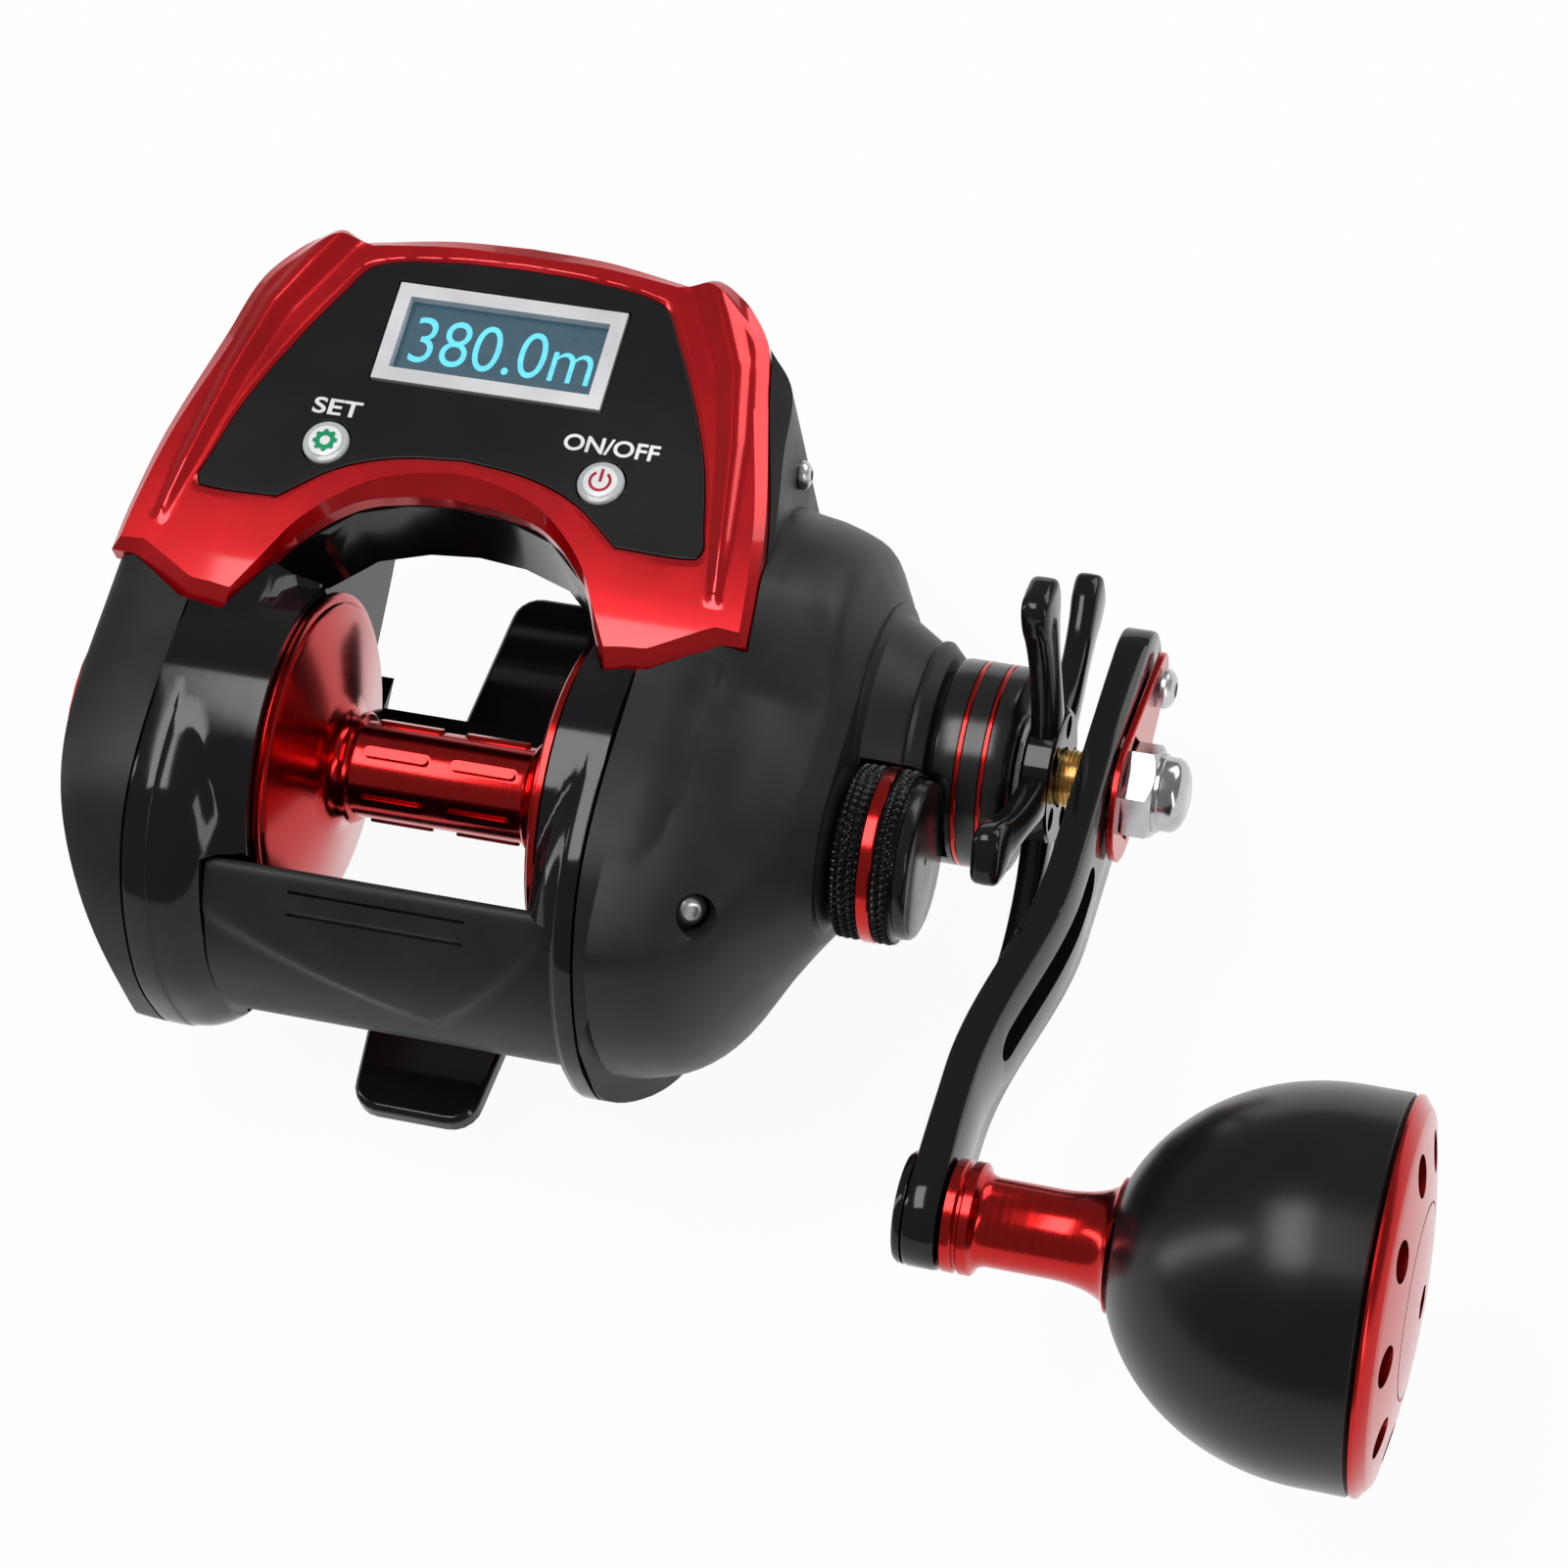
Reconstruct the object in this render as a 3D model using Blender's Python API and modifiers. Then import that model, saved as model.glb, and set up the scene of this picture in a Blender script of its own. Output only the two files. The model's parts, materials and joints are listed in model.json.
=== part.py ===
"""Low-profile digital baitcasting reel with a line counter.

The spool turns about the X axis, with the handle at +X, the rod tip at +Y and the display at +Z.
The origin is on the underside of the front foot tab, where the reel sits on its rod.
"""
import math

import bpy
import bmesh
from mathutils import Matrix, Vector

MM = 0.001

# Fits
GAP = 0.3 * MM
CUT_OVERRUN = 2.0 * MM
MERGE_DISTANCE = 0.0001 * MM
TURN_STEPS = 32
FINE_STEPS = 16
BODY_SEGMENT_POINTS = 3
SMALL_STEPS = 10
BORE_STEPS = 27

# Reel foot
BAR_CLEARANCE = 2.7 * MM
FOOT_THICKNESS = 2.2 * MM
FOOT_TIP_HALF_WIDTH = 7.2 * MM
FOOT_FLARE = 0.08
FOOT_FRONT_REACH = 36.75 * MM
FOOT_FRONT_ROOT = 6.5 * MM
FOOT_REAR_REACH = 29.9 * MM
FOOT_REAR_ROOT = 10.8 * MM
FOOT_CORNER = 3.2 * MM
FOOT_CROWN = 0.5 * MM
FOOT_SEAT_PLACE = 27.0 * MM

# Spool
SPOOL_RADIUS = 18.3 * MM
SPOOL_HALF_WIDTH = 15.8 * MM
SPOOL_RIM = 1.0 * MM
SPOOL_CORE_RADIUS = 5.2 * MM
SPOOL_CORE_WALL = 1.3 * MM
SPOOL_HUB_RADIUS = 6.9 * MM
SPOOL_DISH = 2.6 * MM
SPOOL_WEB = 1.1 * MM
SPOOL_HUB_FACE = 1.6 * MM
SPOOL_SLOT_COUNT = 6
SPOOL_SLOT_LENGTH = 7.6 * MM
SPOOL_SLOT_WIDTH = 1.3 * MM
SPOOL_SLOT_PLACE = 5.2 * MM
SPOOL_SHAFT_RADIUS = 1.25 * MM
SPOOL_SHAFT_LEFT = 24.0 * MM
SPOOL_SHAFT_RIGHT = 47.0 * MM
SENSOR_MAGNET_RADIUS = 1.2 * MM
SENSOR_MAGNET_LENGTH = 0.8 * MM
SENSOR_INSET = 5.3 * MM
SENSOR_CIRCLE = SPOOL_RADIUS - SENSOR_INSET

# Bearings
BEARING_RADIUS = 4.0 * MM
BEARING_WIDTH = 2.5 * MM
BEARING_BORE_CLEARANCE = 0.2 * MM

# Body outline, seen from the side, about the spool axis
BODY_FRONT = 51.0 * MM
REAR_CLEARANCE = 9.7 * MM
BODY_REAR = SPOOL_RADIUS + REAR_CLEARANCE
TOP_CLEARANCE = 1.7 * MM
BODY_TOP = SPOOL_RADIUS + TOP_CLEARANCE
BODY_BOTTOM = SPOOL_RADIUS + BAR_CLEARANCE
FOOT_SEAT_DEPTH = BODY_BOTTOM + FOOT_THICKNESS
BODY_OUTLINE_SHARES = (
    (0.98, 1.05), (0.55, 1.02), (0.12, 0.99), (-0.29, 0.96), (-0.61, 0.79), (-0.84, 0.46),
    (-0.98, 0.0), (-1.0, -0.38), (-0.92, -0.8), (-0.66, -1.02), (-0.29, -1.0), (0.27, -0.98),
    (0.47, -0.83), (0.7, -0.6), (0.88, -0.29), (0.98, 0.2), (1.0, 0.66),
)
SPINE_REAR = -4.0 * MM
SPINE_FRONT = 36.0 * MM
SPINE_RISE = 6.0 * MM
BODY_CENTRE_OFFSET = -2.7 * MM
SEAM_HALF_WIDTH = 24.7 * MM

# Frame
LEFT_RING_INNER_FACE = 15.5 * MM
RIGHT_RING_INNER_FACE = 16.3 * MM
RING_FUNNEL_SHARES = ((0.0, 0.0), (0.22, 0.02), (0.52, 0.25), (1.0, 1.0))
RING_LEFT_FUNNEL = 5.0 * MM
RING_RIGHT_FUNNEL = 3.0 * MM
RING_BORE_CLEARANCE = 0.4 * MM
RING_LEAST_WALL = 0.9 * MM
RIGHT_WALL_RECESS = 1.2 * MM
GUIDE_BAY_WALL = 3.0 * MM
BAY_CLEARANCE = 0.9 * MM
GUIDE_BAY_REAR = SPOOL_RADIUS + BAY_CLEARANCE
LINE_BAY_REAR = 12.0 * MM
LINE_BAY_DROP = 14.0 * MM
GUIDE_BAY_TOP = 8.2 * MM
BAY_STEP = 3.0 * MM
BAR_THICKNESS = 4.0 * MM
FRONT_BAR_REAR = 6.0 * MM
FRONT_BAR_FRONT = 16.7 * MM
REAR_BAR_REAR = 19.0 * MM
REAR_BAR_FRONT = 10.5 * MM
NOSE_BAR_PLACE = 43.2 * MM
NOSE_BAR_HEIGHT = -7.2 * MM
NOSE_BAR_RADIUS = 2.0 * MM

# Side covers
LEFT_COVER_REACH = 10.2 * MM
COVER_ROUNDING = 4.8 * MM
LEFT_COVER_LIFT_SHARE = 0.75
COVER_LAYER_SHARES = ((0.0, 0.0), (0.45, 0.04), (0.75, 0.3), (0.93, 0.68), (1.0, 1.0))
PLAN_HALF_WIDTH = 35.2 * MM
LEFT_PLAN_SHARES = (
    (0.66, -0.58), (0.85, -0.43), (0.945, -0.235), (0.995, 0.0), (1.0, 0.22), (0.99, 0.33), (0.955, 0.51),
    (0.87, 0.77), (0.81, 0.91), (0.73, 0.99), (0.6, 1.05),
)
RIGHT_PLAN_SHARES = (
    (0.66, -0.58), (0.85, -0.43), (0.945, -0.235), (0.995, 0.0), (1.0, 0.22), (0.995, 0.33), (0.98, 0.51),
    (0.95, 0.68), (0.93, 0.82), (0.84, 0.9), (0.73, 0.99), (0.6, 1.05),
)
DIAL_RADIUS = 13.2 * MM
DIAL_RING_WIDTH = 1.2 * MM
DIAL_THICKNESS = 3.6 * MM
DIAL_SEAT_DEPTH = 2.2 * MM
DIAL_GRIP_COUNT = 8
DIAL_GRIP_RADIUS = 1.5 * MM
DIAL_STEM_RADIUS = 2.4 * MM
DIAL_STEM_LENGTH = 4.0 * MM
MAGNET_RING_RADIUS = 12.5 * MM
MAGNET_RING_BORE = 8.0 * MM
MAGNET_RING_THICKNESS = 2.0 * MM
MAGNET_RING_PLACE = 20.6 * MM
LEFT_BOSS_RADIUS = 6.2 * MM
LEFT_BOSS_FACE = 18.6 * MM
SPIGOT_CLEARANCE = 0.9 * MM
LEFT_SPIGOT_FACE = 22.4 * MM

# Gear train
GEAR_MODULE = 0.3973 * MM
PINION_TEETH = 14
DRIVE_GEAR_TEETH = 74
DRIVE_AXIS_ANGLE = math.radians(-22.1)
TOOTH_ADDENDUM_SHARE = 0.8
TOOTH_DEDENDUM_SHARE = 1.2
TOOTH_ROOT_SHARE = 0.58
TOOTH_TIP_SHARE = 0.24
DRIVE_GEAR_FACE = 27.0 * MM
DRIVE_GEAR_WIDTH = 3.2 * MM
PINION_FACE = 25.8 * MM
PINION_TOOTH_LENGTH = 7.6 * MM
PINION_GROOVE_WIDTH = 2.0 * MM
PINION_GROOVE_RADIUS = 2.3 * MM
PINION_COLLAR_RADIUS = 3.6 * MM
PINION_COLLAR_WIDTH = 1.0 * MM
PINION_BORE_CLEARANCE = 0.2 * MM
YOKE_THICKNESS = 1.4 * MM
YOKE_HALF_LENGTH = 8.6 * MM
YOKE_HALF_HEIGHT = 4.4 * MM
LEVELWIND_MODULE = 0.78 * MM
LEVELWIND_DRIVE_TEETH = 36
WORM_GEAR_TEETH = 14
WORM_AXIS_ANGLE = math.radians(10.0)
LEVELWIND_GEAR_FACE = 23.2 * MM
LEVELWIND_GEAR_WIDTH = 1.8 * MM

# Drive shaft and drag
DRIVE_SHAFT_RADIUS = 3.0 * MM
DRIVE_SHAFT_LEFT = 18.9 * MM
DRIVE_SHAFT_SHOULDER = 65.7 * MM
DRIVE_SHAFT_NECK_RADIUS = 2.4 * MM
DRIVE_SHAFT_RIGHT = 74.2 * MM
DRAG_WASHER_RADIUS = 12.0 * MM
DRAG_WASHER_THICKNESS = 0.9 * MM
PRESSURE_PLATE_RADIUS = 11.4 * MM
PRESSURE_PLATE_THICKNESS = 1.3 * MM
CLUTCH_SLEEVE_RADIUS = 4.6 * MM
CLUTCH_SLEEVE_FLANGE_RADIUS = 7.6 * MM
CLUTCH_SLEEVE_FLANGE = 1.4 * MM
ONE_WAY_RADIUS = 6.4 * MM
ONE_WAY_WIDTH = 6.0 * MM
ONE_WAY_FACE = 42.5 * MM
COLLAR_FACE = 51.0 * MM
COLLAR_LENGTH = 7.8 * MM
COLLAR_RADIUS = 11.1 * MM
COLLAR_CHAMFER = 0.5 * MM
COLLAR_BORE_RADIUS = 5.2 * MM
COLLAR_NECK_RADIUS = 9.4 * MM
SPRING_WASHER_RADIUS = 6.2 * MM
SPRING_WASHER_THICKNESS = 0.5 * MM

# Star drag
STAR_ARM_COUNT = 5
STAR_RADIUS = 25.2 * MM
STAR_HUB_RADIUS = 7.4 * MM
STAR_THICKNESS = 3.2 * MM
STAR_ARM_SHARES = (
    (0.24, 0.8, 0.0), (0.36, 0.66, 0.03), (0.5, 0.6, 0.18), (0.64, 0.62, 0.42), (0.76, 0.8, 0.68),
    (0.84, 1.0, 0.86),
    (0.95, 1.0, 1.0), (1.0, 0.72, 1.0),
)
STAR_PAD_HALF_WIDTH = 3.3 * MM
STAR_DISH = 0.8 * MM
STAR_BORE_RADIUS = 3.3 * MM
STAR_WINDOW_RADIUS = 1.2 * MM
STAR_WINDOW_CIRCLE = 5.4 * MM
STAR_REST_ANGLE = math.radians(70.0)

# Right cover
GEAR_DOME_RADIUS = 23.4 * MM
GEAR_DOME_FLOOR = 24.4 * MM
RIGHT_COVER_REACH = 21.0 * MM
TENSION_DOME_RADIUS = 27.0 * MM
DOME_LAYER_SHARES = (
    (0.26, 1.08, 0.93), (0.46, 1.03, 0.89), (0.64, 1.0, 0.81), (0.84, 0.93, 0.58), (0.93, 0.81, 0.45),
    (1.0, 0.69, 0.38),
)
COVER_BASE_REACH = 11.0 * MM
CONE_BASE_RADIUS = 15.4 * MM
CONE_TIP_RADIUS = 10.8 * MM
CONE_TIP = 50.2 * MM
CONE_NECK_LENGTH = 0.5 * MM
GEAR_CHAMBER_RADIUS = 17.0 * MM
GEAR_CHAMBER_DEPTH = 39.0 * MM
PINION_CHAMBER_RADIUS = 9.4 * MM
PINION_CHAMBER_DEPTH = 39.4 * MM
WORM_CHAMBER_RADIUS = 6.6 * MM
WORM_CHAMBER_DEPTH = 25.8 * MM
TENSION_FLARE_RADIUS = 10.4 * MM
TENSION_FLARE_END = 44.0 * MM
TENSION_BOSS_RADIUS = 6.4 * MM
TENSION_BOSS_END = 48.6 * MM
RECESSED_SCREW_RADIUS = 2.3 * MM
RECESSED_SCREW_DEPTH = 4.0 * MM
RECESSED_SCREW_PLACE = 22.2 * MM
RECESSED_SCREW_ANGLE = math.radians(141.5)

# Tension knob
TENSION_KNOB_FACE = 44.5 * MM
TENSION_KNOB_LENGTH = 8.2 * MM
TENSION_KNOB_RADIUS = 9.3 * MM
TENSION_KNOB_TIP_RADIUS = 7.8 * MM
TENSION_KNOB_CHAMFER = 1.3 * MM
TENSION_KNOB_END_WALL = 1.6 * MM
TENSION_BAND_PLACE = 47.7 * MM
TENSION_BAND_WIDTH = 1.2 * MM
TENSION_BAND_DEPTH = 0.9 * MM
TENSION_BAND_PROUD = 0.05 * MM
KNOB_ROOM = 0.4 * MM
TENSION_PAD_RADIUS = 2.2 * MM
TENSION_PAD_THICKNESS = 0.9 * MM

# Handle
HANDLE_LENGTH = 57.0 * MM
HANDLE_ANGLE = math.radians(170.33)
HANDLE_THICKNESS = 3.5 * MM
HANDLE_HUB_HALF_WIDTH = 7.1 * MM
HANDLE_TIP_HALF_WIDTH = 5.8 * MM
HANDLE_TAIL = 16.5 * MM
HANDLE_HUB_PLACE = 66.0 * MM
HANDLE_OFFSET = 4.2 * MM
HANDLE_BEND_START = 16.0 * MM
HANDLE_BEND_END = 44.0 * MM
HANDLE_BEND_STEPS = 5
HANDLE_SLOT_START = 14.0 * MM
HANDLE_SLOT_END = 35.0 * MM
HANDLE_SLOT_HALF_WIDTH = 2.2 * MM
HANDLE_EDGE = 0.5 * MM
PLATE_THICKNESS = 0.8 * MM
PLATE_TAIL = 18.6 * MM
PLATE_NOSE = 8.4 * MM
PLATE_HALF_WIDTH = 6.9 * MM
PLATE_TAIL_HALF_WIDTH = 2.8 * MM
NUT_FLATS_RADIUS = 4.6 * MM
NUT_HEX_LENGTH = 3.9 * MM
NUT_DOME_RADIUS = 4.5 * MM
NUT_DOME_LENGTH = 3.5 * MM
NUT_DOME_STEPS = 4
LOCK_SCREW_PLACE = 14.4 * MM
LOCK_SCREW_HEAD_RADIUS = 2.2 * MM
LOCK_SCREW_HEAD_HEIGHT = 1.4 * MM
LOCK_SCREW_SHANK_RADIUS = 0.9 * MM
LOCK_SCREW_SHANK_LENGTH = 2.4 * MM

# Handle knob
SPINDLE_RADIUS = 2.0 * MM
SPINDLE_HEAD_RADIUS = 3.4 * MM
SPINDLE_HEAD_HEIGHT = 0.9 * MM
SPINDLE_END = 105.6 * MM
STEM_RADIUS = 4.5 * MM
STEM_RING_RADIUS = 5.7 * MM
STEM_RING_WIDTH = 1.3 * MM
STEM_RING_GROOVE = 0.4 * MM
STEM_STRAIGHT_END = 76.2 * MM
STEM_FLARE_RADIUS = 6.8 * MM
STEM_FLARE_STEPS = 5
STEM_END = 82.6 * MM
KNOB_RADIUS = 19.8 * MM
KNOB_WIDEST = 104.0 * MM
KNOB_BALL_STEPS = 8
KNOB_RIM = 108.8 * MM
KNOB_START_RADIUS = 7.1 * MM
KNOB_BORE_RADIUS = 4.4 * MM
KNOB_CAVITY_RADIUS = 15.0 * MM
KNOB_CAVITY_DEPTH = 4.5 * MM
CAP_CHAMFER = 1.7 * MM
CAP_RIM_LENGTH = 0.6 * MM
CAP_FACE_RADIUS = 18.0 * MM
CAP_DOME_RISE = 1.3 * MM
CAP_DOME_STEPS = 4
CAP_WALL = 1.4 * MM
CAP_HOLE_COUNT = 9
CAP_HOLE_RADIUS = 2.0 * MM
CAP_HOLE_CIRCLE = 14.2 * MM
CAP_RECESS_RADIUS = 1.9 * MM
CAP_RECESS_DEPTH = 0.9 * MM
KNOB_BEARING_RADIUS = 4.1 * MM
KNOB_BEARING_WIDTH = 3.0 * MM

# Level wind
WORM_RADIUS = 2.2 * MM
WORM_JOURNAL_RADIUS = 1.3 * MM
WORM_HALF_LENGTH = 18.4 * MM
GUIDE_REST = 1.6 * MM
GUIDE_HALF_WIDTH = 2.9 * MM
GUIDE_REAR = 3.9 * MM
GUIDE_FRONT = 5.6 * MM
GUIDE_DROP = 6.6 * MM
GUIDE_RISE = 10.2 * MM
GUIDE_NECK_HALF_DEPTH = 1.6 * MM
RAIL_RADIUS = 0.9 * MM
RAIL_DROP = 4.6 * MM
RAIL_FORWARD = 3.6 * MM
EYELET_RADIUS = 2.3 * MM
EYELET_BORE = 1.3 * MM
EYELET_LIP = 0.6 * MM
EYELET_RISE = 6.9 * MM

# Thumb bar, as shares of the body's rear reach, seen from the side
THUMB_BAR_SHARES = (
    (-0.645, 0.335), (-0.8, 0.24), (-0.93, 0.05), (-0.975, -0.16), (-0.96, -0.34), (-0.87, -0.42),
    (-0.765, -0.42), (-0.71, -0.2), (-0.685, 0.02),
)
THUMB_BAR_HALF_WIDTH = 19.4 * MM
THUMB_TRAVEL = 3.6 * MM
THUMB_TILT = math.radians(10.0)
THUMB_SLOT_FLARE = 1.3

# Display head, seen square on, from the middle of the display
DISPLAY_FORWARD = 41.8 * MM
DISPLAY_RISE = 2.0 * MM
DISPLAY_HEIGHT = BODY_TOP + DISPLAY_RISE
DISPLAY_TILT = math.radians(4.0)
TRIM_HALF_WIDTH = 35.4 * MM
TRIM_FRONT = 12.9 * MM
TRIM_REAR = 35.7 * MM
TRIM_SHARES = (
    (0.0, 1.0), (0.25, 0.97), (0.49, 0.86), (0.53, 0.84), (0.61, 0.9), (0.66, 0.86), (0.735, 0.7),
    (0.82, 0.36),
    (0.87, -0.08), (0.955, -0.44), (0.99, -0.7), (1.0, -0.86), (0.925, -0.86), (0.735, -0.98), (0.6, -1.0),
)
ARCH_SHARES = ((0.54, -0.885), (0.46, -0.73), (0.31, -0.585), (0.155, -0.535), (0.0, -0.52))
TRIM_THICKNESS = 3.2 * MM
TRIM_CHAMFER = 1.7 * MM
TRIM_DROP = 1.3 * MM
RIDGE_SHARES = ((0.59, 0.86), (0.66, 0.55), (0.74, 0.1), (0.8, -0.22), (0.85, -0.55), (0.875, -0.74))
RIDGE_WIDTH_SHARES = (0.9, 1.0, 0.85, 0.72, 0.6, 0.35)
RIDGE_HALF_WIDTH = 2.3 * MM
RIDGE_HEIGHT = 1.0 * MM
RIDGE_STEPS = 8
PANEL_HALF_WIDTH = 28.4 * MM
PANEL_FRONT = 9.8 * MM
PANEL_REAR = 22.0 * MM
PANEL_SHARES = (
    (0.0, 1.0), (0.3, 0.96), (0.58, 0.8), (0.67, 0.42), (0.79, -0.11), (0.915, -0.5), (0.985, -0.86),
    (1.0, -0.94), (0.975, -1.0), (0.67, -1.0), (0.47, -0.8), (0.26, -0.7), (0.0, -0.66),
)
PANEL_THICKNESS = 1.0 * MM
PANEL_SINK = 0.15 * MM
PANEL_LEDGE = 0.65 * MM
WINDOW_WIDTH = 26.0 * MM
WINDOW_HEIGHT = 12.2 * MM
WINDOW_BORDER = 1.65 * MM
WINDOW_PROUD = 0.15 * MM
MODULE_THICKNESS = 1.6 * MM
MODULE_MARGIN = 0.5 * MM
BUTTON_SPACING_SHARE = 0.5458
BUTTON_ROW = -14.7 * MM
BUTTON_RADIUS = 2.6 * MM
BUTTON_HEIGHT = 3.2 * MM
BUTTON_DOME = 0.5 * MM
BUTTON_EDGE_SHARE = 0.9
BUTTON_PROUD = 0.35 * MM
BUTTON_TRAVEL = 0.4 * MM
BOARD_HALF_WIDTH = 16.4 * MM
BOARD_THICKNESS = 1.2 * MM
BOARD_FRONT = 7.0 * MM
BOARD_REAR = 18.0 * MM
BOARD_SHARES = ((0.92, 1.0), (1.0, 0.8), (1.0, -1.0), (0.6, -0.9), (0.0, -0.78))
BATTERY_RADIUS = 9.6 * MM
BATTERY_THICKNESS = 3.2 * MM
BATTERY_FORWARD = -2.0 * MM
HOUSING_DEPTH = 14.2 * MM
HOUSING_WALL = 1.6 * MM
HOUSING_FRONT = 9.6 * MM
HOUSING_HALF_WIDTH = 18.6 * MM
HOUSING_SHARES = ((0.9, 1.0), (1.0, 0.85), (1.0, 0.88))

# Worked-out places
LEFT_SPIGOT_RADIUS = SPOOL_RADIUS + RING_BORE_CLEARANCE - SPIGOT_CLEARANCE
BUTTON_SPACING = PANEL_HALF_WIDTH * BUTTON_SPACING_SHARE
LEFT_SEAM = BODY_CENTRE_OFFSET - SEAM_HALF_WIDTH
RIGHT_SEAM = BODY_CENTRE_OFFSET + SEAM_HALF_WIDTH
GUIDE_BAY_HALF_WIDTH = RIGHT_SEAM - GUIDE_BAY_WALL
DRIVE_DISTANCE = GEAR_MODULE * (PINION_TEETH + DRIVE_GEAR_TEETH) / 2
DRIVE_AXIS = Vector((0, math.cos(DRIVE_AXIS_ANGLE), math.sin(DRIVE_AXIS_ANGLE))) * DRIVE_DISTANCE
WORM_DISTANCE = LEVELWIND_MODULE * (LEVELWIND_DRIVE_TEETH + WORM_GEAR_TEETH) / 2
WORM_AXIS = DRIVE_AXIS + Vector((0, math.cos(WORM_AXIS_ANGLE), math.sin(WORM_AXIS_ANGLE))) * WORM_DISTANCE
ARM_DIRECTION = Vector((0, math.cos(HANDLE_ANGLE), math.sin(HANDLE_ANGLE)))
ARM_SIDE = Vector((1, 0, 0)).cross(ARM_DIRECTION)
FOOT_TOP = BODY_BOTTOM

# Finishes: colour, roughness, metallic
GLOSS_BLACK = ((0.012, 0.012, 0.013), 0.12, 0.0)
MATTE_BLACK = ((0.022, 0.022, 0.023), 0.5, 0.0)
METAL_BLACK = ((0.02, 0.02, 0.022), 0.3, 0.9)
TRIM_RED = ((0.5, 0.01, 0.015), 0.15, 0.2)
METAL_RED = ((0.55, 0.02, 0.02), 0.18, 1.0)
BUTTON_SILVER = ((0.8, 0.82, 0.84), 0.3, 0.1)
WINDOW_SILVER = ((0.66, 0.66, 0.68), 0.35, 0.6)
DISPLAY_GLASS = ((0.03, 0.05, 0.07), 0.2, 0.0)
STEEL = ((0.6, 0.6, 0.62), 0.28, 1.0)
CHROME = ((0.8, 0.8, 0.82), 0.08, 1.0)
BRASS = ((0.75, 0.5, 0.18), 0.3, 1.0)
CERAMIC = ((0.85, 0.84, 0.8), 0.3, 0.0)
CARBON = ((0.03, 0.03, 0.03), 0.7, 0.0)
BOARD_GREEN = ((0.02, 0.16, 0.06), 0.5, 0.0)
NYLON = ((0.75, 0.75, 0.72), 0.5, 0.0)


def clear_scene():
    for item in list(bpy.data.objects):
        bpy.data.objects.remove(item, do_unlink=True)


def make_collection(name):
    collection = bpy.data.collections.new(name)
    bpy.context.scene.collection.children.link(collection)
    return collection


clear_scene()
PARTS = make_collection("digital_baitcasting_reel")
CUTTERS = make_collection("cutters")


def axis_empty(name, place, parent=None, tilt=0.0):
    empty = bpy.data.objects.new(name, None)
    empty.location = place
    empty.rotation_euler = (tilt, 0, 0)
    empty.parent = parent
    PARTS.objects.link(empty)
    return empty


SPOOL_CENTRE = axis_empty("spool_axis", (0, -FOOT_SEAT_PLACE, FOOT_SEAT_DEPTH))
DRIVE_CENTRE = axis_empty("drive_axis", DRIVE_AXIS, SPOOL_CENTRE)
WORM_CENTRE = axis_empty("worm_axis", WORM_AXIS, SPOOL_CENTRE)
KNOB_CENTRE = axis_empty("knob_axis", ARM_DIRECTION * HANDLE_LENGTH, DRIVE_CENTRE)
DISPLAY_CENTRE = axis_empty(
    "display_plane", (BODY_CENTRE_OFFSET, DISPLAY_FORWARD, DISPLAY_HEIGHT), SPOOL_CENTRE, DISPLAY_TILT
)


def dress(item, finish):
    colour, roughness, metallic = finish
    material = bpy.data.materials.new(item.name + "_finish")
    material.use_nodes = True
    shader = material.node_tree.nodes["Principled BSDF"]
    shader.inputs["Base Color"].default_value = (*colour, 1.0)
    shader.inputs["Roughness"].default_value = roughness
    shader.inputs["Metallic"].default_value = metallic
    item.data.materials.append(material)


def place_mesh(name, mesh, parent, finish):
    """Link a mesh as a part, or as a cutter where no finish is given."""
    item = bpy.data.objects.new(name, mesh)
    item.parent = parent
    if finish is None:
        CUTTERS.objects.link(item)
        item.hide_render = True
        item.display_type = "WIRE"
    else:
        PARTS.objects.link(item)
        dress(item, finish)
    return item


def closed_spline(points, steps):
    """Pass a smooth closed loop through the points."""
    loop = []
    count = len(points)
    for index in range(count):
        before, start, end, after = (Vector(points[(index + shift) % count]) for shift in (-1, 0, 1, 2))
        length = (end - start).length
        leaving = (end - before).normalized() * length
        arriving = (after - start).normalized() * length
        curve = 2 * start - 2 * end + leaving + arriving
        bend = 3 * end - 3 * start - 2 * leaving - arriving
        for step in range(steps):
            share = step / steps
            loop.append(start + leaving * share + bend * share ** 2 + curve * share ** 3)
    return loop


def mirrored(points):
    """Close a right half outline, front to rear, with its mirror image."""
    half = [Vector(point) for point in points]
    left = [Vector((-point.x, point.y)) for point in reversed(half) if abs(point.x) > MERGE_DISTANCE]
    return half + left


def grown(points, distance):
    """Offset a closed outline outwards, or inwards where the distance is negative."""
    count = len(points)
    area = sum(points[i - 1].x * points[i].y - points[i].x * points[i - 1].y for i in range(count))
    turn = 1 if area > 0 else -1
    result = []
    for index in range(count):
        before = (points[index] - points[index - 1]).normalized()
        after = (points[(index + 1) % count] - points[index]).normalized()
        outward = (Vector((before.y, -before.x)) + Vector((after.y, -after.x))).normalized() * turn
        stretch = max(outward.dot(Vector((after.y, -after.x)) * turn), 0.5)
        result.append(points[index] + outward * distance / stretch)
    return result


def drawn_in(points, distance):
    """Move outline points towards the body's spine, so that the outline never crosses itself."""
    rear = Vector((SPINE_REAR, 0))
    spine = Vector((SPINE_FRONT, SPINE_RISE)) - rear
    result = []
    for point in points:
        share = min(max((point - rear).dot(spine) / spine.length_squared, 0), 1)
        foot = rear + spine * share
        result.append(point - (point - foot).normalized() * distance)
    return result


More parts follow.
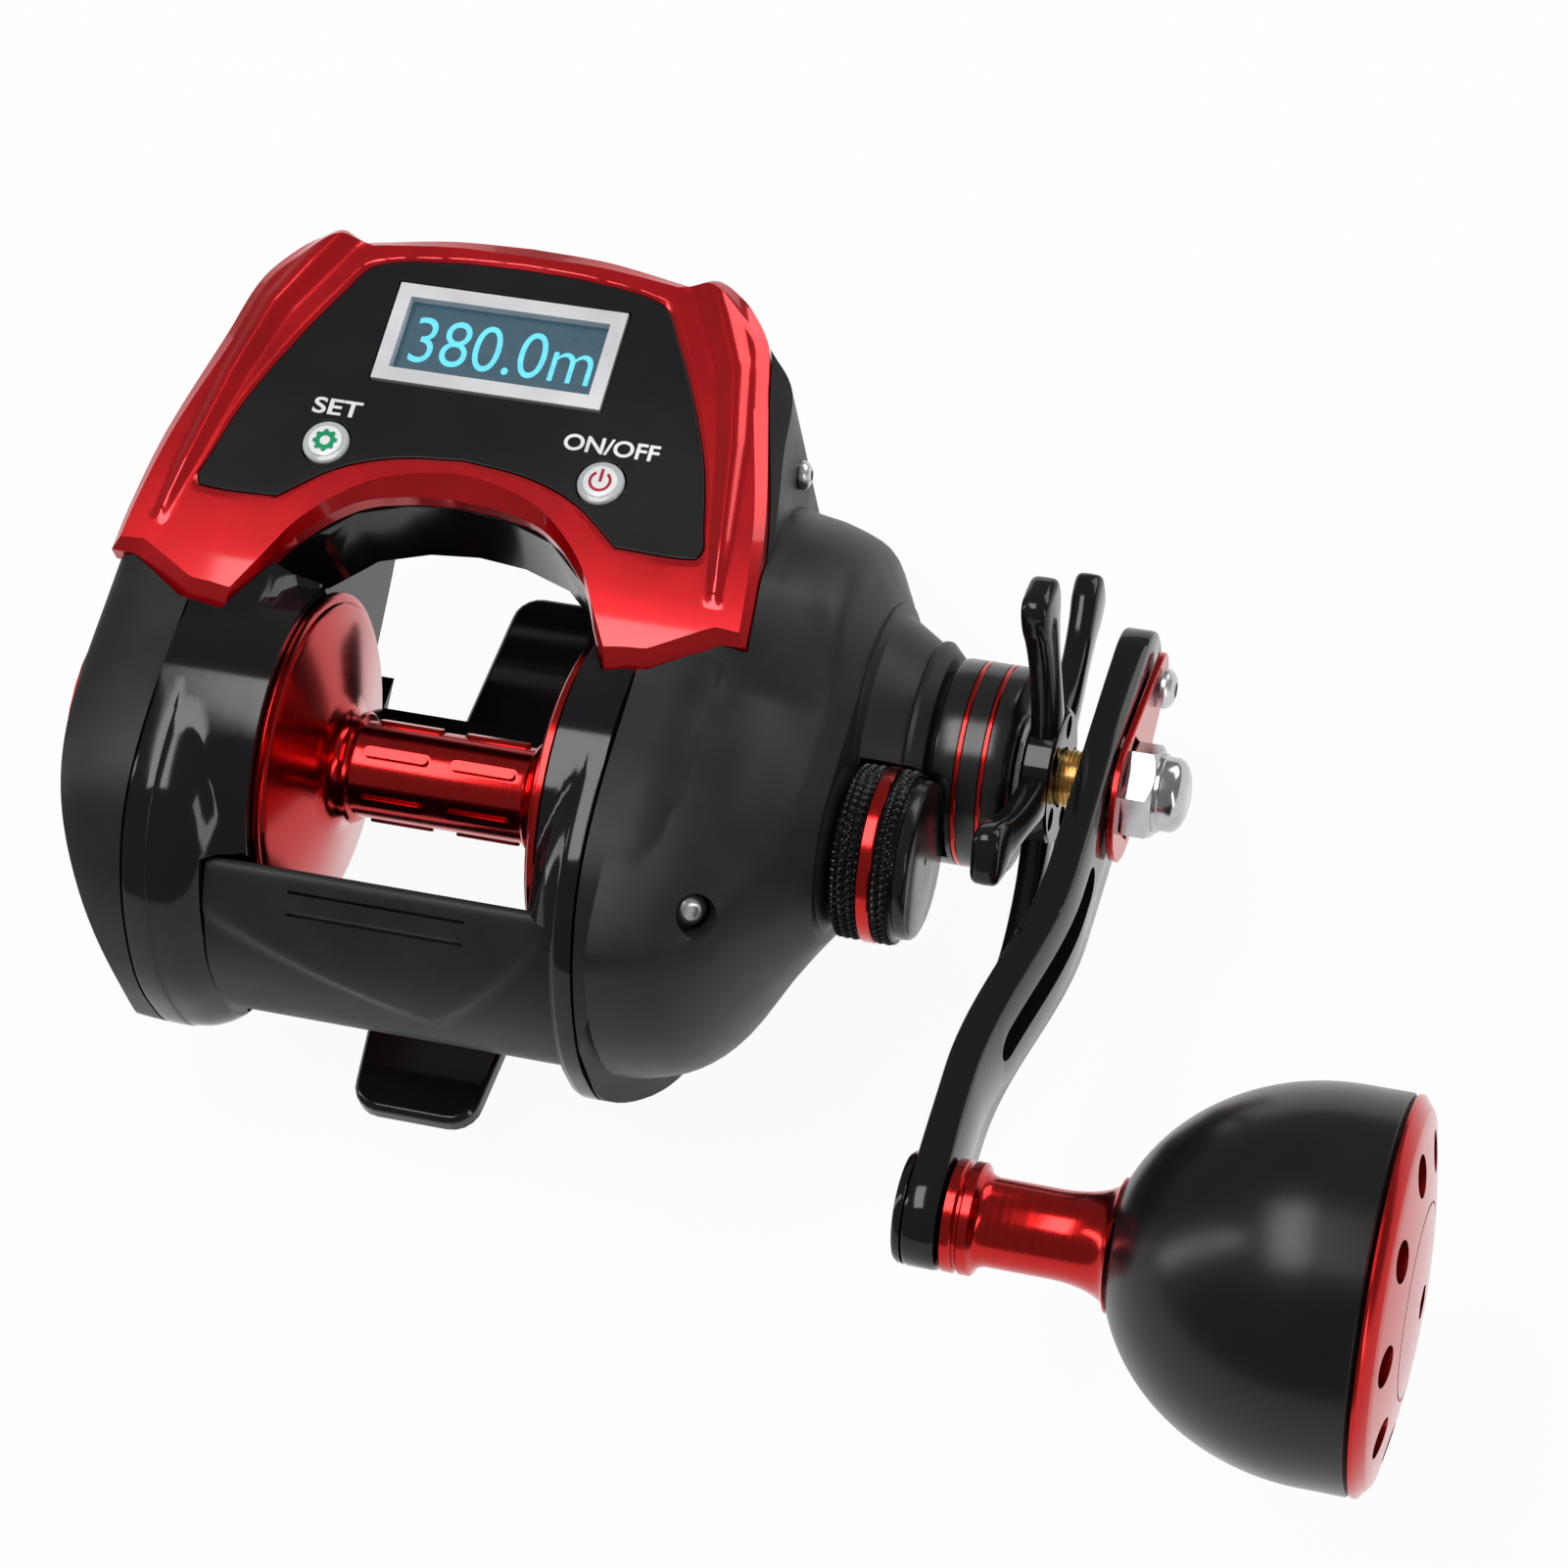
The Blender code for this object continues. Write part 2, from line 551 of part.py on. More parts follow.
def face_out(shape):
    """Turn every face outwards."""
    bmesh.ops.recalc_face_normals(shape, faces=shape.faces)
    if shape.calc_volume(signed=True) < 0:
        bmesh.ops.reverse_faces(shape, faces=shape.faces)


def loft(name, rings, parent, finish):
    """Skin closed rings of equal count and cap both ends."""
    shape = bmesh.new()
    loops = [[shape.verts.new(point) for point in ring] for ring in rings]
    for lower, upper in zip(loops, loops[1:]):
        for index, vertex in enumerate(lower):
            following = (index + 1) % len(lower)
            shape.faces.new((vertex, lower[following], upper[following], upper[index]))
    bmesh.ops.triangulate(shape, faces=shape.faces)
    shape.faces.new(loops[0])
    shape.faces.new(loops[-1])
    face_out(shape)
    mesh = bpy.data.meshes.new(name)
    shape.to_mesh(mesh)
    shape.free()
    return place_mesh(name, mesh, parent, finish)


def side_slab(name, layers, parent, finish):
    """Stack side outlines (forward, up) at their places along X."""
    return loft(name, [[(along, p.x, p.y) for p in outline] for along, outline in layers], parent, finish)


def plan_slab(name, layers, parent, finish):
    """Stack plan outlines (right, forward) at their heights."""
    return loft(name, [[(p.x, p.y, height) for p in outline] for height, outline in layers], parent, finish)


def turned(name, profile, parent, finish, steps=TURN_STEPS, ring=False):
    """Turn (place along X, radius) points, left to right, about the parent's X axis."""
    mesh = bpy.data.meshes.new(name)
    points = [(radius, 0, along) for along, radius in reversed(profile)]
    edges = [(index, index + 1) for index in range(len(points) - 1)]
    if ring:
        edges.append((len(points) - 1, 0))
    mesh.from_pydata(points, edges, [])
    item = place_mesh(name, mesh, parent, finish)
    item.rotation_euler = (0, math.pi / 2, 0)
    screw = item.modifiers.new("turn", "SCREW")
    screw.axis = "Z"
    screw.steps = steps
    screw.render_steps = steps
    screw.use_merge_vertices = True
    screw.merge_threshold = MERGE_DISTANCE
    return item


def tube(name, left, right, inner, outer, parent, finish, steps=TURN_STEPS):
    profile = [(left, inner), (left, outer), (right, outer), (right, inner)]
    return turned(name, profile, parent, finish, steps, ring=True)


def rod(name, left, right, radius, parent, finish, steps=FINE_STEPS):
    return turned(name, [(left, 0), (left, radius), (right, radius), (right, 0)], parent, finish, steps)


def extruded(name, outlines, low, high, parent, finish, along_x=True):
    """Extrude a flat outline with its holes from low to high, along X or up."""
    curve = bpy.data.curves.new(name, "CURVE")
    curve.dimensions = "2D"
    curve.fill_mode = "BOTH"
    curve.extrude = (high - low) / 2
    for outline in outlines:
        spline = curve.splines.new("POLY")
        spline.points.add(len(outline) - 1)
        for point, corner in zip(spline.points, outline):
            point.co = (corner.x, corner.y, 0, 1)
        spline.use_cyclic_u = True
    sketch = bpy.data.objects.new(name + "_sketch", curve)
    PARTS.objects.link(sketch)
    bpy.context.view_layer.update()
    mesh = bpy.data.meshes.new_from_object(sketch.evaluated_get(bpy.context.evaluated_depsgraph_get()))
    bpy.data.objects.remove(sketch)
    bpy.data.curves.remove(curve)
    shape = bmesh.new()
    shape.from_mesh(mesh)
    bmesh.ops.remove_doubles(shape, verts=shape.verts, dist=MERGE_DISTANCE)
    bmesh.ops.translate(shape, verts=shape.verts, vec=(0, 0, (low + high) / 2))
    if along_x:
        bmesh.ops.rotate(shape, verts=shape.verts, matrix=Matrix(((0, 0, 1), (1, 0, 0), (0, 1, 0))))
    face_out(shape)
    shape.to_mesh(mesh)
    shape.free()
    return place_mesh(name, mesh, parent, finish)


def block(name, low, high, parent, finish):
    """Make a box between two opposite corners."""
    mesh = bpy.data.meshes.new(name)
    shape = bmesh.new()
    bmesh.ops.create_cube(shape, size=1)
    size = Vector(high) - Vector(low)
    bmesh.ops.scale(shape, verts=shape.verts, vec=size)
    bmesh.ops.translate(shape, verts=shape.verts, vec=(Vector(high) + Vector(low)) / 2)
    shape.to_mesh(mesh)
    shape.free()
    return place_mesh(name, mesh, parent, finish)


def combine(target, other, operation):
    modifier = target.modifiers.new(other.name, "BOOLEAN")
    modifier.operation = operation
    modifier.object = other
    modifier.solver = "EXACT"


def cut(target, *cutters):
    for cutter in cutters:
        combine(target, cutter, "DIFFERENCE")


def soften(item, width, segments=2, angle=math.radians(50)):
    bevel = item.modifiers.new("edges", "BEVEL")
    bevel.width = width
    bevel.segments = segments
    bevel.limit_method = "ANGLE"
    bevel.angle_limit = angle


def circle(radius, steps=TURN_STEPS, centre=(0, 0)):
    """Outline points round a centre."""
    turn = math.tau / steps
    middle = Vector(centre)
    return [middle + Vector((math.cos(i * turn), math.sin(i * turn))) * radius for i in range(steps)]


def arc(centre, radius, start, end, steps):
    """Outline points on an arc between two angles."""
    turns = [start + (end - start) * index / steps for index in range(steps + 1)]
    return [Vector(centre) + Vector((math.cos(turn), math.sin(turn))) * radius for turn in turns]


def gear_outline(teeth, module, phase):
    """Tapered teeth on the pitch circle, the first one centred on the phase angle."""
    pitch_radius = module * teeth / 2
    root = pitch_radius - module * TOOTH_DEDENDUM_SHARE
    tip = pitch_radius + module * TOOTH_ADDENDUM_SHARE
    pitch = math.tau / teeth
    corners = (
        (root, -TOOTH_ROOT_SHARE / 2), (tip, -TOOTH_TIP_SHARE / 2),
        (tip, TOOTH_TIP_SHARE / 2), (root, TOOTH_ROOT_SHARE / 2),
    )
    outline = []
    for tooth in range(teeth):
        for radius, share in corners:
            angle = phase + (tooth + share) * pitch
            outline.append(Vector((math.cos(angle), math.sin(angle))) * radius)
    return outline


def body_outline():
    """Side outline of the body about the spool axis."""
    points = []
    for forward, up in BODY_OUTLINE_SHARES:
        reach = BODY_FRONT if forward > 0 else BODY_REAR
        height = BODY_TOP if up > 0 else BODY_BOTTOM
        points.append((forward * reach, up * height))
    return closed_spline(points, BODY_SEGMENT_POINTS)


def trim_outline():
    """Plan outline of the red trim in the display plane."""
    def scaled(shares):
        return [(x * TRIM_HALF_WIDTH, y * (TRIM_FRONT if y > 0 else TRIM_REAR)) for x, y in shares]
    return mirrored(scaled(TRIM_SHARES) + scaled(ARCH_SHARES))


def panel_outline():
    points = [(x * PANEL_HALF_WIDTH, y * (PANEL_FRONT if y > 0 else PANEL_REAR)) for x, y in PANEL_SHARES]
    return mirrored(points)


def trim_pocket(name):
    """Cutter that lets the trim's underside into the body, with clearance."""
    outline = grown(trim_outline(), GAP)
    floor = -TRIM_THICKNESS - GAP
    return plan_slab(name, [(floor, outline), (TRIM_THICKNESS, outline)], DISPLAY_CENTRE, None)


def plan_limit(name, shares):
    """Cutter with the body's plan outline, which tapers to the front."""
    flank = [(share * PLAN_HALF_WIDTH, place * BODY_FRONT) for share, place in reversed(shares)]
    outline = mirrored([(0, BODY_FRONT + CUT_OVERRUN)] + flank + [(0, -BODY_REAR - CUT_OVERRUN)])
    outline = [point + Vector((BODY_CENTRE_OFFSET, 0)) for point in outline]
    height = 2 * BODY_REAR
    return plan_slab(name, [(-height, outline), (height, outline)], SPOOL_CENTRE, None)


def ring_layer(outline, inset):
    """Body outline drawn in by the inset, but never into the wall round the spool."""
    limit = SPOOL_RADIUS + RING_BORE_CLEARANCE + RING_LEAST_WALL
    layer = drawn_in(outline, inset)
    return [point if point.length > limit else point.normalized() * limit for point in layer]


def make_frame():
    """Left and right rings joined by three lower bars."""
    outline = body_outline()
    left_span = -LEFT_RING_INNER_FACE - LEFT_SEAM
    right_span = RIGHT_SEAM - RIGHT_RING_INNER_FACE
    left = [(LEFT_SEAM + s * left_span, ring_layer(outline, d * RING_LEFT_FUNNEL))
            for s, d in RING_FUNNEL_SHARES]
    right = [(RIGHT_SEAM - s * right_span, ring_layer(outline, d * RING_RIGHT_FUNNEL))
             for s, d in RING_FUNNEL_SHARES]
    frame = side_slab("frame", left, SPOOL_CENTRE, GLOSS_BLACK)
    ring = side_slab("frame_right_ring", right, SPOOL_CENTRE, None)
    low = LEFT_SEAM + left_span / 2
    high = RIGHT_SEAM - right_span / 2
    bottom = -BODY_BOTTOM + GAP
    top = bottom + BAR_THICKNESS
    front_bar = block("frame_front_bar", (low, FRONT_BAR_REAR, bottom), (high, FRONT_BAR_FRONT, top),
                      SPOOL_CENTRE, None)
    rear_bar = block("frame_rear_bar", (low, -REAR_BAR_REAR, bottom), (high, -REAR_BAR_FRONT, top),
                     SPOOL_CENTRE, None)
    bore = SPOOL_RADIUS + RING_BORE_CLEARANCE
    left_bore = rod("frame_left_bore", LEFT_SEAM - CUT_OVERRUN, 0, bore, SPOOL_CENTRE, None, TURN_STEPS)
    recess_end = SPOOL_HALF_WIDTH + RIGHT_WALL_RECESS
    seat_end = recess_end + BEARING_WIDTH + GAP
    seat = BEARING_RADIUS + GAP
    opening = BEARING_RADIUS - GAP
    through = RIGHT_SEAM + CUT_OVERRUN
    stepped = [(0, 0), (0, bore), (recess_end, bore), (recess_end, seat), (seat_end, seat),
               (seat_end, opening),
               (through, opening), (through, 0)]
    right_bore = turned("frame_right_bore", stepped, SPOOL_CENTRE, None)
    drive_seat = rod("frame_drive_seat", DRIVE_SHAFT_LEFT - GAP, RIGHT_SEAM + CUT_OVERRUN,
                     DRIVE_SHAFT_RADIUS + GAP, DRIVE_CENTRE, None)
    guide_bay = block("frame_guide_bay", (-GUIDE_BAY_HALF_WIDTH, GUIDE_BAY_REAR, -BODY_REAR),
                      (GUIDE_BAY_HALF_WIDTH, BODY_FRONT + CUT_OVERRUN, GUIDE_BAY_TOP), SPOOL_CENTRE, None)
    worm_left = rod("frame_worm_left", -WORM_HALF_LENGTH - CUT_OVERRUN, 0, WORM_JOURNAL_RADIUS + GAP,
                    WORM_CENTRE, None)
    worm_right = rod("frame_worm_right", 0, RIGHT_SEAM + CUT_OVERRUN, WORM_JOURNAL_RADIUS + GAP,
                     WORM_CENTRE, None)
    for piece in (ring, front_bar, rear_bar):
        combine(frame, piece, "UNION")
    line_bay = block("frame_line_bay", (-GUIDE_BAY_HALF_WIDTH, LINE_BAY_REAR, -LINE_BAY_DROP),
                     (GUIDE_BAY_HALF_WIDTH, GUIDE_BAY_REAR + CUT_OVERRUN, GUIDE_BAY_TOP), SPOOL_CENTRE, None)
    cut(frame, left_bore, right_bore, drive_seat, guide_bay, line_bay)
    nose_bar = rod("frame_nose_bar", low, high, NOSE_BAR_RADIUS,
                   axis_empty("nose_bar_axis", (0, NOSE_BAR_PLACE, NOSE_BAR_HEIGHT), SPOOL_CENTRE), None)
    combine(frame, nose_bar, "UNION")
    rail_axis = axis_empty("rail_axis", WORM_AXIS + Vector((0, RAIL_FORWARD, -RAIL_DROP)), SPOOL_CENTRE)
    rail_reach = GUIDE_BAY_HALF_WIDTH + GAP * 4
    rail_seat = rod("frame_rail_seat", -rail_reach - GAP, rail_reach + GAP, RAIL_RADIUS + GAP, rail_axis,
                    None)
    rod("guide_rail", -rail_reach, rail_reach, RAIL_RADIUS, rail_axis, STEEL)
    thumb_slot = thumb_slot_cutter()
    housing_reach = HOUSING_HALF_WIDTH + GAP
    housing_bay = block("frame_housing_bay",
                        (BODY_CENTRE_OFFSET - housing_reach, GUIDE_BAY_REAR - CUT_OVERRUN * 3,
                         GUIDE_BAY_TOP - BAY_STEP),
                        (BODY_CENTRE_OFFSET + housing_reach, BODY_FRONT + CUT_OVERRUN, BODY_REAR),
                        SPOOL_CENTRE, None)
    cut(frame, worm_left, worm_right, rail_seat, thumb_slot, housing_bay, trim_pocket("frame_trim_pocket"))


def thumb_outline():
    return [Vector((forward * BODY_REAR, up * BODY_REAR)) for forward, up in THUMB_BAR_SHARES]


def thumb_direction():
    return Vector((-math.sin(THUMB_TILT), -math.cos(THUMB_TILT)))


def thumb_slot_cutter():
    """Room for the ends of the thumb bar along its whole travel."""
    outline = grown(closed_spline(thumb_outline(), 2), 2 * GAP)
    shift = thumb_direction() * THUMB_TRAVEL
    width = THUMB_BAR_HALF_WIDTH + GAP
    outward = [point * THUMB_SLOT_FLARE for point in outline]
    both = outline + [point + shift for point in outline] + outward
    hull = bmesh.new()
    for along in (-width, width):
        for point in both:
            hull.verts.new((along, point.x, point.y))
    result = bmesh.ops.convex_hull(hull, input=hull.verts)
    bmesh.ops.delete(hull, geom=result["geom_interior"], context="VERTS")
    face_out(hull)
    mesh = bpy.data.meshes.new("frame_thumb_slot")
    hull.to_mesh(mesh)
    hull.free()
    return place_mesh("frame_thumb_slot", mesh, SPOOL_CENTRE, None)


def make_thumb_bar():
    """Clutch bar between the rings, pressed down by the thumb."""
    outline = closed_spline(thumb_outline(), 2)
    ends = (-THUMB_BAR_HALF_WIDTH, THUMB_BAR_HALF_WIDTH)
    side_slab("thumb_bar", [(end, outline) for end in ends], SPOOL_CENTRE, MATTE_BLACK)


def foot_tab(name, root, reach, forward):
    """One tab of the foot: a flat seat below, a low crown above, wider towards its root."""
    length = reach - root
    tip = FOOT_TIP_HALF_WIDTH
    base = tip + FOOT_FLARE * length
    corner = FOOT_CORNER
    round_tip = arc((tip - corner, reach - corner), corner, 0, math.pi / 2, 5)
    half = [Vector((base, root))] + round_tip
    outline = half + [Vector((-point.x, point.y)) for point in reversed(half)]
    outline = [Vector((point.x, point.y * forward)) for point in outline]
    crown = [(-FOOT_SEAT_DEPTH, outline), (-FOOT_TOP - FOOT_CROWN, outline),
             (-FOOT_TOP, grown(outline, -FOOT_CROWN))]
    return plan_slab(name, crown, SPOOL_CENTRE, GLOSS_BLACK)


def make_foot():
    foot_tab("foot_front", FOOT_FRONT_ROOT, FOOT_FRONT_REACH, 1)
    foot_tab("foot_rear", FOOT_REAR_ROOT, FOOT_REAR_REACH, -1)


def make_left_cover():
    """Palm side cover with the spigot that plugs the left ring and holds the bearing."""
    outline = body_outline()
    seam = LEFT_SEAM - GAP
    layers = []
    for reach, inset_share in COVER_LAYER_SHARES:
        inset = inset_share * COVER_ROUNDING
        lift = Vector((0, inset * LEFT_COVER_LIFT_SHARE))
        layers.append((seam - reach * LEFT_COVER_REACH, [point + lift for point in drawn_in(outline, inset)]))
    cover = side_slab("left_cover", layers, SPOOL_CENTRE, MATTE_BLACK)
    spigot = rod("left_cover_spigot", seam - GAP, -LEFT_SPIGOT_FACE, LEFT_SPIGOT_RADIUS, SPOOL_CENTRE, None,
                 TURN_STEPS)
    boss = rod("left_cover_boss", seam, -LEFT_BOSS_FACE, LEFT_BOSS_RADIUS, SPOOL_CENTRE, None)
    combine(cover, plan_limit("left_plan_limit", LEFT_PLAN_SHARES), "INTERSECT")
    combine(cover, spigot, "UNION")
    combine(cover, boss, "UNION")
    bearing_left = -LEFT_BOSS_FACE - BEARING_WIDTH - GAP
    seat = rod("left_bearing_seat", bearing_left - GAP, 0, BEARING_RADIUS + GAP, SPOOL_CENTRE, None)
    shaft_room = rod("left_shaft_room", -SPOOL_SHAFT_LEFT - GAP, 0, SPOOL_SHAFT_RADIUS + GAP * 2,
                     SPOOL_CENTRE, None)
    outer = LEFT_SEAM - GAP - LEFT_COVER_REACH
    dial_seat = rod("left_dial_seat", outer - CUT_OVERRUN, outer + DIAL_SEAT_DEPTH, DIAL_RADIUS + GAP,
                    SPOOL_CENTRE, None, TURN_STEPS)
    stem_hole = rod("left_stem_hole", outer, outer + DIAL_SEAT_DEPTH + DIAL_STEM_LENGTH + GAP,
                    DIAL_STEM_RADIUS + GAP, SPOOL_CENTRE, None)
    cut(cover, seat, shaft_room, dial_seat, stem_hole, trim_pocket("left_trim_pocket"))
    make_bearing("spool_bearing_left", bearing_left, SPOOL_SHAFT_RADIUS)
    make_brake(outer)


def make_bearing(name, left, shaft_radius):
    bore = shaft_radius + BEARING_BORE_CLEARANCE
    tube(name, left, left + BEARING_WIDTH, bore, BEARING_RADIUS, SPOOL_CENTRE, STEEL, FINE_STEPS)


def make_brake(outer):
    """Brake dial with finger notches and a red ring, and the magnet ring that it moves."""
    inner = outer + DIAL_SEAT_DEPTH - GAP
    face = inner - DIAL_THICKNESS
    core = DIAL_RADIUS - DIAL_RING_WIDTH
    stem_end = inner + DIAL_STEM_LENGTH
    profile = [(face, 0), (face, core - COLLAR_CHAMFER), (face + COLLAR_CHAMFER, core), (inner, core),
               (inner, DIAL_STEM_RADIUS), (stem_end, DIAL_STEM_RADIUS), (stem_end, 0)]
    dial = turned("brake_dial", profile, SPOOL_CENTRE, MATTE_BLACK)
    for index in range(DIAL_GRIP_COUNT):
        angle = math.tau * index / DIAL_GRIP_COUNT
        place = Vector((0, math.cos(angle), math.sin(angle))) * (core - DIAL_GRIP_RADIUS * 2)
        centre = axis_empty(f"dial_grip_axis_{index + 1}", place, SPOOL_CENTRE)
        cut(dial, rod(f"dial_grip_{index + 1}", face - CUT_OVERRUN, face + GAP * 2, DIAL_GRIP_RADIUS,
                      centre, None, SMALL_STEPS))
    ring_face = face + COLLAR_CHAMFER
    tube("brake_dial_ring", ring_face, inner, core + GAP / 2, DIAL_RADIUS, SPOOL_CENTRE, METAL_RED)
    left = -MAGNET_RING_PLACE - MAGNET_RING_THICKNESS / 2
    left = max(left, -LEFT_SPIGOT_FACE + GAP)
    tube("magnet_ring", left, left + MAGNET_RING_THICKNESS, MAGNET_RING_BORE, MAGNET_RING_RADIUS,
         SPOOL_CENTRE, STEEL)


def hull_ring(along, circles, floor, count):
    """Convex ring round circles of (centre, radius), kept above the floor."""
    points = []
    for centre, radius in circles:
        points += circle(radius, TURN_STEPS, centre)
    middle = sum((Vector(centre) for centre, _ in circles), Vector((0, 0))) / len(circles)
    ring = []
    for index in range(count):
        angle = math.tau * index / count
        direction = Vector((math.cos(angle), math.sin(angle)))
        reach = ray_to_hull(middle, direction, circles)
        point = middle + direction * reach
        ring.append((along, point.x, max(point.y, -floor)))
    return ring


def ray_to_hull(origin, direction, circles):
    """Distance along a ray to the outside of two circles joined by their common tangents."""
    support_steps = TURN_STEPS * 3
    best = math.inf
    for step in range(support_steps):
        angle = math.tau * step / support_steps
        normal = Vector((math.cos(angle), math.sin(angle)))
        facing = normal.dot(direction)
        if facing <= 0:
            continue
        support = max(normal.dot(Vector(centre) - origin) + radius for centre, radius in circles)
        best = min(best, support / facing)
    return best


def tension_knob_room(name, inner):
    """Cutter that leaves room for the tension knob beside the cone."""
    outer = TENSION_KNOB_RADIUS + KNOB_ROOM
    left = TENSION_KNOB_FACE - GAP
    right = TENSION_KNOB_FACE + TENSION_KNOB_LENGTH + GAP
    return tube(name, left, right, inner, outer, SPOOL_CENTRE, None)


def make_right_cover():
    """Handle side cover: a base plate, the gear bulge, the cone of the drive shaft and the tension flare."""
    outline = body_outline()
    seam = RIGHT_SEAM + GAP
    layers = [(seam + s * COVER_BASE_REACH, drawn_in(outline, d * COVER_ROUNDING))
              for s, d in COVER_LAYER_SHARES]
    cover = side_slab("right_cover", layers, SPOOL_CENTRE, MATTE_BLACK)
    combine(cover, plan_limit("right_plan_limit", RIGHT_PLAN_SHARES), "INTERSECT")
    drive = DRIVE_AXIS.yz
    rings = []
    for reach, drive_share, tension_share in DOME_LAYER_SHARES:
        circles = [((0, 0), TENSION_DOME_RADIUS * tension_share), (drive, GEAR_DOME_RADIUS * drive_share)]
        rings.append(hull_ring(seam + reach * RIGHT_COVER_REACH, circles, GEAR_DOME_FLOOR, TURN_STEPS + 8))
    dome = loft("right_cover_dome", rings, SPOOL_CENTRE, None)
    dome_end = seam + RIGHT_COVER_REACH
    neck = CONE_TIP + CONE_NECK_LENGTH
    cone_profile = [(dome_end - CUT_OVERRUN, 0), (dome_end - CUT_OVERRUN, CONE_BASE_RADIUS),
                    (dome_end, CONE_BASE_RADIUS),
                    (CONE_TIP, CONE_TIP_RADIUS), (CONE_TIP, COLLAR_NECK_RADIUS), (neck, COLLAR_NECK_RADIUS),
                    (neck, 0)]
    cone = turned("right_cover_cone", cone_profile, DRIVE_CENTRE, None)
    flare_profile = [(dome_end - CUT_OVERRUN, 0), (dome_end - CUT_OVERRUN, TENSION_FLARE_RADIUS),
                     (dome_end, TENSION_FLARE_RADIUS), (TENSION_FLARE_END, TENSION_KNOB_TIP_RADIUS),
                     (TENSION_FLARE_END, TENSION_BOSS_RADIUS), (TENSION_BOSS_END, TENSION_BOSS_RADIUS),
                     (TENSION_BOSS_END, 0)]
    flare = turned("right_cover_flare", flare_profile, SPOOL_CENTRE, None)
    for piece in (dome, cone, flare):
        combine(cover, piece, "UNION")
    open_end = seam - CUT_OVERRUN
    pad_bore = TENSION_PAD_RADIUS + GAP
    boss_end = TENSION_BOSS_END + CUT_OVERRUN
    tension_steps = [(open_end, 0), (open_end, PINION_CHAMBER_RADIUS),
                     (PINION_CHAMBER_DEPTH, PINION_CHAMBER_RADIUS),
                     (PINION_CHAMBER_DEPTH, pad_bore), (boss_end, pad_bore), (boss_end, 0)]
    clutch_bore = ONE_WAY_RADIUS + GAP
    clutch_end = ONE_WAY_FACE + ONE_WAY_WIDTH + GAP
    cone_end = neck + CUT_OVERRUN
    drive_steps = [(open_end, 0), (open_end, GEAR_CHAMBER_RADIUS), (GEAR_CHAMBER_DEPTH, GEAR_CHAMBER_RADIUS),
                   (GEAR_CHAMBER_DEPTH, clutch_bore), (clutch_end, clutch_bore),
                   (clutch_end, COLLAR_BORE_RADIUS),
                   (cone_end, COLLAR_BORE_RADIUS), (cone_end, 0)]
    worm_chamber = rod("right_worm_chamber", open_end, WORM_CHAMBER_DEPTH, WORM_CHAMBER_RADIUS, WORM_CENTRE,
                       None)
    tension_bore = turned("right_tension_bore", tension_steps, SPOOL_CENTRE, None, BORE_STEPS)
    drive_bore = turned("right_drive_bore", drive_steps, DRIVE_CENTRE, None, BORE_STEPS)
    screw_place = Vector((0, math.cos(RECESSED_SCREW_ANGLE),
                          math.sin(RECESSED_SCREW_ANGLE))) * RECESSED_SCREW_PLACE
    screw_axis = axis_empty("recessed_screw_axis", screw_place, SPOOL_CENTRE)
    screw_face = seam + COVER_BASE_REACH - RECESSED_SCREW_DEPTH
    screw_hole = rod("right_screw_recess", screw_face, dome_end, RECESSED_SCREW_RADIUS, screw_axis, None)
    knob_room = tension_knob_room("right_knob_room", TENSION_BOSS_RADIUS)
    cut(cover, screw_hole, trim_pocket("right_trim_pocket"), knob_room, worm_chamber, tension_bore,
        drive_bore)


def make_spool():
    """Dished flanges on a hollow, slotted core."""
    face = SPOOL_HALF_WIDTH
    hub_in = face - SPOOL_DISH - SPOOL_RIM
    core_in = SPOOL_CORE_RADIUS - SPOOL_CORE_WALL
    bore = SPOOL_SHAFT_RADIUS + GAP
    outer_hub = SPOOL_HUB_RADIUS - SPOOL_WEB
    right_outer = [(hub_in, SPOOL_HUB_RADIUS), (face - SPOOL_RIM - GAP, SPOOL_RADIUS - SPOOL_RIM),
                   (face - SPOOL_RIM, SPOOL_RADIUS), (face, SPOOL_RADIUS), (face, SPOOL_RADIUS - SPOOL_RIM),
                   (hub_in + SPOOL_WEB, outer_hub), (face - GAP, outer_hub - GAP), (face - GAP, bore)]
    neck = (hub_in - SPOOL_HUB_FACE, SPOOL_CORE_RADIUS)
    outer = [(-along, radius) for along, radius in reversed(right_outer)] + [(-neck[0], neck[1]),
                                                                             neck] + right_outer
    chamber = hub_in - SPOOL_WEB
    inner = [(chamber, bore), (chamber, core_in), (-chamber, core_in), (-chamber, bore)]
    spool = turned("spool", outer + inner, SPOOL_CENTRE, METAL_RED, TURN_STEPS, ring=True)
    half_length = SPOOL_SLOT_LENGTH / 2
    half_width = SPOOL_SLOT_WIDTH / 2
    for index in range(SPOOL_SLOT_COUNT):
        angle = math.tau * index / SPOOL_SLOT_COUNT
        for side in (-1, 1):
            centre = side * SPOOL_SLOT_PLACE
            slot = block(f"spool_slot_{index + 1}_{'left' if side < 0 else 'right'}",
                         (centre - half_length, -half_width, SPOOL_SHAFT_RADIUS + GAP),
                         (centre + half_length, half_width, SPOOL_CORE_RADIUS + GAP * 2), SPOOL_CENTRE, None)
            slot.rotation_euler = (angle, 0, 0)
            cut(spool, slot)
    rod("spool_shaft", -SPOOL_SHAFT_LEFT, SPOOL_SHAFT_RIGHT, SPOOL_SHAFT_RADIUS, SPOOL_CENTRE, STEEL)
    bearing_left = SPOOL_HALF_WIDTH + RIGHT_WALL_RECESS + GAP / 2
    make_bearing("spool_bearing_right", bearing_left, SPOOL_SHAFT_RADIUS)
    make_counter_sensor()


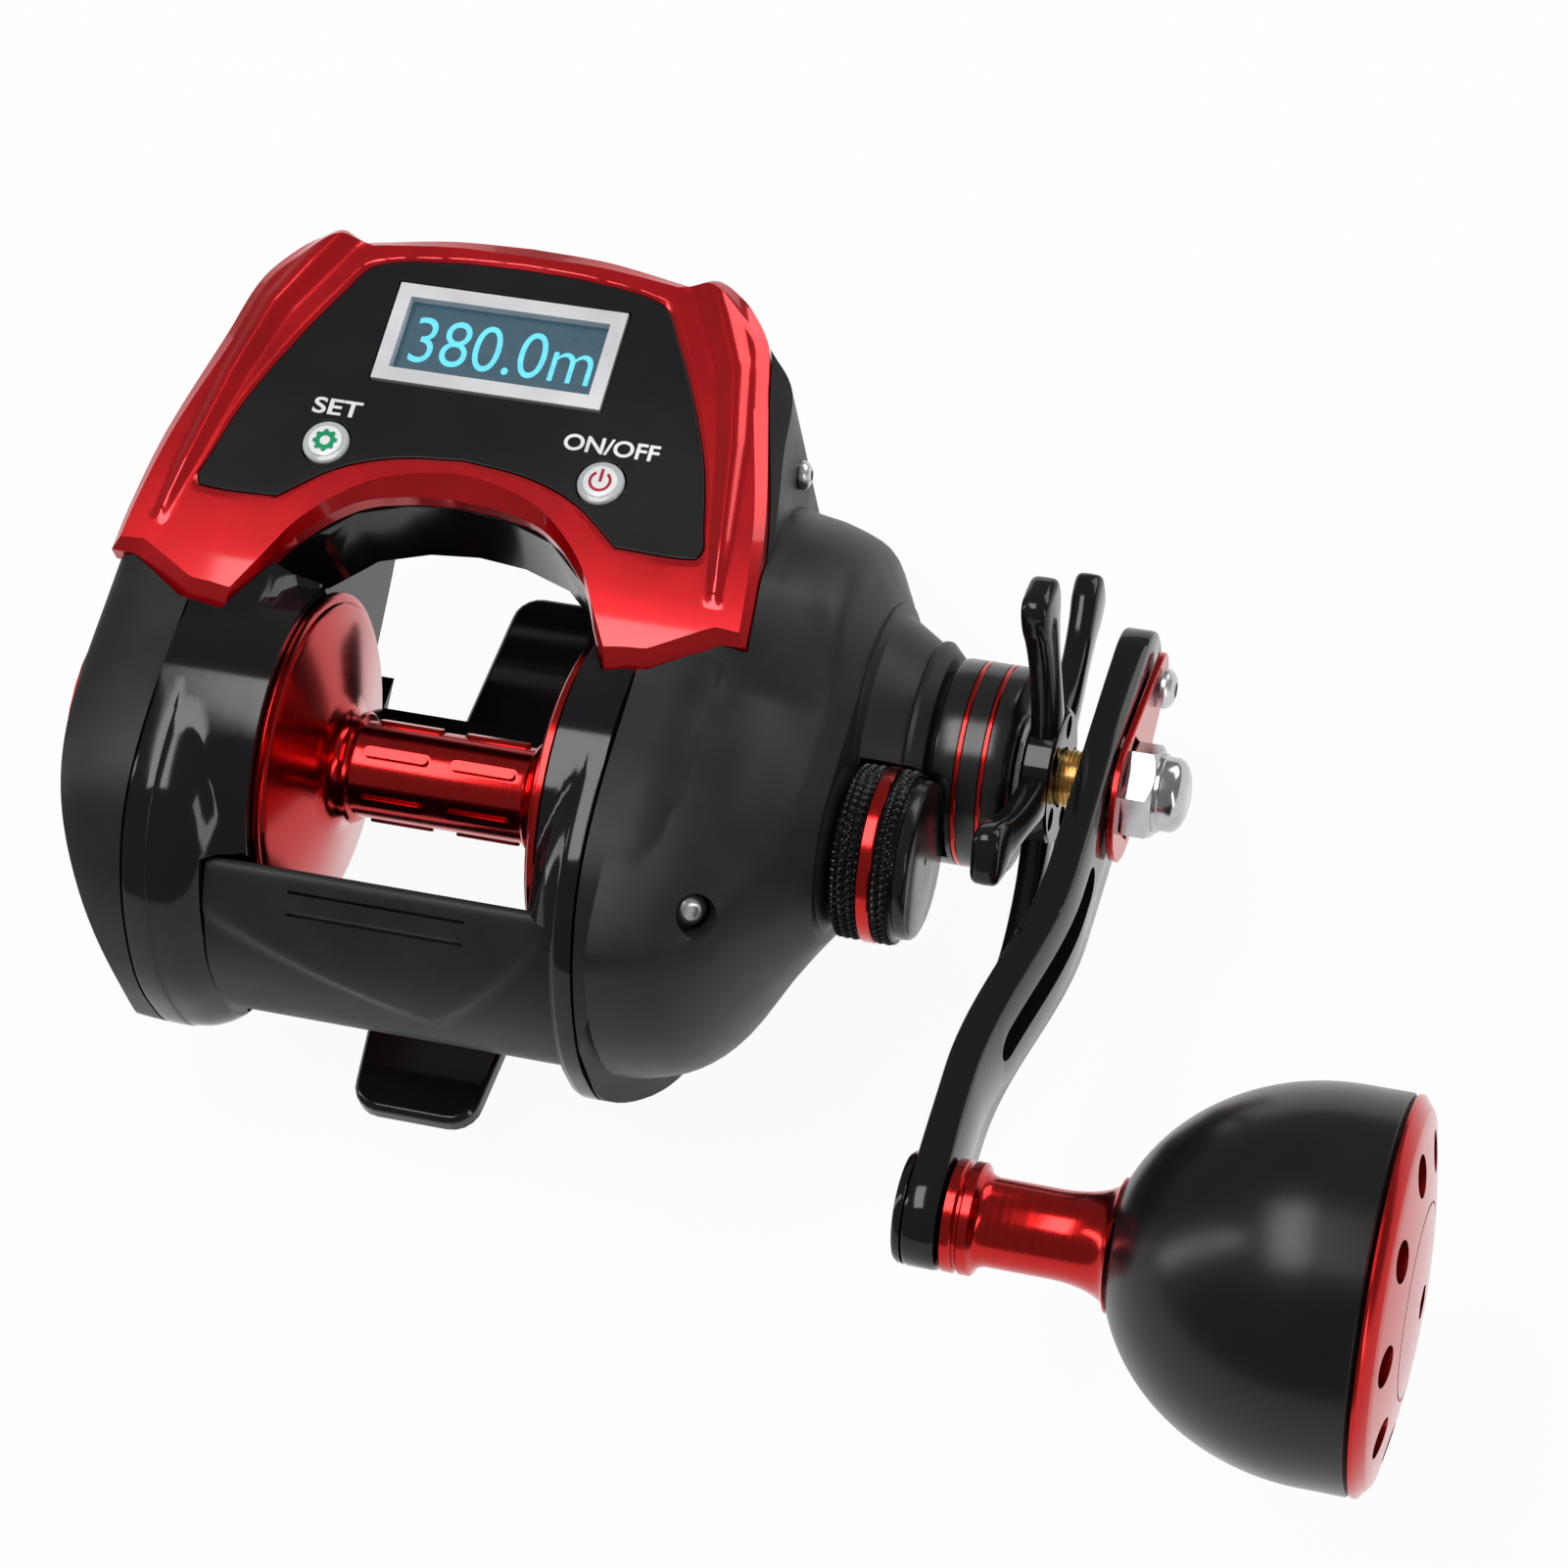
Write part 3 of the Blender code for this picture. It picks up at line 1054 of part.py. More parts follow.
def make_counter_sensor():
    """Magnet in the spool's right flange that the line counter senses."""
    hub_in = SPOOL_HALF_WIDTH - SPOOL_DISH - SPOOL_RIM
    slope = (SPOOL_RADIUS - SPOOL_RIM - SPOOL_HUB_RADIUS + SPOOL_WEB)
    rise = SPOOL_HALF_WIDTH - hub_in - SPOOL_WEB
    magnet_reach = SENSOR_CIRCLE + SENSOR_MAGNET_RADIUS - SPOOL_HUB_RADIUS
    flange_face = hub_in + SPOOL_WEB + rise * magnet_reach / slope
    magnet_axis = axis_empty("sensor_magnet_axis", (0, -SENSOR_CIRCLE, 0), SPOOL_CENTRE)
    left = flange_face + GAP
    rod("sensor_magnet", left, left + SENSOR_MAGNET_LENGTH, SENSOR_MAGNET_RADIUS, magnet_axis, STEEL)


def make_gears():
    """Pinion and drive gear in mesh, and the pair that turns the worm shaft."""
    drive_angle = DRIVE_AXIS_ANGLE
    pinion_end = PINION_FACE + PINION_TOOTH_LENGTH
    pinion_outline = gear_outline(PINION_TEETH, GEAR_MODULE, drive_angle)
    bore = SPOOL_SHAFT_RADIUS + PINION_BORE_CLEARANCE
    pinion = extruded("pinion", [pinion_outline, circle(bore, FINE_STEPS)], PINION_FACE, pinion_end,
                      SPOOL_CENTRE, BRASS)
    groove_end = pinion_end + PINION_COLLAR_WIDTH + PINION_GROOVE_WIDTH
    collar_profile = [
        (pinion_end - GAP, bore), (pinion_end - GAP, PINION_COLLAR_RADIUS),
        (pinion_end + PINION_COLLAR_WIDTH, PINION_COLLAR_RADIUS),
        (pinion_end + PINION_COLLAR_WIDTH, PINION_GROOVE_RADIUS), (groove_end, PINION_GROOVE_RADIUS),
        (groove_end, PINION_COLLAR_RADIUS), (groove_end + PINION_COLLAR_WIDTH, PINION_COLLAR_RADIUS),
        (groove_end + PINION_COLLAR_WIDTH, bore),
    ]
    combine(pinion, turned("pinion_collars", collar_profile, SPOOL_CENTRE, None, FINE_STEPS, ring=True),
            "UNION")
    gear_pitch = math.tau / DRIVE_GEAR_TEETH
    facing = drive_angle + math.pi + gear_pitch / 2
    gear = gear_outline(DRIVE_GEAR_TEETH, GEAR_MODULE, facing)
    gear_end = DRIVE_GEAR_FACE + DRIVE_GEAR_WIDTH
    drive_bore = circle(DRIVE_SHAFT_RADIUS + GAP, FINE_STEPS)
    extruded("drive_gear", [gear, drive_bore], DRIVE_GEAR_FACE, gear_end, DRIVE_CENTRE, BRASS)
    level_end = LEVELWIND_GEAR_FACE + LEVELWIND_GEAR_WIDTH
    level_gear = gear_outline(LEVELWIND_DRIVE_TEETH, LEVELWIND_MODULE, WORM_AXIS_ANGLE)
    extruded("levelwind_gear", [level_gear, drive_bore], LEVELWIND_GEAR_FACE, level_end, DRIVE_CENTRE, NYLON)
    worm_pitch = math.tau / WORM_GEAR_TEETH
    worm_gear = gear_outline(WORM_GEAR_TEETH, LEVELWIND_MODULE, WORM_AXIS_ANGLE + math.pi + worm_pitch / 2)
    worm_bore = circle(WORM_JOURNAL_RADIUS + GAP, FINE_STEPS)
    extruded("worm_gear", [worm_gear, worm_bore], LEVELWIND_GEAR_FACE, level_end, WORM_CENTRE, NYLON)
    make_yoke(pinion_end)


def make_yoke(pinion_end):
    """Fork that slides the pinion off the spool."""
    middle = pinion_end + PINION_COLLAR_WIDTH + PINION_GROOVE_WIDTH / 2
    low = middle - YOKE_THICKNESS / 2
    outline = [Vector((-YOKE_HALF_LENGTH, -YOKE_HALF_HEIGHT)), Vector((YOKE_HALF_LENGTH, -YOKE_HALF_HEIGHT)),
               Vector((YOKE_HALF_LENGTH, YOKE_HALF_HEIGHT)), Vector((-YOKE_HALF_LENGTH, YOKE_HALF_HEIGHT))]
    limit = PINION_CHAMBER_RADIUS - GAP * 2
    outline = [point.normalized() * limit if point.length > limit else point for point in outline]
    slot = PINION_GROOVE_RADIUS + GAP
    fork = arc((0, 0), slot, math.pi, 0, 8)
    left, right = outline[0], outline[1]
    profile = [Vector((-slot, left.y)), left, outline[3], outline[2], right, Vector((slot, right.y))]
    extruded("clutch_yoke", [profile + list(reversed(fork))], low, low + YOKE_THICKNESS, SPOOL_CENTRE, NYLON)


def make_drive():
    """Drive shaft with the drag stack, the one-way clutch and the collar outside the cone."""
    shaft_profile = [(DRIVE_SHAFT_LEFT, 0), (DRIVE_SHAFT_LEFT, DRIVE_SHAFT_RADIUS),
                     (DRIVE_SHAFT_SHOULDER, DRIVE_SHAFT_RADIUS),
                     (DRIVE_SHAFT_SHOULDER, DRIVE_SHAFT_NECK_RADIUS),
                     (DRIVE_SHAFT_RIGHT, DRIVE_SHAFT_NECK_RADIUS), (DRIVE_SHAFT_RIGHT, 0)]
    turned("drive_shaft", shaft_profile, DRIVE_CENTRE, BRASS, FINE_STEPS)
    bore = DRIVE_SHAFT_RADIUS + GAP
    washer = DRIVE_GEAR_FACE + DRIVE_GEAR_WIDTH + GAP
    plate = washer + DRAG_WASHER_THICKNESS + GAP
    flange = plate + PRESSURE_PLATE_THICKNESS + GAP
    tube("drag_washer", washer, washer + DRAG_WASHER_THICKNESS, bore, DRAG_WASHER_RADIUS, DRIVE_CENTRE,
         CARBON)
    tube("pressure_plate", plate, plate + PRESSURE_PLATE_THICKNESS, bore, PRESSURE_PLATE_RADIUS,
         DRIVE_CENTRE, STEEL)
    collar_end = COLLAR_FACE + COLLAR_LENGTH
    sleeve_profile = [(flange, bore), (flange, CLUTCH_SLEEVE_FLANGE_RADIUS),
                      (flange + CLUTCH_SLEEVE_FLANGE, CLUTCH_SLEEVE_FLANGE_RADIUS),
                      (flange + CLUTCH_SLEEVE_FLANGE, CLUTCH_SLEEVE_RADIUS),
                      (collar_end, CLUTCH_SLEEVE_RADIUS),
                      (collar_end, bore)]
    turned("clutch_sleeve", sleeve_profile, DRIVE_CENTRE, STEEL, FINE_STEPS, ring=True)
    tube("one_way_bearing", ONE_WAY_FACE, ONE_WAY_FACE + ONE_WAY_WIDTH, CLUTCH_SLEEVE_RADIUS + GAP,
         ONE_WAY_RADIUS,
         DRIVE_CENTRE, STEEL, FINE_STEPS)
    chamfered = COLLAR_RADIUS - COLLAR_CHAMFER
    collar_profile = [(COLLAR_FACE, COLLAR_BORE_RADIUS), (COLLAR_FACE, chamfered),
                      (COLLAR_FACE + COLLAR_CHAMFER, COLLAR_RADIUS),
                      (collar_end - COLLAR_CHAMFER, COLLAR_RADIUS),
                      (collar_end, chamfered), (collar_end, COLLAR_BORE_RADIUS)]
    collar = turned("drive_collar", collar_profile, DRIVE_CENTRE, METAL_BLACK, TURN_STEPS, ring=True)
    cut(collar, tension_knob_room("collar_knob_room", TENSION_PAD_RADIUS))
    washer_left = collar_end + GAP
    washer_right = washer_left + SPRING_WASHER_THICKNESS
    tube("spring_washer", washer_left, washer_right, bore, SPRING_WASHER_RADIUS, DRIVE_CENTRE, STEEL,
         FINE_STEPS)
    return washer_right + GAP


def star_arm(name, direction, face):
    """One arm: flat sections from the hub outwards, leaning to the cover, with a wider pad at the end."""
    along = Vector((0, math.cos(direction), math.sin(direction)))
    across = Vector((1, 0, 0)).cross(along)
    corner = COLLAR_CHAMFER
    rings = []
    for reach_share, width_share, lean_share in STAR_ARM_SHARES:
        middle = along * (STAR_RADIUS * reach_share) + Vector((face - STAR_DISH * lean_share, 0, 0))
        half = STAR_PAD_HALF_WIDTH * width_share
        section = ((0, corner - half), (corner, -half), (STAR_THICKNESS - corner, -half),
                   (STAR_THICKNESS, corner - half), (STAR_THICKNESS, half - corner),
                   (STAR_THICKNESS - corner, half), (corner, half), (0, half - corner))
        rings.append([middle + Vector((height, 0, 0)) + across * side for height, side in section])
    return loft(name, rings, DRIVE_CENTRE, None)


def make_star(face):
    """Star drag: a hub with five windows and five arms."""
    star = tube("star_drag", face, face + STAR_THICKNESS, STAR_BORE_RADIUS, STAR_HUB_RADIUS, DRIVE_CENTRE,
                GLOSS_BLACK)
    pitch = math.tau / STAR_ARM_COUNT
    for index in range(STAR_ARM_COUNT):
        combine(star, star_arm(f"star_arm_{index + 1}", STAR_REST_ANGLE + index * pitch, face), "UNION")
    for index in range(STAR_ARM_COUNT):
        angle = STAR_REST_ANGLE + (index + 0.5) * pitch
        place = Vector((0, math.cos(angle), math.sin(angle))) * STAR_WINDOW_CIRCLE
        centre = axis_empty(f"star_window_axis_{index + 1}", place, DRIVE_CENTRE)
        window = rod(f"star_window_{index + 1}", face - CUT_OVERRUN, face + STAR_THICKNESS + CUT_OVERRUN,
                     STAR_WINDOW_RADIUS, centre, None, SMALL_STEPS)
        cut(star, window)


def arm_point(along, side, height):
    return ARM_DIRECTION * along + ARM_SIDE * side + Vector((height, 0, 0))


def make_arm():
    """Handle arm: rounded ends, bent towards the reel between hub and knob, with a long slot."""
    width = HANDLE_HUB_HALF_WIDTH
    tip = HANDLE_TIP_HALF_WIDTH
    outline = arc((HANDLE_LENGTH, 0), tip, -math.pi / 2, math.pi / 2, 12)
    outline += [Vector((HANDLE_BEND_END, (width + tip) / 2)), Vector((HANDLE_BEND_START, width))]
    outline += arc((-HANDLE_TAIL + width / 2, 0), width, math.pi / 2, 3 * math.pi / 2, 8)
    outline += [Vector((HANDLE_BEND_START, -width)), Vector((HANDLE_BEND_END, -(width + tip) / 2))]
    slot = HANDLE_SLOT_HALF_WIDTH
    slot_outline = arc((HANDLE_SLOT_END, 0), slot, -math.pi / 2, math.pi / 2, 6)
    slot_outline += arc((HANDLE_SLOT_START, 0), slot, math.pi / 2, 3 * math.pi / 2, 6)
    bore = circle(DRIVE_SHAFT_NECK_RADIUS + GAP, FINE_STEPS)
    spindle_bore = circle(SPINDLE_RADIUS + GAP, FINE_STEPS, (HANDLE_LENGTH, 0))
    screw_bore = circle(LOCK_SCREW_SHANK_RADIUS + GAP, 12, (-LOCK_SCREW_PLACE, 0))
    holes = [slot_outline, bore, spindle_bore, screw_bore]
    arm = extruded("handle_arm", [outline] + holes, 0, HANDLE_THICKNESS, DRIVE_CENTRE, GLOSS_BLACK,
                   along_x=False)
    shape = bmesh.new()
    shape.from_mesh(arm.data)
    bend_length = HANDLE_BEND_END - HANDLE_BEND_START
    for step in range(HANDLE_BEND_STEPS + 1):
        bend = HANDLE_BEND_START + bend_length * step / HANDLE_BEND_STEPS
        bmesh.ops.bisect_plane(shape, geom=shape.verts[:] + shape.edges[:] + shape.faces[:],
                               dist=MERGE_DISTANCE,
                               plane_co=(bend, 0, 0), plane_no=(1, 0, 0))
    for vertex in shape.verts:
        along, side, height = vertex.co
        share = min(max((along - HANDLE_BEND_START) / bend_length, 0), 1)
        fall = HANDLE_OFFSET * (1 - math.cos(math.pi * share)) / 2
        vertex.co = arm_point(along, side, HANDLE_HUB_PLACE + height - fall)
    face_out(shape)
    shape.to_mesh(arm.data)
    shape.free()
    soften(arm, HANDLE_EDGE, 1, math.radians(60))


def make_handle_hardware():
    """Cap nut on the drive shaft, and the plate and screw that keep it from turning."""
    face = HANDLE_HUB_PLACE + HANDLE_THICKNESS + GAP
    corner_radius = NUT_FLATS_RADIUS / math.cos(math.pi / 6)
    hexagon = [point.copy() for point in circle(corner_radius, 6)]
    nut_bore = circle(DRIVE_SHAFT_NECK_RADIUS + GAP, FINE_STEPS)
    nut = extruded("handle_nut", [hexagon, nut_bore], face, face + NUT_HEX_LENGTH, DRIVE_CENTRE, CHROME)
    dome_start = face + NUT_HEX_LENGTH - GAP
    dome_end = dome_start + NUT_DOME_LENGTH
    inner_end = DRIVE_SHAFT_RIGHT + GAP
    bore = DRIVE_SHAFT_NECK_RADIUS + GAP
    dome_profile = [(dome_start, 0), (dome_start, NUT_DOME_RADIUS)]
    for step in range(NUT_DOME_STEPS + 1):
        turn = math.pi / 2 * step / NUT_DOME_STEPS
        along = dome_end - NUT_DOME_RADIUS / 2 + math.sin(turn) * NUT_DOME_RADIUS / 2
        dome_profile.append((along, NUT_DOME_RADIUS / 2 + math.cos(turn) * NUT_DOME_RADIUS / 2))
    dome_profile.append((dome_end, 0))
    dome = turned("handle_nut_dome", dome_profile, DRIVE_CENTRE, None, FINE_STEPS)
    combine(nut, dome, "UNION")
    cut(nut, rod("handle_nut_bore", face - CUT_OVERRUN, inner_end, bore, DRIVE_CENTRE, None))
    plate_outline = arc((PLATE_NOSE - PLATE_HALF_WIDTH, 0), PLATE_HALF_WIDTH, -math.pi / 2, math.pi / 2, 8)
    plate_outline += arc((-PLATE_TAIL + PLATE_TAIL_HALF_WIDTH, 0), PLATE_TAIL_HALF_WIDTH, math.pi / 2,
                         3 * math.pi / 2, 8)
    nut_hole = circle(corner_radius + GAP * 2, 6)
    screw_hole = circle(LOCK_SCREW_SHANK_RADIUS + GAP, 12, (-LOCK_SCREW_PLACE, 0))
    plate = extruded("lock_plate", [plate_outline, nut_hole, screw_hole], face, face + PLATE_THICKNESS,
                     DRIVE_CENTRE, METAL_RED, along_x=False)
    for vertex in plate.data.vertices:
        along, side, height = vertex.co
        vertex.co = arm_point(along, side, height)
    screw_axis = axis_empty("lock_screw_axis", ARM_DIRECTION * -LOCK_SCREW_PLACE, DRIVE_CENTRE)
    seat = face + PLATE_THICKNESS + GAP
    screw_profile = [(seat - LOCK_SCREW_SHANK_LENGTH, 0),
                     (seat - LOCK_SCREW_SHANK_LENGTH, LOCK_SCREW_SHANK_RADIUS),
                     (seat, LOCK_SCREW_SHANK_RADIUS), (seat, LOCK_SCREW_HEAD_RADIUS),
                     (seat + LOCK_SCREW_HEAD_HEIGHT / 2, LOCK_SCREW_HEAD_RADIUS),
                     (seat + LOCK_SCREW_HEAD_HEIGHT, LOCK_SCREW_HEAD_RADIUS / 2),
                     (seat + LOCK_SCREW_HEAD_HEIGHT, 0)]
    turned("lock_screw", screw_profile, screw_axis, STEEL, FINE_STEPS)


def make_knob():
    """Power knob: red stem and cap, black ball, turning on a spindle through the arm's end."""
    arm_low = HANDLE_HUB_PLACE - HANDLE_OFFSET
    arm_high = arm_low + HANDLE_THICKNESS
    head = arm_low - GAP - SPINDLE_HEAD_HEIGHT
    spindle_profile = [(head, 0), (head, SPINDLE_HEAD_RADIUS), (arm_low - GAP, SPINDLE_HEAD_RADIUS),
                       (arm_low - GAP, SPINDLE_RADIUS), (SPINDLE_END, SPINDLE_RADIUS), (SPINDLE_END, 0)]
    turned("knob_spindle", spindle_profile, KNOB_CENTRE, STEEL, FINE_STEPS)
    bore = SPINDLE_RADIUS + GAP
    first = arm_high + GAP
    second = first + STEM_RING_WIDTH + STEM_RING_GROOVE
    shoulder = second + STEM_RING_WIDTH
    groove_radius = STEM_RING_RADIUS - STEM_RING_GROOVE
    stem_profile = [
        (first, bore), (first, STEM_RING_RADIUS), (first + STEM_RING_WIDTH, STEM_RING_RADIUS),
        (first + STEM_RING_WIDTH, groove_radius), (second, groove_radius), (second, STEM_RING_RADIUS),
        (shoulder, STEM_RING_RADIUS), (shoulder + STEM_RING_RADIUS - STEM_RADIUS, STEM_RADIUS),
    ]
    flare_length = STEM_END - STEM_STRAIGHT_END
    for step in range(STEM_FLARE_STEPS + 1):
        turn = math.pi / 2 * step / STEM_FLARE_STEPS
        rise = (STEM_FLARE_RADIUS - STEM_RADIUS) * (1 - math.cos(turn))
        stem_profile.append((STEM_STRAIGHT_END + flare_length * math.sin(turn), STEM_RADIUS + rise))
    stem_profile.append((STEM_END, bore))
    turned("knob_stem", stem_profile, KNOB_CENTRE, METAL_RED, FINE_STEPS, ring=True)
    start = STEM_END + GAP
    ball = [(start, KNOB_BORE_RADIUS), (start, KNOB_START_RADIUS)]
    length = KNOB_WIDEST - start
    first_turn = math.asin(KNOB_START_RADIUS / KNOB_RADIUS)
    for step in range(1, KNOB_BALL_STEPS + 1):
        turn = first_turn + (math.pi / 2 - first_turn) * step / KNOB_BALL_STEPS
        ball.append((KNOB_WIDEST - length * math.cos(turn) / math.cos(first_turn),
                     KNOB_RADIUS * math.sin(turn)))
    ball += [(KNOB_RIM, KNOB_RADIUS), (KNOB_RIM, KNOB_CAVITY_RADIUS),
             (KNOB_RIM - KNOB_CAVITY_DEPTH, KNOB_CAVITY_RADIUS),
             (KNOB_RIM - KNOB_CAVITY_DEPTH, KNOB_BORE_RADIUS)]
    turned("knob_body", ball, KNOB_CENTRE, GLOSS_BLACK, TURN_STEPS, ring=True)
    bearing = KNOB_RIM - KNOB_CAVITY_DEPTH - GAP - KNOB_BEARING_WIDTH
    tube("knob_bearing", bearing, bearing + KNOB_BEARING_WIDTH, SPINDLE_RADIUS + BEARING_BORE_CLEARANCE,
         KNOB_BEARING_RADIUS, KNOB_CENTRE, STEEL, FINE_STEPS)
    make_knob_cap()


def make_knob_cap():
    """Red end cap with a chamfer, nine holes and a domed middle."""
    face = KNOB_RIM + GAP
    rim_end = face + CAP_RIM_LENGTH
    shelf = rim_end + CAP_CHAMFER
    dome_edge = CAP_HOLE_CIRCLE - CAP_HOLE_RADIUS - GAP * 2
    profile = [(face, 0), (face, KNOB_RADIUS), (rim_end, KNOB_RADIUS), (shelf, CAP_FACE_RADIUS),
               (shelf, dome_edge)]
    for step in range(1, CAP_DOME_STEPS + 1):
        share = 1 - step / CAP_DOME_STEPS
        profile.append((shelf + CAP_DOME_RISE * (1 - share ** 2), dome_edge * share))
    cap = turned("knob_cap", profile, KNOB_CENTRE, METAL_RED)
    for index in range(CAP_HOLE_COUNT):
        angle = math.tau * (index + 0.5) / CAP_HOLE_COUNT
        place = Vector((0, math.cos(angle), math.sin(angle))) * CAP_HOLE_CIRCLE
        centre = axis_empty(f"cap_hole_axis_{index + 1}", place, KNOB_CENTRE)
        cut(cap, rod(f"cap_hole_{index + 1}", shelf - CAP_WALL, shelf + CAP_DOME_RISE, CAP_HOLE_RADIUS,
                     centre, None, SMALL_STEPS))
    tip = shelf + CAP_DOME_RISE
    recess = extruded("cap_hex_recess", [circle(CAP_RECESS_RADIUS, 6)], tip - CAP_RECESS_DEPTH,
                      tip + CUT_OVERRUN,
                      KNOB_CENTRE, None)
    cut(cap, recess)


def make_tension_knob():
    """Knurled tension knob with a red band, and the friction pad on the shaft's end."""
    face = TENSION_KNOB_FACE
    end = face + TENSION_KNOB_LENGTH
    bore = TENSION_BOSS_RADIUS + GAP
    ceiling = end - TENSION_KNOB_END_WALL
    band_end = TENSION_BAND_PLACE + TENSION_BAND_WIDTH
    seat = TENSION_KNOB_RADIUS - TENSION_BAND_DEPTH
    profile = [
        (face, 0), (face, TENSION_KNOB_TIP_RADIUS), (face + COLLAR_CHAMFER, TENSION_KNOB_RADIUS),
        (TENSION_BAND_PLACE - GAP, TENSION_KNOB_RADIUS), (TENSION_BAND_PLACE - GAP, seat),
        (band_end + GAP, seat),
        (band_end + GAP, TENSION_KNOB_RADIUS), (end - TENSION_KNOB_CHAMFER * 2, TENSION_KNOB_RADIUS),
        (end - TENSION_KNOB_CHAMFER, TENSION_KNOB_TIP_RADIUS + COLLAR_CHAMFER),
        (end, TENSION_KNOB_TIP_RADIUS),
        (end, 0),
    ]
    knob = turned("tension_knob", profile, SPOOL_CENTRE, METAL_BLACK)
    cut(knob, rod("tension_knob_bore", face - CUT_OVERRUN, ceiling, bore, SPOOL_CENTRE, None))
    tube("tension_band", TENSION_BAND_PLACE, band_end, seat + GAP, TENSION_KNOB_RADIUS + TENSION_BAND_PROUD,
         SPOOL_CENTRE, METAL_RED)
    pad = SPOOL_SHAFT_RIGHT + GAP
    rod("tension_pad", pad, pad + TENSION_PAD_THICKNESS, TENSION_PAD_RADIUS, SPOOL_CENTRE, NYLON)


def make_level_wind():
    """Worm shaft and the line guide that it carries to and fro."""
    worm_end = LEVELWIND_GEAR_FACE + LEVELWIND_GEAR_WIDTH + GAP
    left = -GUIDE_BAY_HALF_WIDTH + GAP
    right = GUIDE_BAY_HALF_WIDTH - GAP
    profile = [(-GUIDE_BAY_HALF_WIDTH - CUT_OVERRUN + GAP * 3, 0),
               (-GUIDE_BAY_HALF_WIDTH - CUT_OVERRUN + GAP * 3, WORM_JOURNAL_RADIUS),
               (left, WORM_JOURNAL_RADIUS), (left, WORM_RADIUS), (right, WORM_RADIUS),
               (right, WORM_JOURNAL_RADIUS),
               (worm_end, WORM_JOURNAL_RADIUS), (worm_end, 0)]
    turned("worm_shaft", profile, WORM_CENTRE, STEEL, FINE_STEPS)
    low = GUIDE_REST - GUIDE_HALF_WIDTH
    high = GUIDE_REST + GUIDE_HALF_WIDTH
    neck = GUIDE_NECK_HALF_DEPTH
    outline = [Vector(corner) for corner in (
        (-GUIDE_REAR, -GUIDE_REAR), (-GUIDE_REAR, GUIDE_REAR / 2), (-neck, GUIDE_REAR), (-neck, GUIDE_RISE),
        (neck, GUIDE_RISE), (neck, GUIDE_REAR), (GUIDE_FRONT, GUIDE_REAR / 2), (GUIDE_FRONT, -GUIDE_DROP),
        (0, -GUIDE_DROP),
    )]
    worm_hole = circle(WORM_RADIUS + GAP, FINE_STEPS)
    rail_hole = circle(RAIL_RADIUS + GAP, SMALL_STEPS, (RAIL_FORWARD, -RAIL_DROP))
    guide = extruded("line_guide", [outline, worm_hole, rail_hole], low, high, WORM_CENTRE, MATTE_BLACK)
    eyelet_axis = axis_empty("eyelet_axis", (GUIDE_REST, 0, EYELET_RISE), WORM_CENTRE)
    eyelet_axis.rotation_euler = (0, 0, math.pi / 2)
    eyelet_hole = rod("eyelet_hole", -GUIDE_FRONT, GUIDE_FRONT, EYELET_RADIUS, eyelet_axis, None)
    cut(guide, eyelet_hole)
    half = neck + GAP
    seat = EYELET_RADIUS - GAP
    lip = EYELET_RADIUS + GAP
    profile = [(-half - EYELET_LIP, EYELET_BORE + GAP), (-half - EYELET_LIP, lip), (-half, lip),
               (-half, seat),
               (half, seat), (half, EYELET_BORE), (0, EYELET_BORE)]
    turned("guide_eyelet", profile, eyelet_axis, CERAMIC, FINE_STEPS, ring=True)


def make_trim():
    """Red trim over the display head: arch edge, ridged flanks and a window for the panel."""
    outline = trim_outline()
    layers = [(-TRIM_THICKNESS, outline), (-TRIM_DROP, outline), (0, grown(outline, -TRIM_CHAMFER))]
    trim = plan_slab("display_trim", layers, DISPLAY_CENTRE, TRIM_RED)
    panel = panel_outline()
    seat = plan_slab("trim_panel_seat", [(-PANEL_THICKNESS - PANEL_SINK - GAP, grown(panel, GAP)),
                                         (CUT_OVERRUN, grown(panel, GAP))], DISPLAY_CENTRE, None)
    inside = grown(panel, -PANEL_LEDGE)
    window = plan_slab("trim_window", [(-TRIM_THICKNESS - CUT_OVERRUN, inside), (0, inside)],
                       DISPLAY_CENTRE, None)
    for side in (-1, 1):
        ridge = ridge_bead(f"trim_ridge_{'left' if side < 0 else 'right'}", side)
        combine(trim, ridge, "UNION")
    cut(trim, seat, window)


def ridge_bead(name, side):
    """Raised bead along one flank of the trim."""
    rings = []
    points = [Vector((x * TRIM_HALF_WIDTH, y * (TRIM_FRONT if y > 0 else TRIM_REAR)))
              for x, y in RIDGE_SHARES]
    for index, (point, width) in enumerate(zip(points, RIDGE_WIDTH_SHARES)):
        ahead = points[min(index + 1, len(points) - 1)] - points[max(index - 1, 0)]
        across = Vector((ahead.y, -ahead.x)).normalized()
        ring = []
        for step in range(RIDGE_STEPS):
            turn = math.tau * (step + 0.5) / RIDGE_STEPS
            offset = across * math.cos(turn) * RIDGE_HALF_WIDTH * width
            ring.append(((point.x + offset.x) * side, point.y + offset.y,
                         math.sin(turn) * RIDGE_HEIGHT * width))
        rings.append(ring)
    return loft(name, rings, DISPLAY_CENTRE, None)


def rectangle(width, height, centre=(0, 0)):
    x, y = width / 2, height / 2
    corners = ((-x, -y), (x, -y), (x, y), (-x, y))
    return [Vector(centre) + Vector(corner) for corner in corners]


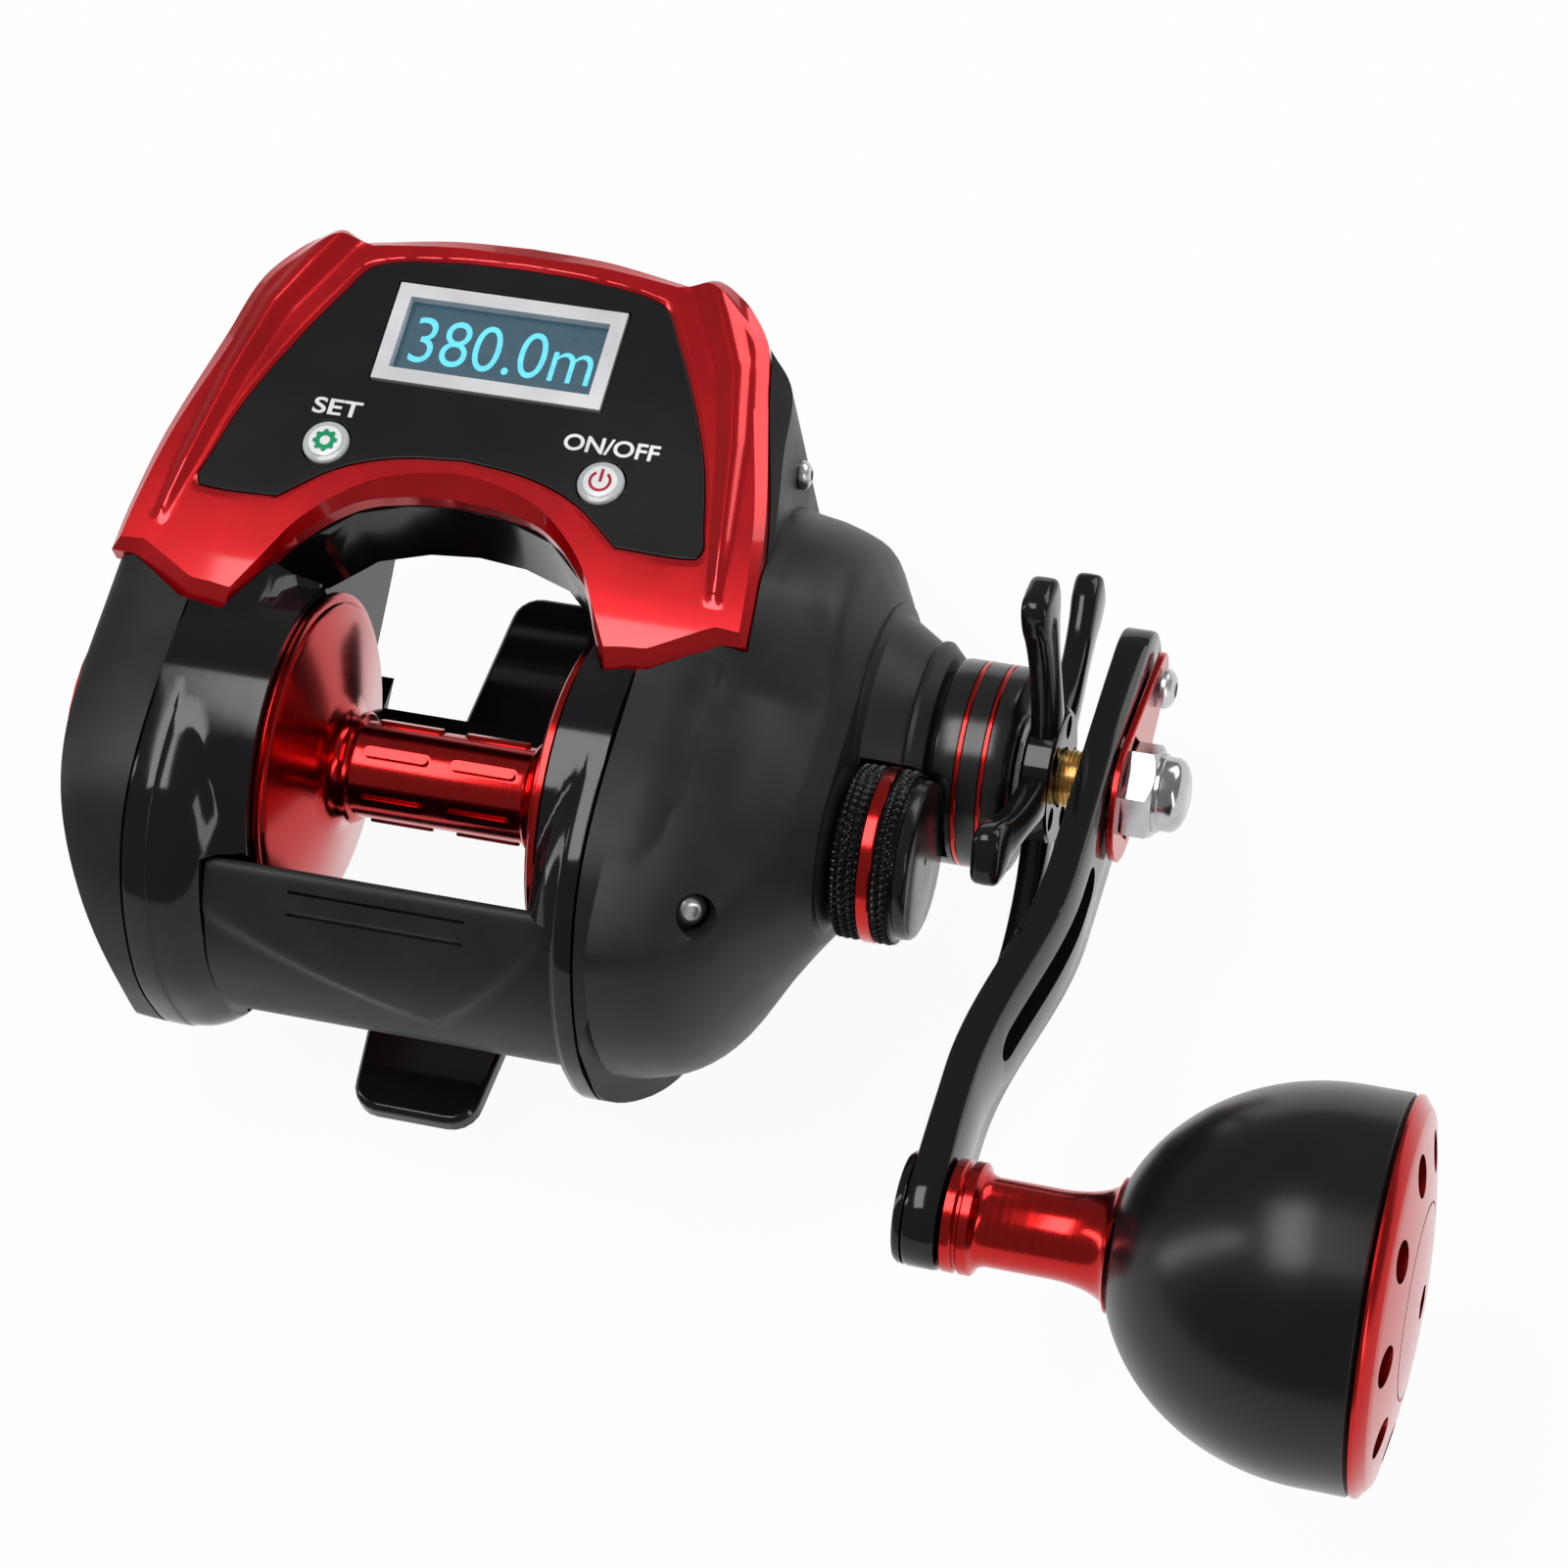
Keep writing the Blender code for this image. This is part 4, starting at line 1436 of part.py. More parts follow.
def make_display():
    """Glass panel, window frame, display module, buttons, board and battery."""
    top = -PANEL_SINK
    low = top - PANEL_THICKNESS
    buttons = [(-BUTTON_SPACING, BUTTON_ROW), (BUTTON_SPACING, BUTTON_ROW)]
    window_hole = rectangle(WINDOW_WIDTH + GAP * 2, WINDOW_HEIGHT + GAP * 2)
    holes = [window_hole] + [circle(BUTTON_RADIUS + GAP, FINE_STEPS, place) for place in buttons]
    extruded("display_panel", [panel_outline()] + holes, low, top, DISPLAY_CENTRE, GLOSS_BLACK, along_x=False)
    border = WINDOW_BORDER * 2
    frame_loops = [rectangle(WINDOW_WIDTH, WINDOW_HEIGHT),
                   rectangle(WINDOW_WIDTH - border, WINDOW_HEIGHT - border)]
    extruded("window_frame", frame_loops, low, top + WINDOW_PROUD, DISPLAY_CENTRE, WINDOW_SILVER,
             along_x=False)
    module_top = low - GAP
    module_low = module_top - MODULE_THICKNESS
    module_half = (WINDOW_WIDTH / 2 - MODULE_MARGIN, WINDOW_HEIGHT / 2 - MODULE_MARGIN)
    block("display_module", (-module_half[0], -module_half[1], module_low),
          (module_half[0], module_half[1], module_top), DISPLAY_CENTRE, DISPLAY_GLASS)
    for name, place in zip(("set_button", "power_button"), buttons):
        make_button(name, place)
    board_top = -BUTTON_HEIGHT + BUTTON_PROUD - BUTTON_TRAVEL - GAP
    board_low = board_top - BOARD_THICKNESS
    board = [(x * BOARD_HALF_WIDTH, y * (BOARD_FRONT if y > 0 else BOARD_REAR)) for x, y in BOARD_SHARES]
    extruded("circuit_board", [mirrored(board)], board_low, board_top, DISPLAY_CENTRE, BOARD_GREEN,
             along_x=False)
    battery_top = board_low - GAP
    battery_outline = circle(BATTERY_RADIUS, FINE_STEPS, (0, BATTERY_FORWARD))
    extruded("battery_cell", [battery_outline], battery_top - BATTERY_THICKNESS, battery_top,
             DISPLAY_CENTRE, STEEL,
             along_x=False)


def make_button(name, place):
    """Domed push button."""
    centre = axis_empty(name + "_axis", (*place, BUTTON_PROUD), DISPLAY_CENTRE)
    centre.rotation_euler = (0, -math.pi / 2, 0)
    edge = BUTTON_RADIUS * BUTTON_EDGE_SHARE
    profile = [(-BUTTON_HEIGHT, 0), (-BUTTON_HEIGHT, BUTTON_RADIUS), (-BUTTON_DOME, BUTTON_RADIUS),
               (-BUTTON_DOME / 2, edge), (0, edge / 2), (0, 0)]
    turned(name, profile, centre, BUTTON_SILVER, FINE_STEPS)


def make_housing():
    """Black housing under the trim, with the arch over the spool and a well for the electronics."""
    half = [Vector((x * HOUSING_HALF_WIDTH, y * HOUSING_FRONT)) for x, y in HOUSING_SHARES[:2]]
    arch = [Vector((x * TRIM_HALF_WIDTH, y * TRIM_REAR)) for x, y in ARCH_SHARES]
    corner = Vector((HOUSING_HALF_WIDTH, arch[0].y * HOUSING_SHARES[2][1]))
    outline = mirrored([Vector((0, HOUSING_FRONT))] + half + [corner] + arch[2:])
    roof = -TRIM_THICKNESS - GAP
    floor = -HOUSING_DEPTH
    housing = plan_slab("display_housing", [(floor, outline), (roof, outline)], DISPLAY_CENTRE, GLOSS_BLACK)
    well_outline = grown(outline, -HOUSING_WALL)
    well = plan_slab("housing_well", [(floor + HOUSING_WALL, well_outline), (0, well_outline)],
                     DISPLAY_CENTRE, None)
    room = SPOOL_RADIUS + GAP * 2
    reach = 2 * HOUSING_HALF_WIDTH
    rear_wall = rod("housing_rear_wall", -reach, reach, room + HOUSING_WALL, SPOOL_CENTRE, None, TURN_STEPS)
    spool_room = rod("housing_spool_room", -reach, reach, room, SPOOL_CENTRE, None, TURN_STEPS)
    cut(well, rear_wall)
    cut(housing, well, spool_room)


def make_reel():
    make_frame()
    make_thumb_bar()
    make_foot()
    make_left_cover()
    make_right_cover()
    make_spool()
    make_gears()
    star_face = make_drive()
    make_star(star_face)
    make_arm()
    make_handle_hardware()
    make_knob()
    make_tension_knob()
    make_level_wind()
    make_housing()
    make_trim()
    make_display()


make_reel()
bpy.context.view_layer.update()
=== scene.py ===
import json
import math

import bmesh
import bpy
from mathutils import Matrix, Vector

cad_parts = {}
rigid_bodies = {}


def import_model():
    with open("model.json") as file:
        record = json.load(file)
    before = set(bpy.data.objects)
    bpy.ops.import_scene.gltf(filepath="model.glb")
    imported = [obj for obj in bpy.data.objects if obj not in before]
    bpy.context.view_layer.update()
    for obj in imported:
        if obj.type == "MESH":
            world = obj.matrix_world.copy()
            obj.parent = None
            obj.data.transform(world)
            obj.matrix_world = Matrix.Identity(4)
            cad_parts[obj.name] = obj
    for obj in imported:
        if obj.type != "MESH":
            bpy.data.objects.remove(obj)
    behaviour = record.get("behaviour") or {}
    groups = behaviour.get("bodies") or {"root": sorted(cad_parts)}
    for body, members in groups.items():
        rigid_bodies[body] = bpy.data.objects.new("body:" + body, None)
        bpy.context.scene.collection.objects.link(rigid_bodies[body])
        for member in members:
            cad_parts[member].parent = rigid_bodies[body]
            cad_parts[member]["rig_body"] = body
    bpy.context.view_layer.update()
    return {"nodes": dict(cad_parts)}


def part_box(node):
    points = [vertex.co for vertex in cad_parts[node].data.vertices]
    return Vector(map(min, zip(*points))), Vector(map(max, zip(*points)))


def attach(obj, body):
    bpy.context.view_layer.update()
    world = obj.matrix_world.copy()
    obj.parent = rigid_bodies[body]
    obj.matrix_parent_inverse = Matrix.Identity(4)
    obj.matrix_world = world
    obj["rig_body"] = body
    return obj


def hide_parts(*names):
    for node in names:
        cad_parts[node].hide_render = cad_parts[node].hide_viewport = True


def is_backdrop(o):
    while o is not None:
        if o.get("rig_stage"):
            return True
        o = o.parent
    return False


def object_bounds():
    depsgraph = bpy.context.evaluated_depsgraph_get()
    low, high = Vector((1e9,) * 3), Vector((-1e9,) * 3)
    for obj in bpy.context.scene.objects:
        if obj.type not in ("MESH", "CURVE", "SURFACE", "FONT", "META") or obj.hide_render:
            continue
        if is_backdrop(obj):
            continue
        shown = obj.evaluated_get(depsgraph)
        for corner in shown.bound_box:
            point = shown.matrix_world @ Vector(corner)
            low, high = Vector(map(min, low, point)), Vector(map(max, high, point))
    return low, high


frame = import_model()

bl_info = {
    "name": "Baitcasting Reel Finish",
    "version": (1, 0, 0),
    "blender": (4, 5, 0),
    "location": "3D View > Sidebar > Reel",
    "description": "Finishes a packed baitcasting reel with its surfaces, markings, fasteners and a studio",
    "category": "Object",
}

MM = 0.001
# Angles, in degrees, above which an edge of a turned or a moulded piece stays sharp
SHARP = 32.0
MOULDED_SHARP = 38.0
# Points closer than this, in metres, become one
MERGE = 0.0002 * MM
# Axes along X, each by a point of it, in metres
SPOOL_AXIS = Vector((0, -0.027, 0.0232))
DRIVE_AXIS = Vector((0, -0.0108032, 0.0166231))
KNOB_AXIS = Vector((0, -0.0669933, 0.0261976))
# Plane of the display: right, forward and up from its middle
DISPLAY_ORIGIN = Vector((-0.0027, 0.0148, 0.0452))
DISPLAY_TILT = math.radians(4.0)
DISPLAY_PLACE = Matrix.Translation(DISPLAY_ORIGIN) @ Matrix.Rotation(DISPLAY_TILT, 4, "X")
# Way of the handle arm from the drive shaft to the knob, and the way across it
ARM_ANGLE = math.radians(170.33)
ARM_DIRECTION = Vector((0, math.cos(ARM_ANGLE), math.sin(ARM_ANGLE)))
ARM_SIDE = Vector((1, 0, 0)).cross(ARM_DIRECTION)
# Face of the right cover's rear screw, and the way it looks
COVER_SCREW = SPOOL_AXIS + Vector((34.3, -17.3, 13.4)) * MM
COVER_SCREW_WAY = Vector((0.62, -0.6, 0.5))
COVER_SCREW_DEPTH = 1.6 * MM
# Seat of its front screw, and the way that one looks
FLANK_SCREW = SPOOL_AXIS + Vector((30.5, 38.3, 10.5)) * MM
FLANK_SCREW_WAY = Vector((1, 0.1, 0))

# Studio: name, place and size of the lights, where they aim, the camera's place and axes, and the room left under the
# reel, in metres; the right strip's share of the left one's power, and the share of plain white that the floor shows
LIGHTS = (
    ("key_light", (-0.3, -0.05, 1.25), (0.8, 0.36)), ("back_light", (0.58, 0.86, 0.6), (0.8, 0.6)),
    ("left_strip", (-0.8, -0.15, 0.5), (0.16, 0.9)), ("right_strip", (0.75, -0.35, 0.35), (0.14, 0.7)),
)
LIGHT_AIM = Vector((0.02, -0.03, 0.02))
CAMERA_PLACE = Vector((0.14936, -0.24064, 0.43213))
CAMERA_AXES = ((0.9585, 0.2537, -0.1301), (-0.1572, 0.8508, 0.5015), (0.2379, -0.4602, 0.8553))
FLOOR_GAP = 1.0 * MM
RIGHT_STRIP_SHARE = 0.6
FLOOR_GLOW = 0.95

# Numbers and tables from here to the properties are in millimetres. In a line a third value of 1 keeps a corner.
# Side lines of the body and of the thumb bar: forward and up about the spool axis
BODY_OUTLINE = (
    (50.0, 21.0), (28.1, 20.2), (6.1, 19.0), (-8.1, 18.4), (-17.1, 15.6), (-23.5, 9.2), (-27.4, 0.0), (-28.0, -8.0),
    (-25.8, -16.8), (-18.5, -21.4), (-8.1, -21.0), (13.8, -20.6), (24.0, -17.4), (35.7, -12.6), (44.9, -6.1),
    (50.0, 4.0), (51.0, 13.2),
)
THUMB_OUTLINE = (
    (-18.06, 9.38), (-22.4, 6.72), (-26.04, 1.4), (-27.3, -4.48), (-26.88, -9.52), (-24.36, -11.76),
    (-21.42, -11.76), (-19.88, -5.6), (-19.18, 0.56),
)
# Plan lines of the body's two flanks: out from the body's middle, and forward of the spool axis
LEFT_FLANK = (
    (24.6, -30.6), (28.2, -27.0), (30.7, -22.2), (32.6, -16.2), (33.8, -8.4), (34.3, 0.0), (34.5, 11.2), (34.4, 16.8),
    (33.6, 26.0), (30.6, 39.3), (28.5, 46.4), (25.7, 50.5), (21.1, 53.6),
)
RIGHT_FLANK = (
    (23.2, -29.6), (29.9, -21.9), (33.3, -12.0), (35.0, 0.0), (35.2, 11.2), (35.0, 16.8), (34.5, 26.0), (33.4, 34.7),
    (32.7, 41.8), (29.6, 45.9), (25.7, 50.5), (21.1, 53.6),
)
# Right halves of the trim's and the panel's plan lines: right and forward from the middle of the display
TRIM_OUTLINE = (
    (0.0, 12.9), (8.8, 12.5), (17.3, 11.1), (18.8, 10.8, 1), (21.6, 11.6), (23.4, 11.1), (26.0, 9.0), (29.0, 4.6),
    (30.8, -2.9), (33.8, -15.7), (35.0, -25.0), (35.4, -30.7, 1), (32.7, -30.7, 1), (26.0, -35.0, 1),
    (21.2, -35.7, 1), (19.1, -31.6), (16.3, -26.1), (11.0, -20.9), (5.5, -19.1), (0.0, -18.6),
)
PANEL_OUTLINE = (
    (0.0, 9.8), (8.5, 9.4), (16.5, 7.8), (19.0, 4.1), (22.4, -2.4), (26.0, -11.0), (28.0, -18.9), (28.4, -20.7),
    (27.7, -22.0), (19.0, -22.0, 1), (13.3, -17.6), (7.4, -15.4), (0.0, -14.5),
)
# Bead on a flank of the trim: right, forward, half width, height
TRIM_RIDGE = (
    (21.2, 11.2, 2.6, 0.95), (23.4, 7.1, 2.7, 1.0), (26.2, 1.3, 2.4, 0.9), (28.3, -7.9, 1.9, 0.75),
    (30.1, -19.6, 1.4, 0.55), (31.0, -26.4, 0.8, 0.2),
)
# Share of a ring's width, and how far the line is drawn in
LEFT_LIP = (
    (0.0, 0.0), (0.04, -0.05), (0.2, -0.05), (0.24, 0.1), (0.42, 0.45), (0.6, 1.5), (0.72, 2.9), (0.8, 3.6),
    (0.88, 3.9), (0.95, 4.4), (1.0, 5.0),
)
RIGHT_LIP = (
    (0.0, 0.0), (0.06, -0.03), (0.3, 0.0), (0.36, 0.15), (0.55, 0.5), (0.75, 1.3), (0.9, 2.2), (1.0, 3.0),
)
# Share of a cover's width, and share of how far its side is rolled in
COVER_ROLL = ((0.0, 0.0), (0.25, 0.02), (0.45, 0.06), (0.62, 0.16), (0.75, 0.3), (0.86, 0.5), (0.94, 0.72), (1.0, 1.0))
# Star drag: arms, turn of the first in degrees, middle along X, points round an arm and how square an arm is, and the
# reach and radius of the holes between the arms
STAR_ARMS, STAR_TURN, STAR_MIDDLE, STAR_POINTS, STAR_SQUARE = 5, 70.0, 61.5, 20, 0.45
STAR_HOLE_REACH, STAR_HOLE = 5.4, 1.3
# Reach, half width, lean and half thickness along an arm of the star
STAR_ARM = (
    (6.0, 2.7, 0.0, 1.55), (9.1, 2.2, 0.02, 1.5), (12.6, 1.95, 0.15, 1.45), (16.1, 2.05, 0.34, 1.45),
    (19.2, 2.6, 0.54, 1.5), (21.4, 3.2, 0.7, 1.6), (23.6, 3.2, 0.8, 1.6), (24.7, 2.5, 0.8, 1.45),
    (25.15, 1.2, 0.8, 0.8),
)
# Share of the reach, size of the gear bulge and size of the bulge behind the tension knob
GEAR_BULGE = (
    (0.1, 1.1, 1.03), (0.26, 1.08, 1.01), (0.46, 1.03, 0.95), (0.64, 1.0, 0.82), (0.84, 0.93, 0.56), (0.93, 0.81, 0.45),
    (1.0, 0.69, 0.38),
)
# Outline of the handle arm before it is bent: along it and across it
ARM_BLANK = (
    (62.8, 0.0), (61.0, 4.2), (57.0, 5.8), (44.0, 6.3), (16.0, 7.1), (-12.95, 7.1), (-18.0, 5.0), (-20.05, 0.0),
    (-18.0, -5.0), (-12.95, -7.1), (16.0, -7.1), (44.0, -6.3), (57.0, -5.8), (61.0, -4.2),
)

# Steps between two marks of the body's side line, and between two rows of the lips' and the covers' tables
BODY_STEPS, LIP_STEPS, ROLL_STEPS = 8, 3, 4
# Ends of the line inside the body's side line towards which its points are drawn in
SPINE_REAR, SPINE_FRONT = Vector((-4.0, 0.0)), Vector((36.0, 6.0))
# Ends of the body's plan line, and the reach of its cutter to each side of it
PLAN_FRONT, PLAN_REAR, PLAN_REACH = 55.0, -32.0, 60.0
# Gap round the trim in its pocket, and the floor and the top of the pocket
TRIM_GAP, POCKET_FLOOR, POCKET_TOP = 0.15, -3.35, 6.0
# Room for the thumb bar: half width, gap, and the way and length of its press
THUMB_ROOM_HALF, THUMB_GAP, THUMB_WAY, THUMB_TRAVEL = 19.65, 0.8, Vector((-0.1736, -0.9848)), 3.6
# Middle of the body along X, middles of the two buttons, and level, thickness, steps and tooth height of their icons
BODY_MIDDLE = -2.7
BUTTON_PLACES = ((-15.5, -14.7), (15.5, -14.7))
ICON_LEVEL, ICON_THICKNESS = 0.35, 0.04
ICON_STEPS, ICON_TOOTH = 48, 1.22
# Outer and inner radius of the two icons, teeth of the gear, and arc and start of the power sign in degrees; its
# stroke is a box by two corners from the middle of the button
GEAR_ICON, GEAR_ICON_TEETH = (1.12, 0.58), 8
POWER_ICON, POWER_ARC, POWER_START = (1.25, 0.95), 290.0, 125.0
POWER_STROKE = ((-0.16, -0.1, 0.33), (0.16, 1.45, 0.4))
# Height and radius of the buttons' holes, rims and faces
BUTTON_HOLE = ((-3.0, 2.75), (1.0, 2.75))
BUTTON_RIM = ((-2.85, 2.55), (-0.1, 2.55), (0.12, 2.4), (0.2, 2.0), (0.2, 1.9))
BUTTON_FACE = ((0.1, 1.88), (0.27, 1.85), (0.34, 1.65), (0.35, 1.3))
# Panel of the display: gap to the trim, its two faces, and the hole of its window by two corners
PANEL_GAP, PANEL_UNDER, PANEL_FACE = 0.12, -1.15, -0.15
WINDOW_HOLE = ((-13.3, -6.4, -3.0), (13.3, 6.4, 1.0))

# Outer faces of the frame's rings and inner faces of the side covers along X, each with its width, and how far the
# side of a cover is rolled in
LEFT_RING, LEFT_RING_WIDTH = -27.4, 11.9
RIGHT_RING, RIGHT_RING_WIDTH = 22.0, 5.7
LEFT_COVER, LEFT_COVER_WIDTH, LEFT_COVER_INSET = -27.7, 9.45, 6.6
RIGHT_COVER, RIGHT_COVER_WIDTH, RIGHT_COVER_INSET, GEAR_BULGE_WIDTH = 22.3, 11.0, 4.8, 21.0
# Share of its inset by which the left cover's side is lifted, low and high, and the level and run between the two
LIFT_LOW, LIFT_HIGH, LIFT_LEVEL, LIFT_RUN = 0.2, 0.75, -5.0, 15.0
# Radius of the rings' bore for the spool, and the least radius that is left to their rolled lips
SPOOL_BORE, SPOOL_WALL = 18.66, 19.6
# Steps round a bore or a boss of the body
BORE_STEPS = 96
# Boxes of the frame, each by two corners (right, forward, up): its lower bars, the bay of the line guide, the room
# between that and the spool, and the room for the display housing; its front bar by its place (forward, up) and radius
BAR_LEFT, BAR_RIGHT, BAR_LOW, BAR_HIGH = -21.4, 19.1, -20.7, -16.7
FRONT_BOTTOM_BAR = ((BAR_LEFT, 6.0, BAR_LOW), (BAR_RIGHT, 16.7, BAR_HIGH))
REAR_BOTTOM_BAR = ((BAR_LEFT, -19.0, BAR_LOW), (BAR_RIGHT, -10.5, BAR_HIGH))
GUIDE_BAY = ((-19.0, 19.2, -28.0), (19.0, 53.0, 8.2))
MIDDLE_BAY = ((-19.0, 12.0, -14.0), (19.0, 21.2, 8.2))
HOUSING_ROOM = ((-21.6, 13.2, 5.2), (16.2, 53.0, 28.0))
FRONT_BAR_PLACE, FRONT_BAR_RADIUS = (43.2, -7.2), 2.0
# Rods, each by its two ends along X and its radius: holes of the frame for the drive shaft, the worm shaft and the
# rail; spigot of the left cover in its ring and boss for its bearing; wall of the gear chamber, room of the worm's
# gear and well of the rear screw in the right cover
DRIVE_HOLE, WORM_HOLE, RAIL_HOLE = (18.6, 24.0, 3.3), (-20.4, 24.0, 1.6), (-20.5, 20.5, 1.2)
RING_SPIGOT, BEARING_BOSS = (-28.0, -22.4, 17.8), (-23.0, -18.6, 6.2)
GEAR_WALL, WORM_GEAR_ROOM, SCREW_WELL = (22.4, 30.0, 17.7), (20.0, 25.8, 6.6), (-1.9, 6.0, 2.15)
# Gear bulge: radii round the gear and the knob, and level of its floor; above a level it is drawn down, from where
# forward of the axis, over which run and by which share; points of its line, and directions in which it is measured
GEAR_BULGE_RADIUS, KNOB_BULGE_RADIUS, BULGE_FLOOR = 23.4, 27.0, -24.4
BULGE_LEVEL, BULGE_FRONT, BULGE_RUN, BULGE_FALL = 13.0, 20.0, 12.0, 0.65
BULGE_POINTS, BULGE_NORMALS = 120, 180
# Half width of the thumb bar, and its V crease: start of the left arm, tip, and how steep the arms are
THUMB_BAR_HALF, THUMB_BAR_STEPS = 19.4, 60
CREASE_START, CREASE_TIP, CREASE_FALL, CREASE_RISE = (-17.0, 5.7), (5.6, -2.7), 0.37, 0.95
# Depth of the crease, and the place behind which the bar's back begins
CREASE_DEPTH, THUMB_BACK = 0.85, -21.5
# Place (forward, up) and slope in degrees of the bar's top, and its two fine lines as boxes on that slope
THUMB_TOP, THUMB_TOP_SLOPE = (-20.4, 8.35), 31.0
THUMB_LINES = (((-10.0, 0.03, -0.8), (9.5, 0.37, 2.0)), ((-10.0, -2.37, -1.1), (9.5, -2.03, 2.0)))
# Trim: rows across it and across its edge, steps between two marks of its line, and levels of its ledge and foot
TRIM_ROWS, TRIM_EDGE_ROWS, TRIM_STEPS = 28, 4, 10
TRIM_LEDGE, TRIM_FOOT = -1.4, -3.2
# Faceted edge of the trim: width and drop, what the arch at the rear adds to both, and the steps over which it does
EDGE_WIDTH, EDGE_DROP, ARCH_EDGE_WIDTH, ARCH_EDGE_DROP, ARCH_STEPS = 1.5, 0.9, 0.9, 0.6, 20
# Width and drop of its inner edge; and how far the arch is rolled down, from where and over which length
INNER_WIDTH, INNER_DROP = 0.5, 0.25
ARCH_DROP, ARCH_FRONT, ARCH_LENGTH = 0.6, -19.0, 17.0
# Runs of the trim: first mark outside and inside, last mark outside and inside, and the steps of the run
TRIM_RUNS = ((0, 0, 4, 2, 30), (4, 2, 11, 7, 90), (11, 7, 14, 9, 24), (14, 9, 19, 12, 60))
# Handle arm: its faces and edge, where along it and at which level the lock screw sits, place and radius of its
# holes, and the slot's place, half length and half width
ARM_LOW, ARM_HIGH, ARM_EDGE = 66.0, 69.5, 0.45
LOCK_SCREW_PLACE, LOCK_SCREW_SEAT = -14.4, 70.9
ARM_HOLES = ((0, 2.7), (57.0, 2.3), (LOCK_SCREW_PLACE, 1.2))
ARM_SLOT_PLACE, ARM_SLOT = 24.5, (12.7, 2.2)
# Bend of the handle arm: where it starts, how long it runs and how far it falls
BEND_START, BEND_RUN, BEND_FALL = 16.0, 28.0, 4.2
# Knurl of the tension knob: radius, depth, step between its rows, and its waves and points round the knob
KNURL_RADIUS, KNURL_DEPTH, KNURL_ROW, KNURL_WAVES, KNURL_POINTS = 9.29, 0.55, 0.12, 31, 496

# Turned profiles about the spool axis: place along X and radius
LEFT_RING_BORE = ((-30.0, 0), (-30.0, SPOOL_BORE), (0.5, SPOOL_BORE), (0.5, 0))
RIGHT_RING_BORE = (
    (0, 0), (0, SPOOL_BORE), (17.0, SPOOL_BORE), (17.0, 4.3), (19.8, 4.3), (19.8, 3.7), (24.0, 3.7), (24.0, 0),
)
LEFT_BEARING_BORE = ((-24.3, 0), (-24.3, 1.85), (-21.7, 1.85), (-21.7, 4.3), (0, 4.3), (0, 0))
DIAL_SEAT = ((-40.0, 0), (-40.0, 13.5), (-35.7, 13.5), (-35.7, 2.7), (-31.4, 2.7), (-31.4, 0))
KNOB_FLARE = ((41.0, 0), (41.0, 11.4), (42.4, 10.2), (43.4, 8.9), (44.0, 7.8), (44.0, 6.4), (48.6, 6.4), (48.6, 0))
# Room round the tension knob in the right cover, and the same in the drive collar beside it
KNOB_ROOM = ((44.2, 6.4), (44.2, 9.7), (53.0, 9.7), (53.0, 6.4))
KNOB_ROOM_IN_COLLAR = ((44.2, 2.2), (44.2, 9.7), (53.0, 9.7), (53.0, 2.2))
PINION_CHAMBER = ((20.0, 0), (20.0, 9.4), (39.4, 9.4), (39.4, 2.5), (51.0, 2.5), (51.0, 0))
SPOOL_HALF = (
    (9.4, 5.2), (9.7, 5.25), (9.9, 5.9), (10.2, 6.15), (10.6, 5.95), (10.9, 5.75), (11.4, 6.0), (12.0, 6.9),
    (12.4, 8.2), (14.2, 16.6), (14.4, 17.2), (14.75, 17.3), (14.85, 18.1), (15.0, 18.3), (15.65, 18.3), (15.8, 18.15),
    (15.8, 17.3), (13.3, 5.8), (15.5, 5.5), (15.5, 1.55),
)
# Slots of the spool: count, turn of the first in degrees and place along X; then the half length, half width and two
# heights of a slot and of the bed in it
SPOOL_SLOTS, SPOOL_SLOT_TURN, SPOOL_SLOT_PLACE = 6, 8.0, 4.9
SPOOL_SLOT, SPOOL_BED = (3.9, 0.8, 5.1, 6.5), (3.6, 0.5, 4.6, 5.55)
SPOOL_CORE = ((11.1, 1.55), (11.1, 3.9), (-11.1, 3.9), (-11.1, 1.55))
TENSION_BAND = ((47.6, 8.45), (47.6, 9.2), (47.75, 9.34), (48.85, 9.34), (49.0, 9.2), (49.0, 8.45))
# The same about the drive shaft's axis
SHAFT_CONE = (
    (41.0, 0), (41.0, 16.2), (43.6, 15.9), (44.1, 14.6), (48.2, 12.1), (48.5, 12.5), (49.0, 12.5), (50.2, 11.3),
    (50.2, 9.4), (50.7, 9.4), (50.7, 0),
)
GEAR_CHAMBER = (
    (20.0, 0), (20.0, 3.3), (22.95, 3.3), (22.95, 17.0), (39.0, 17.0), (39.0, 6.7), (48.8, 6.7), (48.8, 5.2),
    (53.0, 5.2), (53.0, 0),
)
COLLAR = (
    (51.0, 5.2), (51.0, 10.7), (51.2, 11.0), (51.5, 11.1), (53.5, 11.1), (53.55, 10.9), (54.15, 10.9), (54.2, 11.1),
    (56.2, 11.1), (56.25, 10.9), (56.85, 10.9), (56.9, 11.1), (58.3, 11.1), (58.6, 11.0), (58.8, 10.6), (58.8, 5.2),
)
# Places of the collar's red rings, and the profile of one from its place
COLLAR_RINGS = (53.85, 56.55)
COLLAR_RING = ((-0.28, 10.92), (-0.28, 11.04), (-0.18, 11.14), (0.18, 11.14), (0.28, 11.04), (0.28, 10.92))
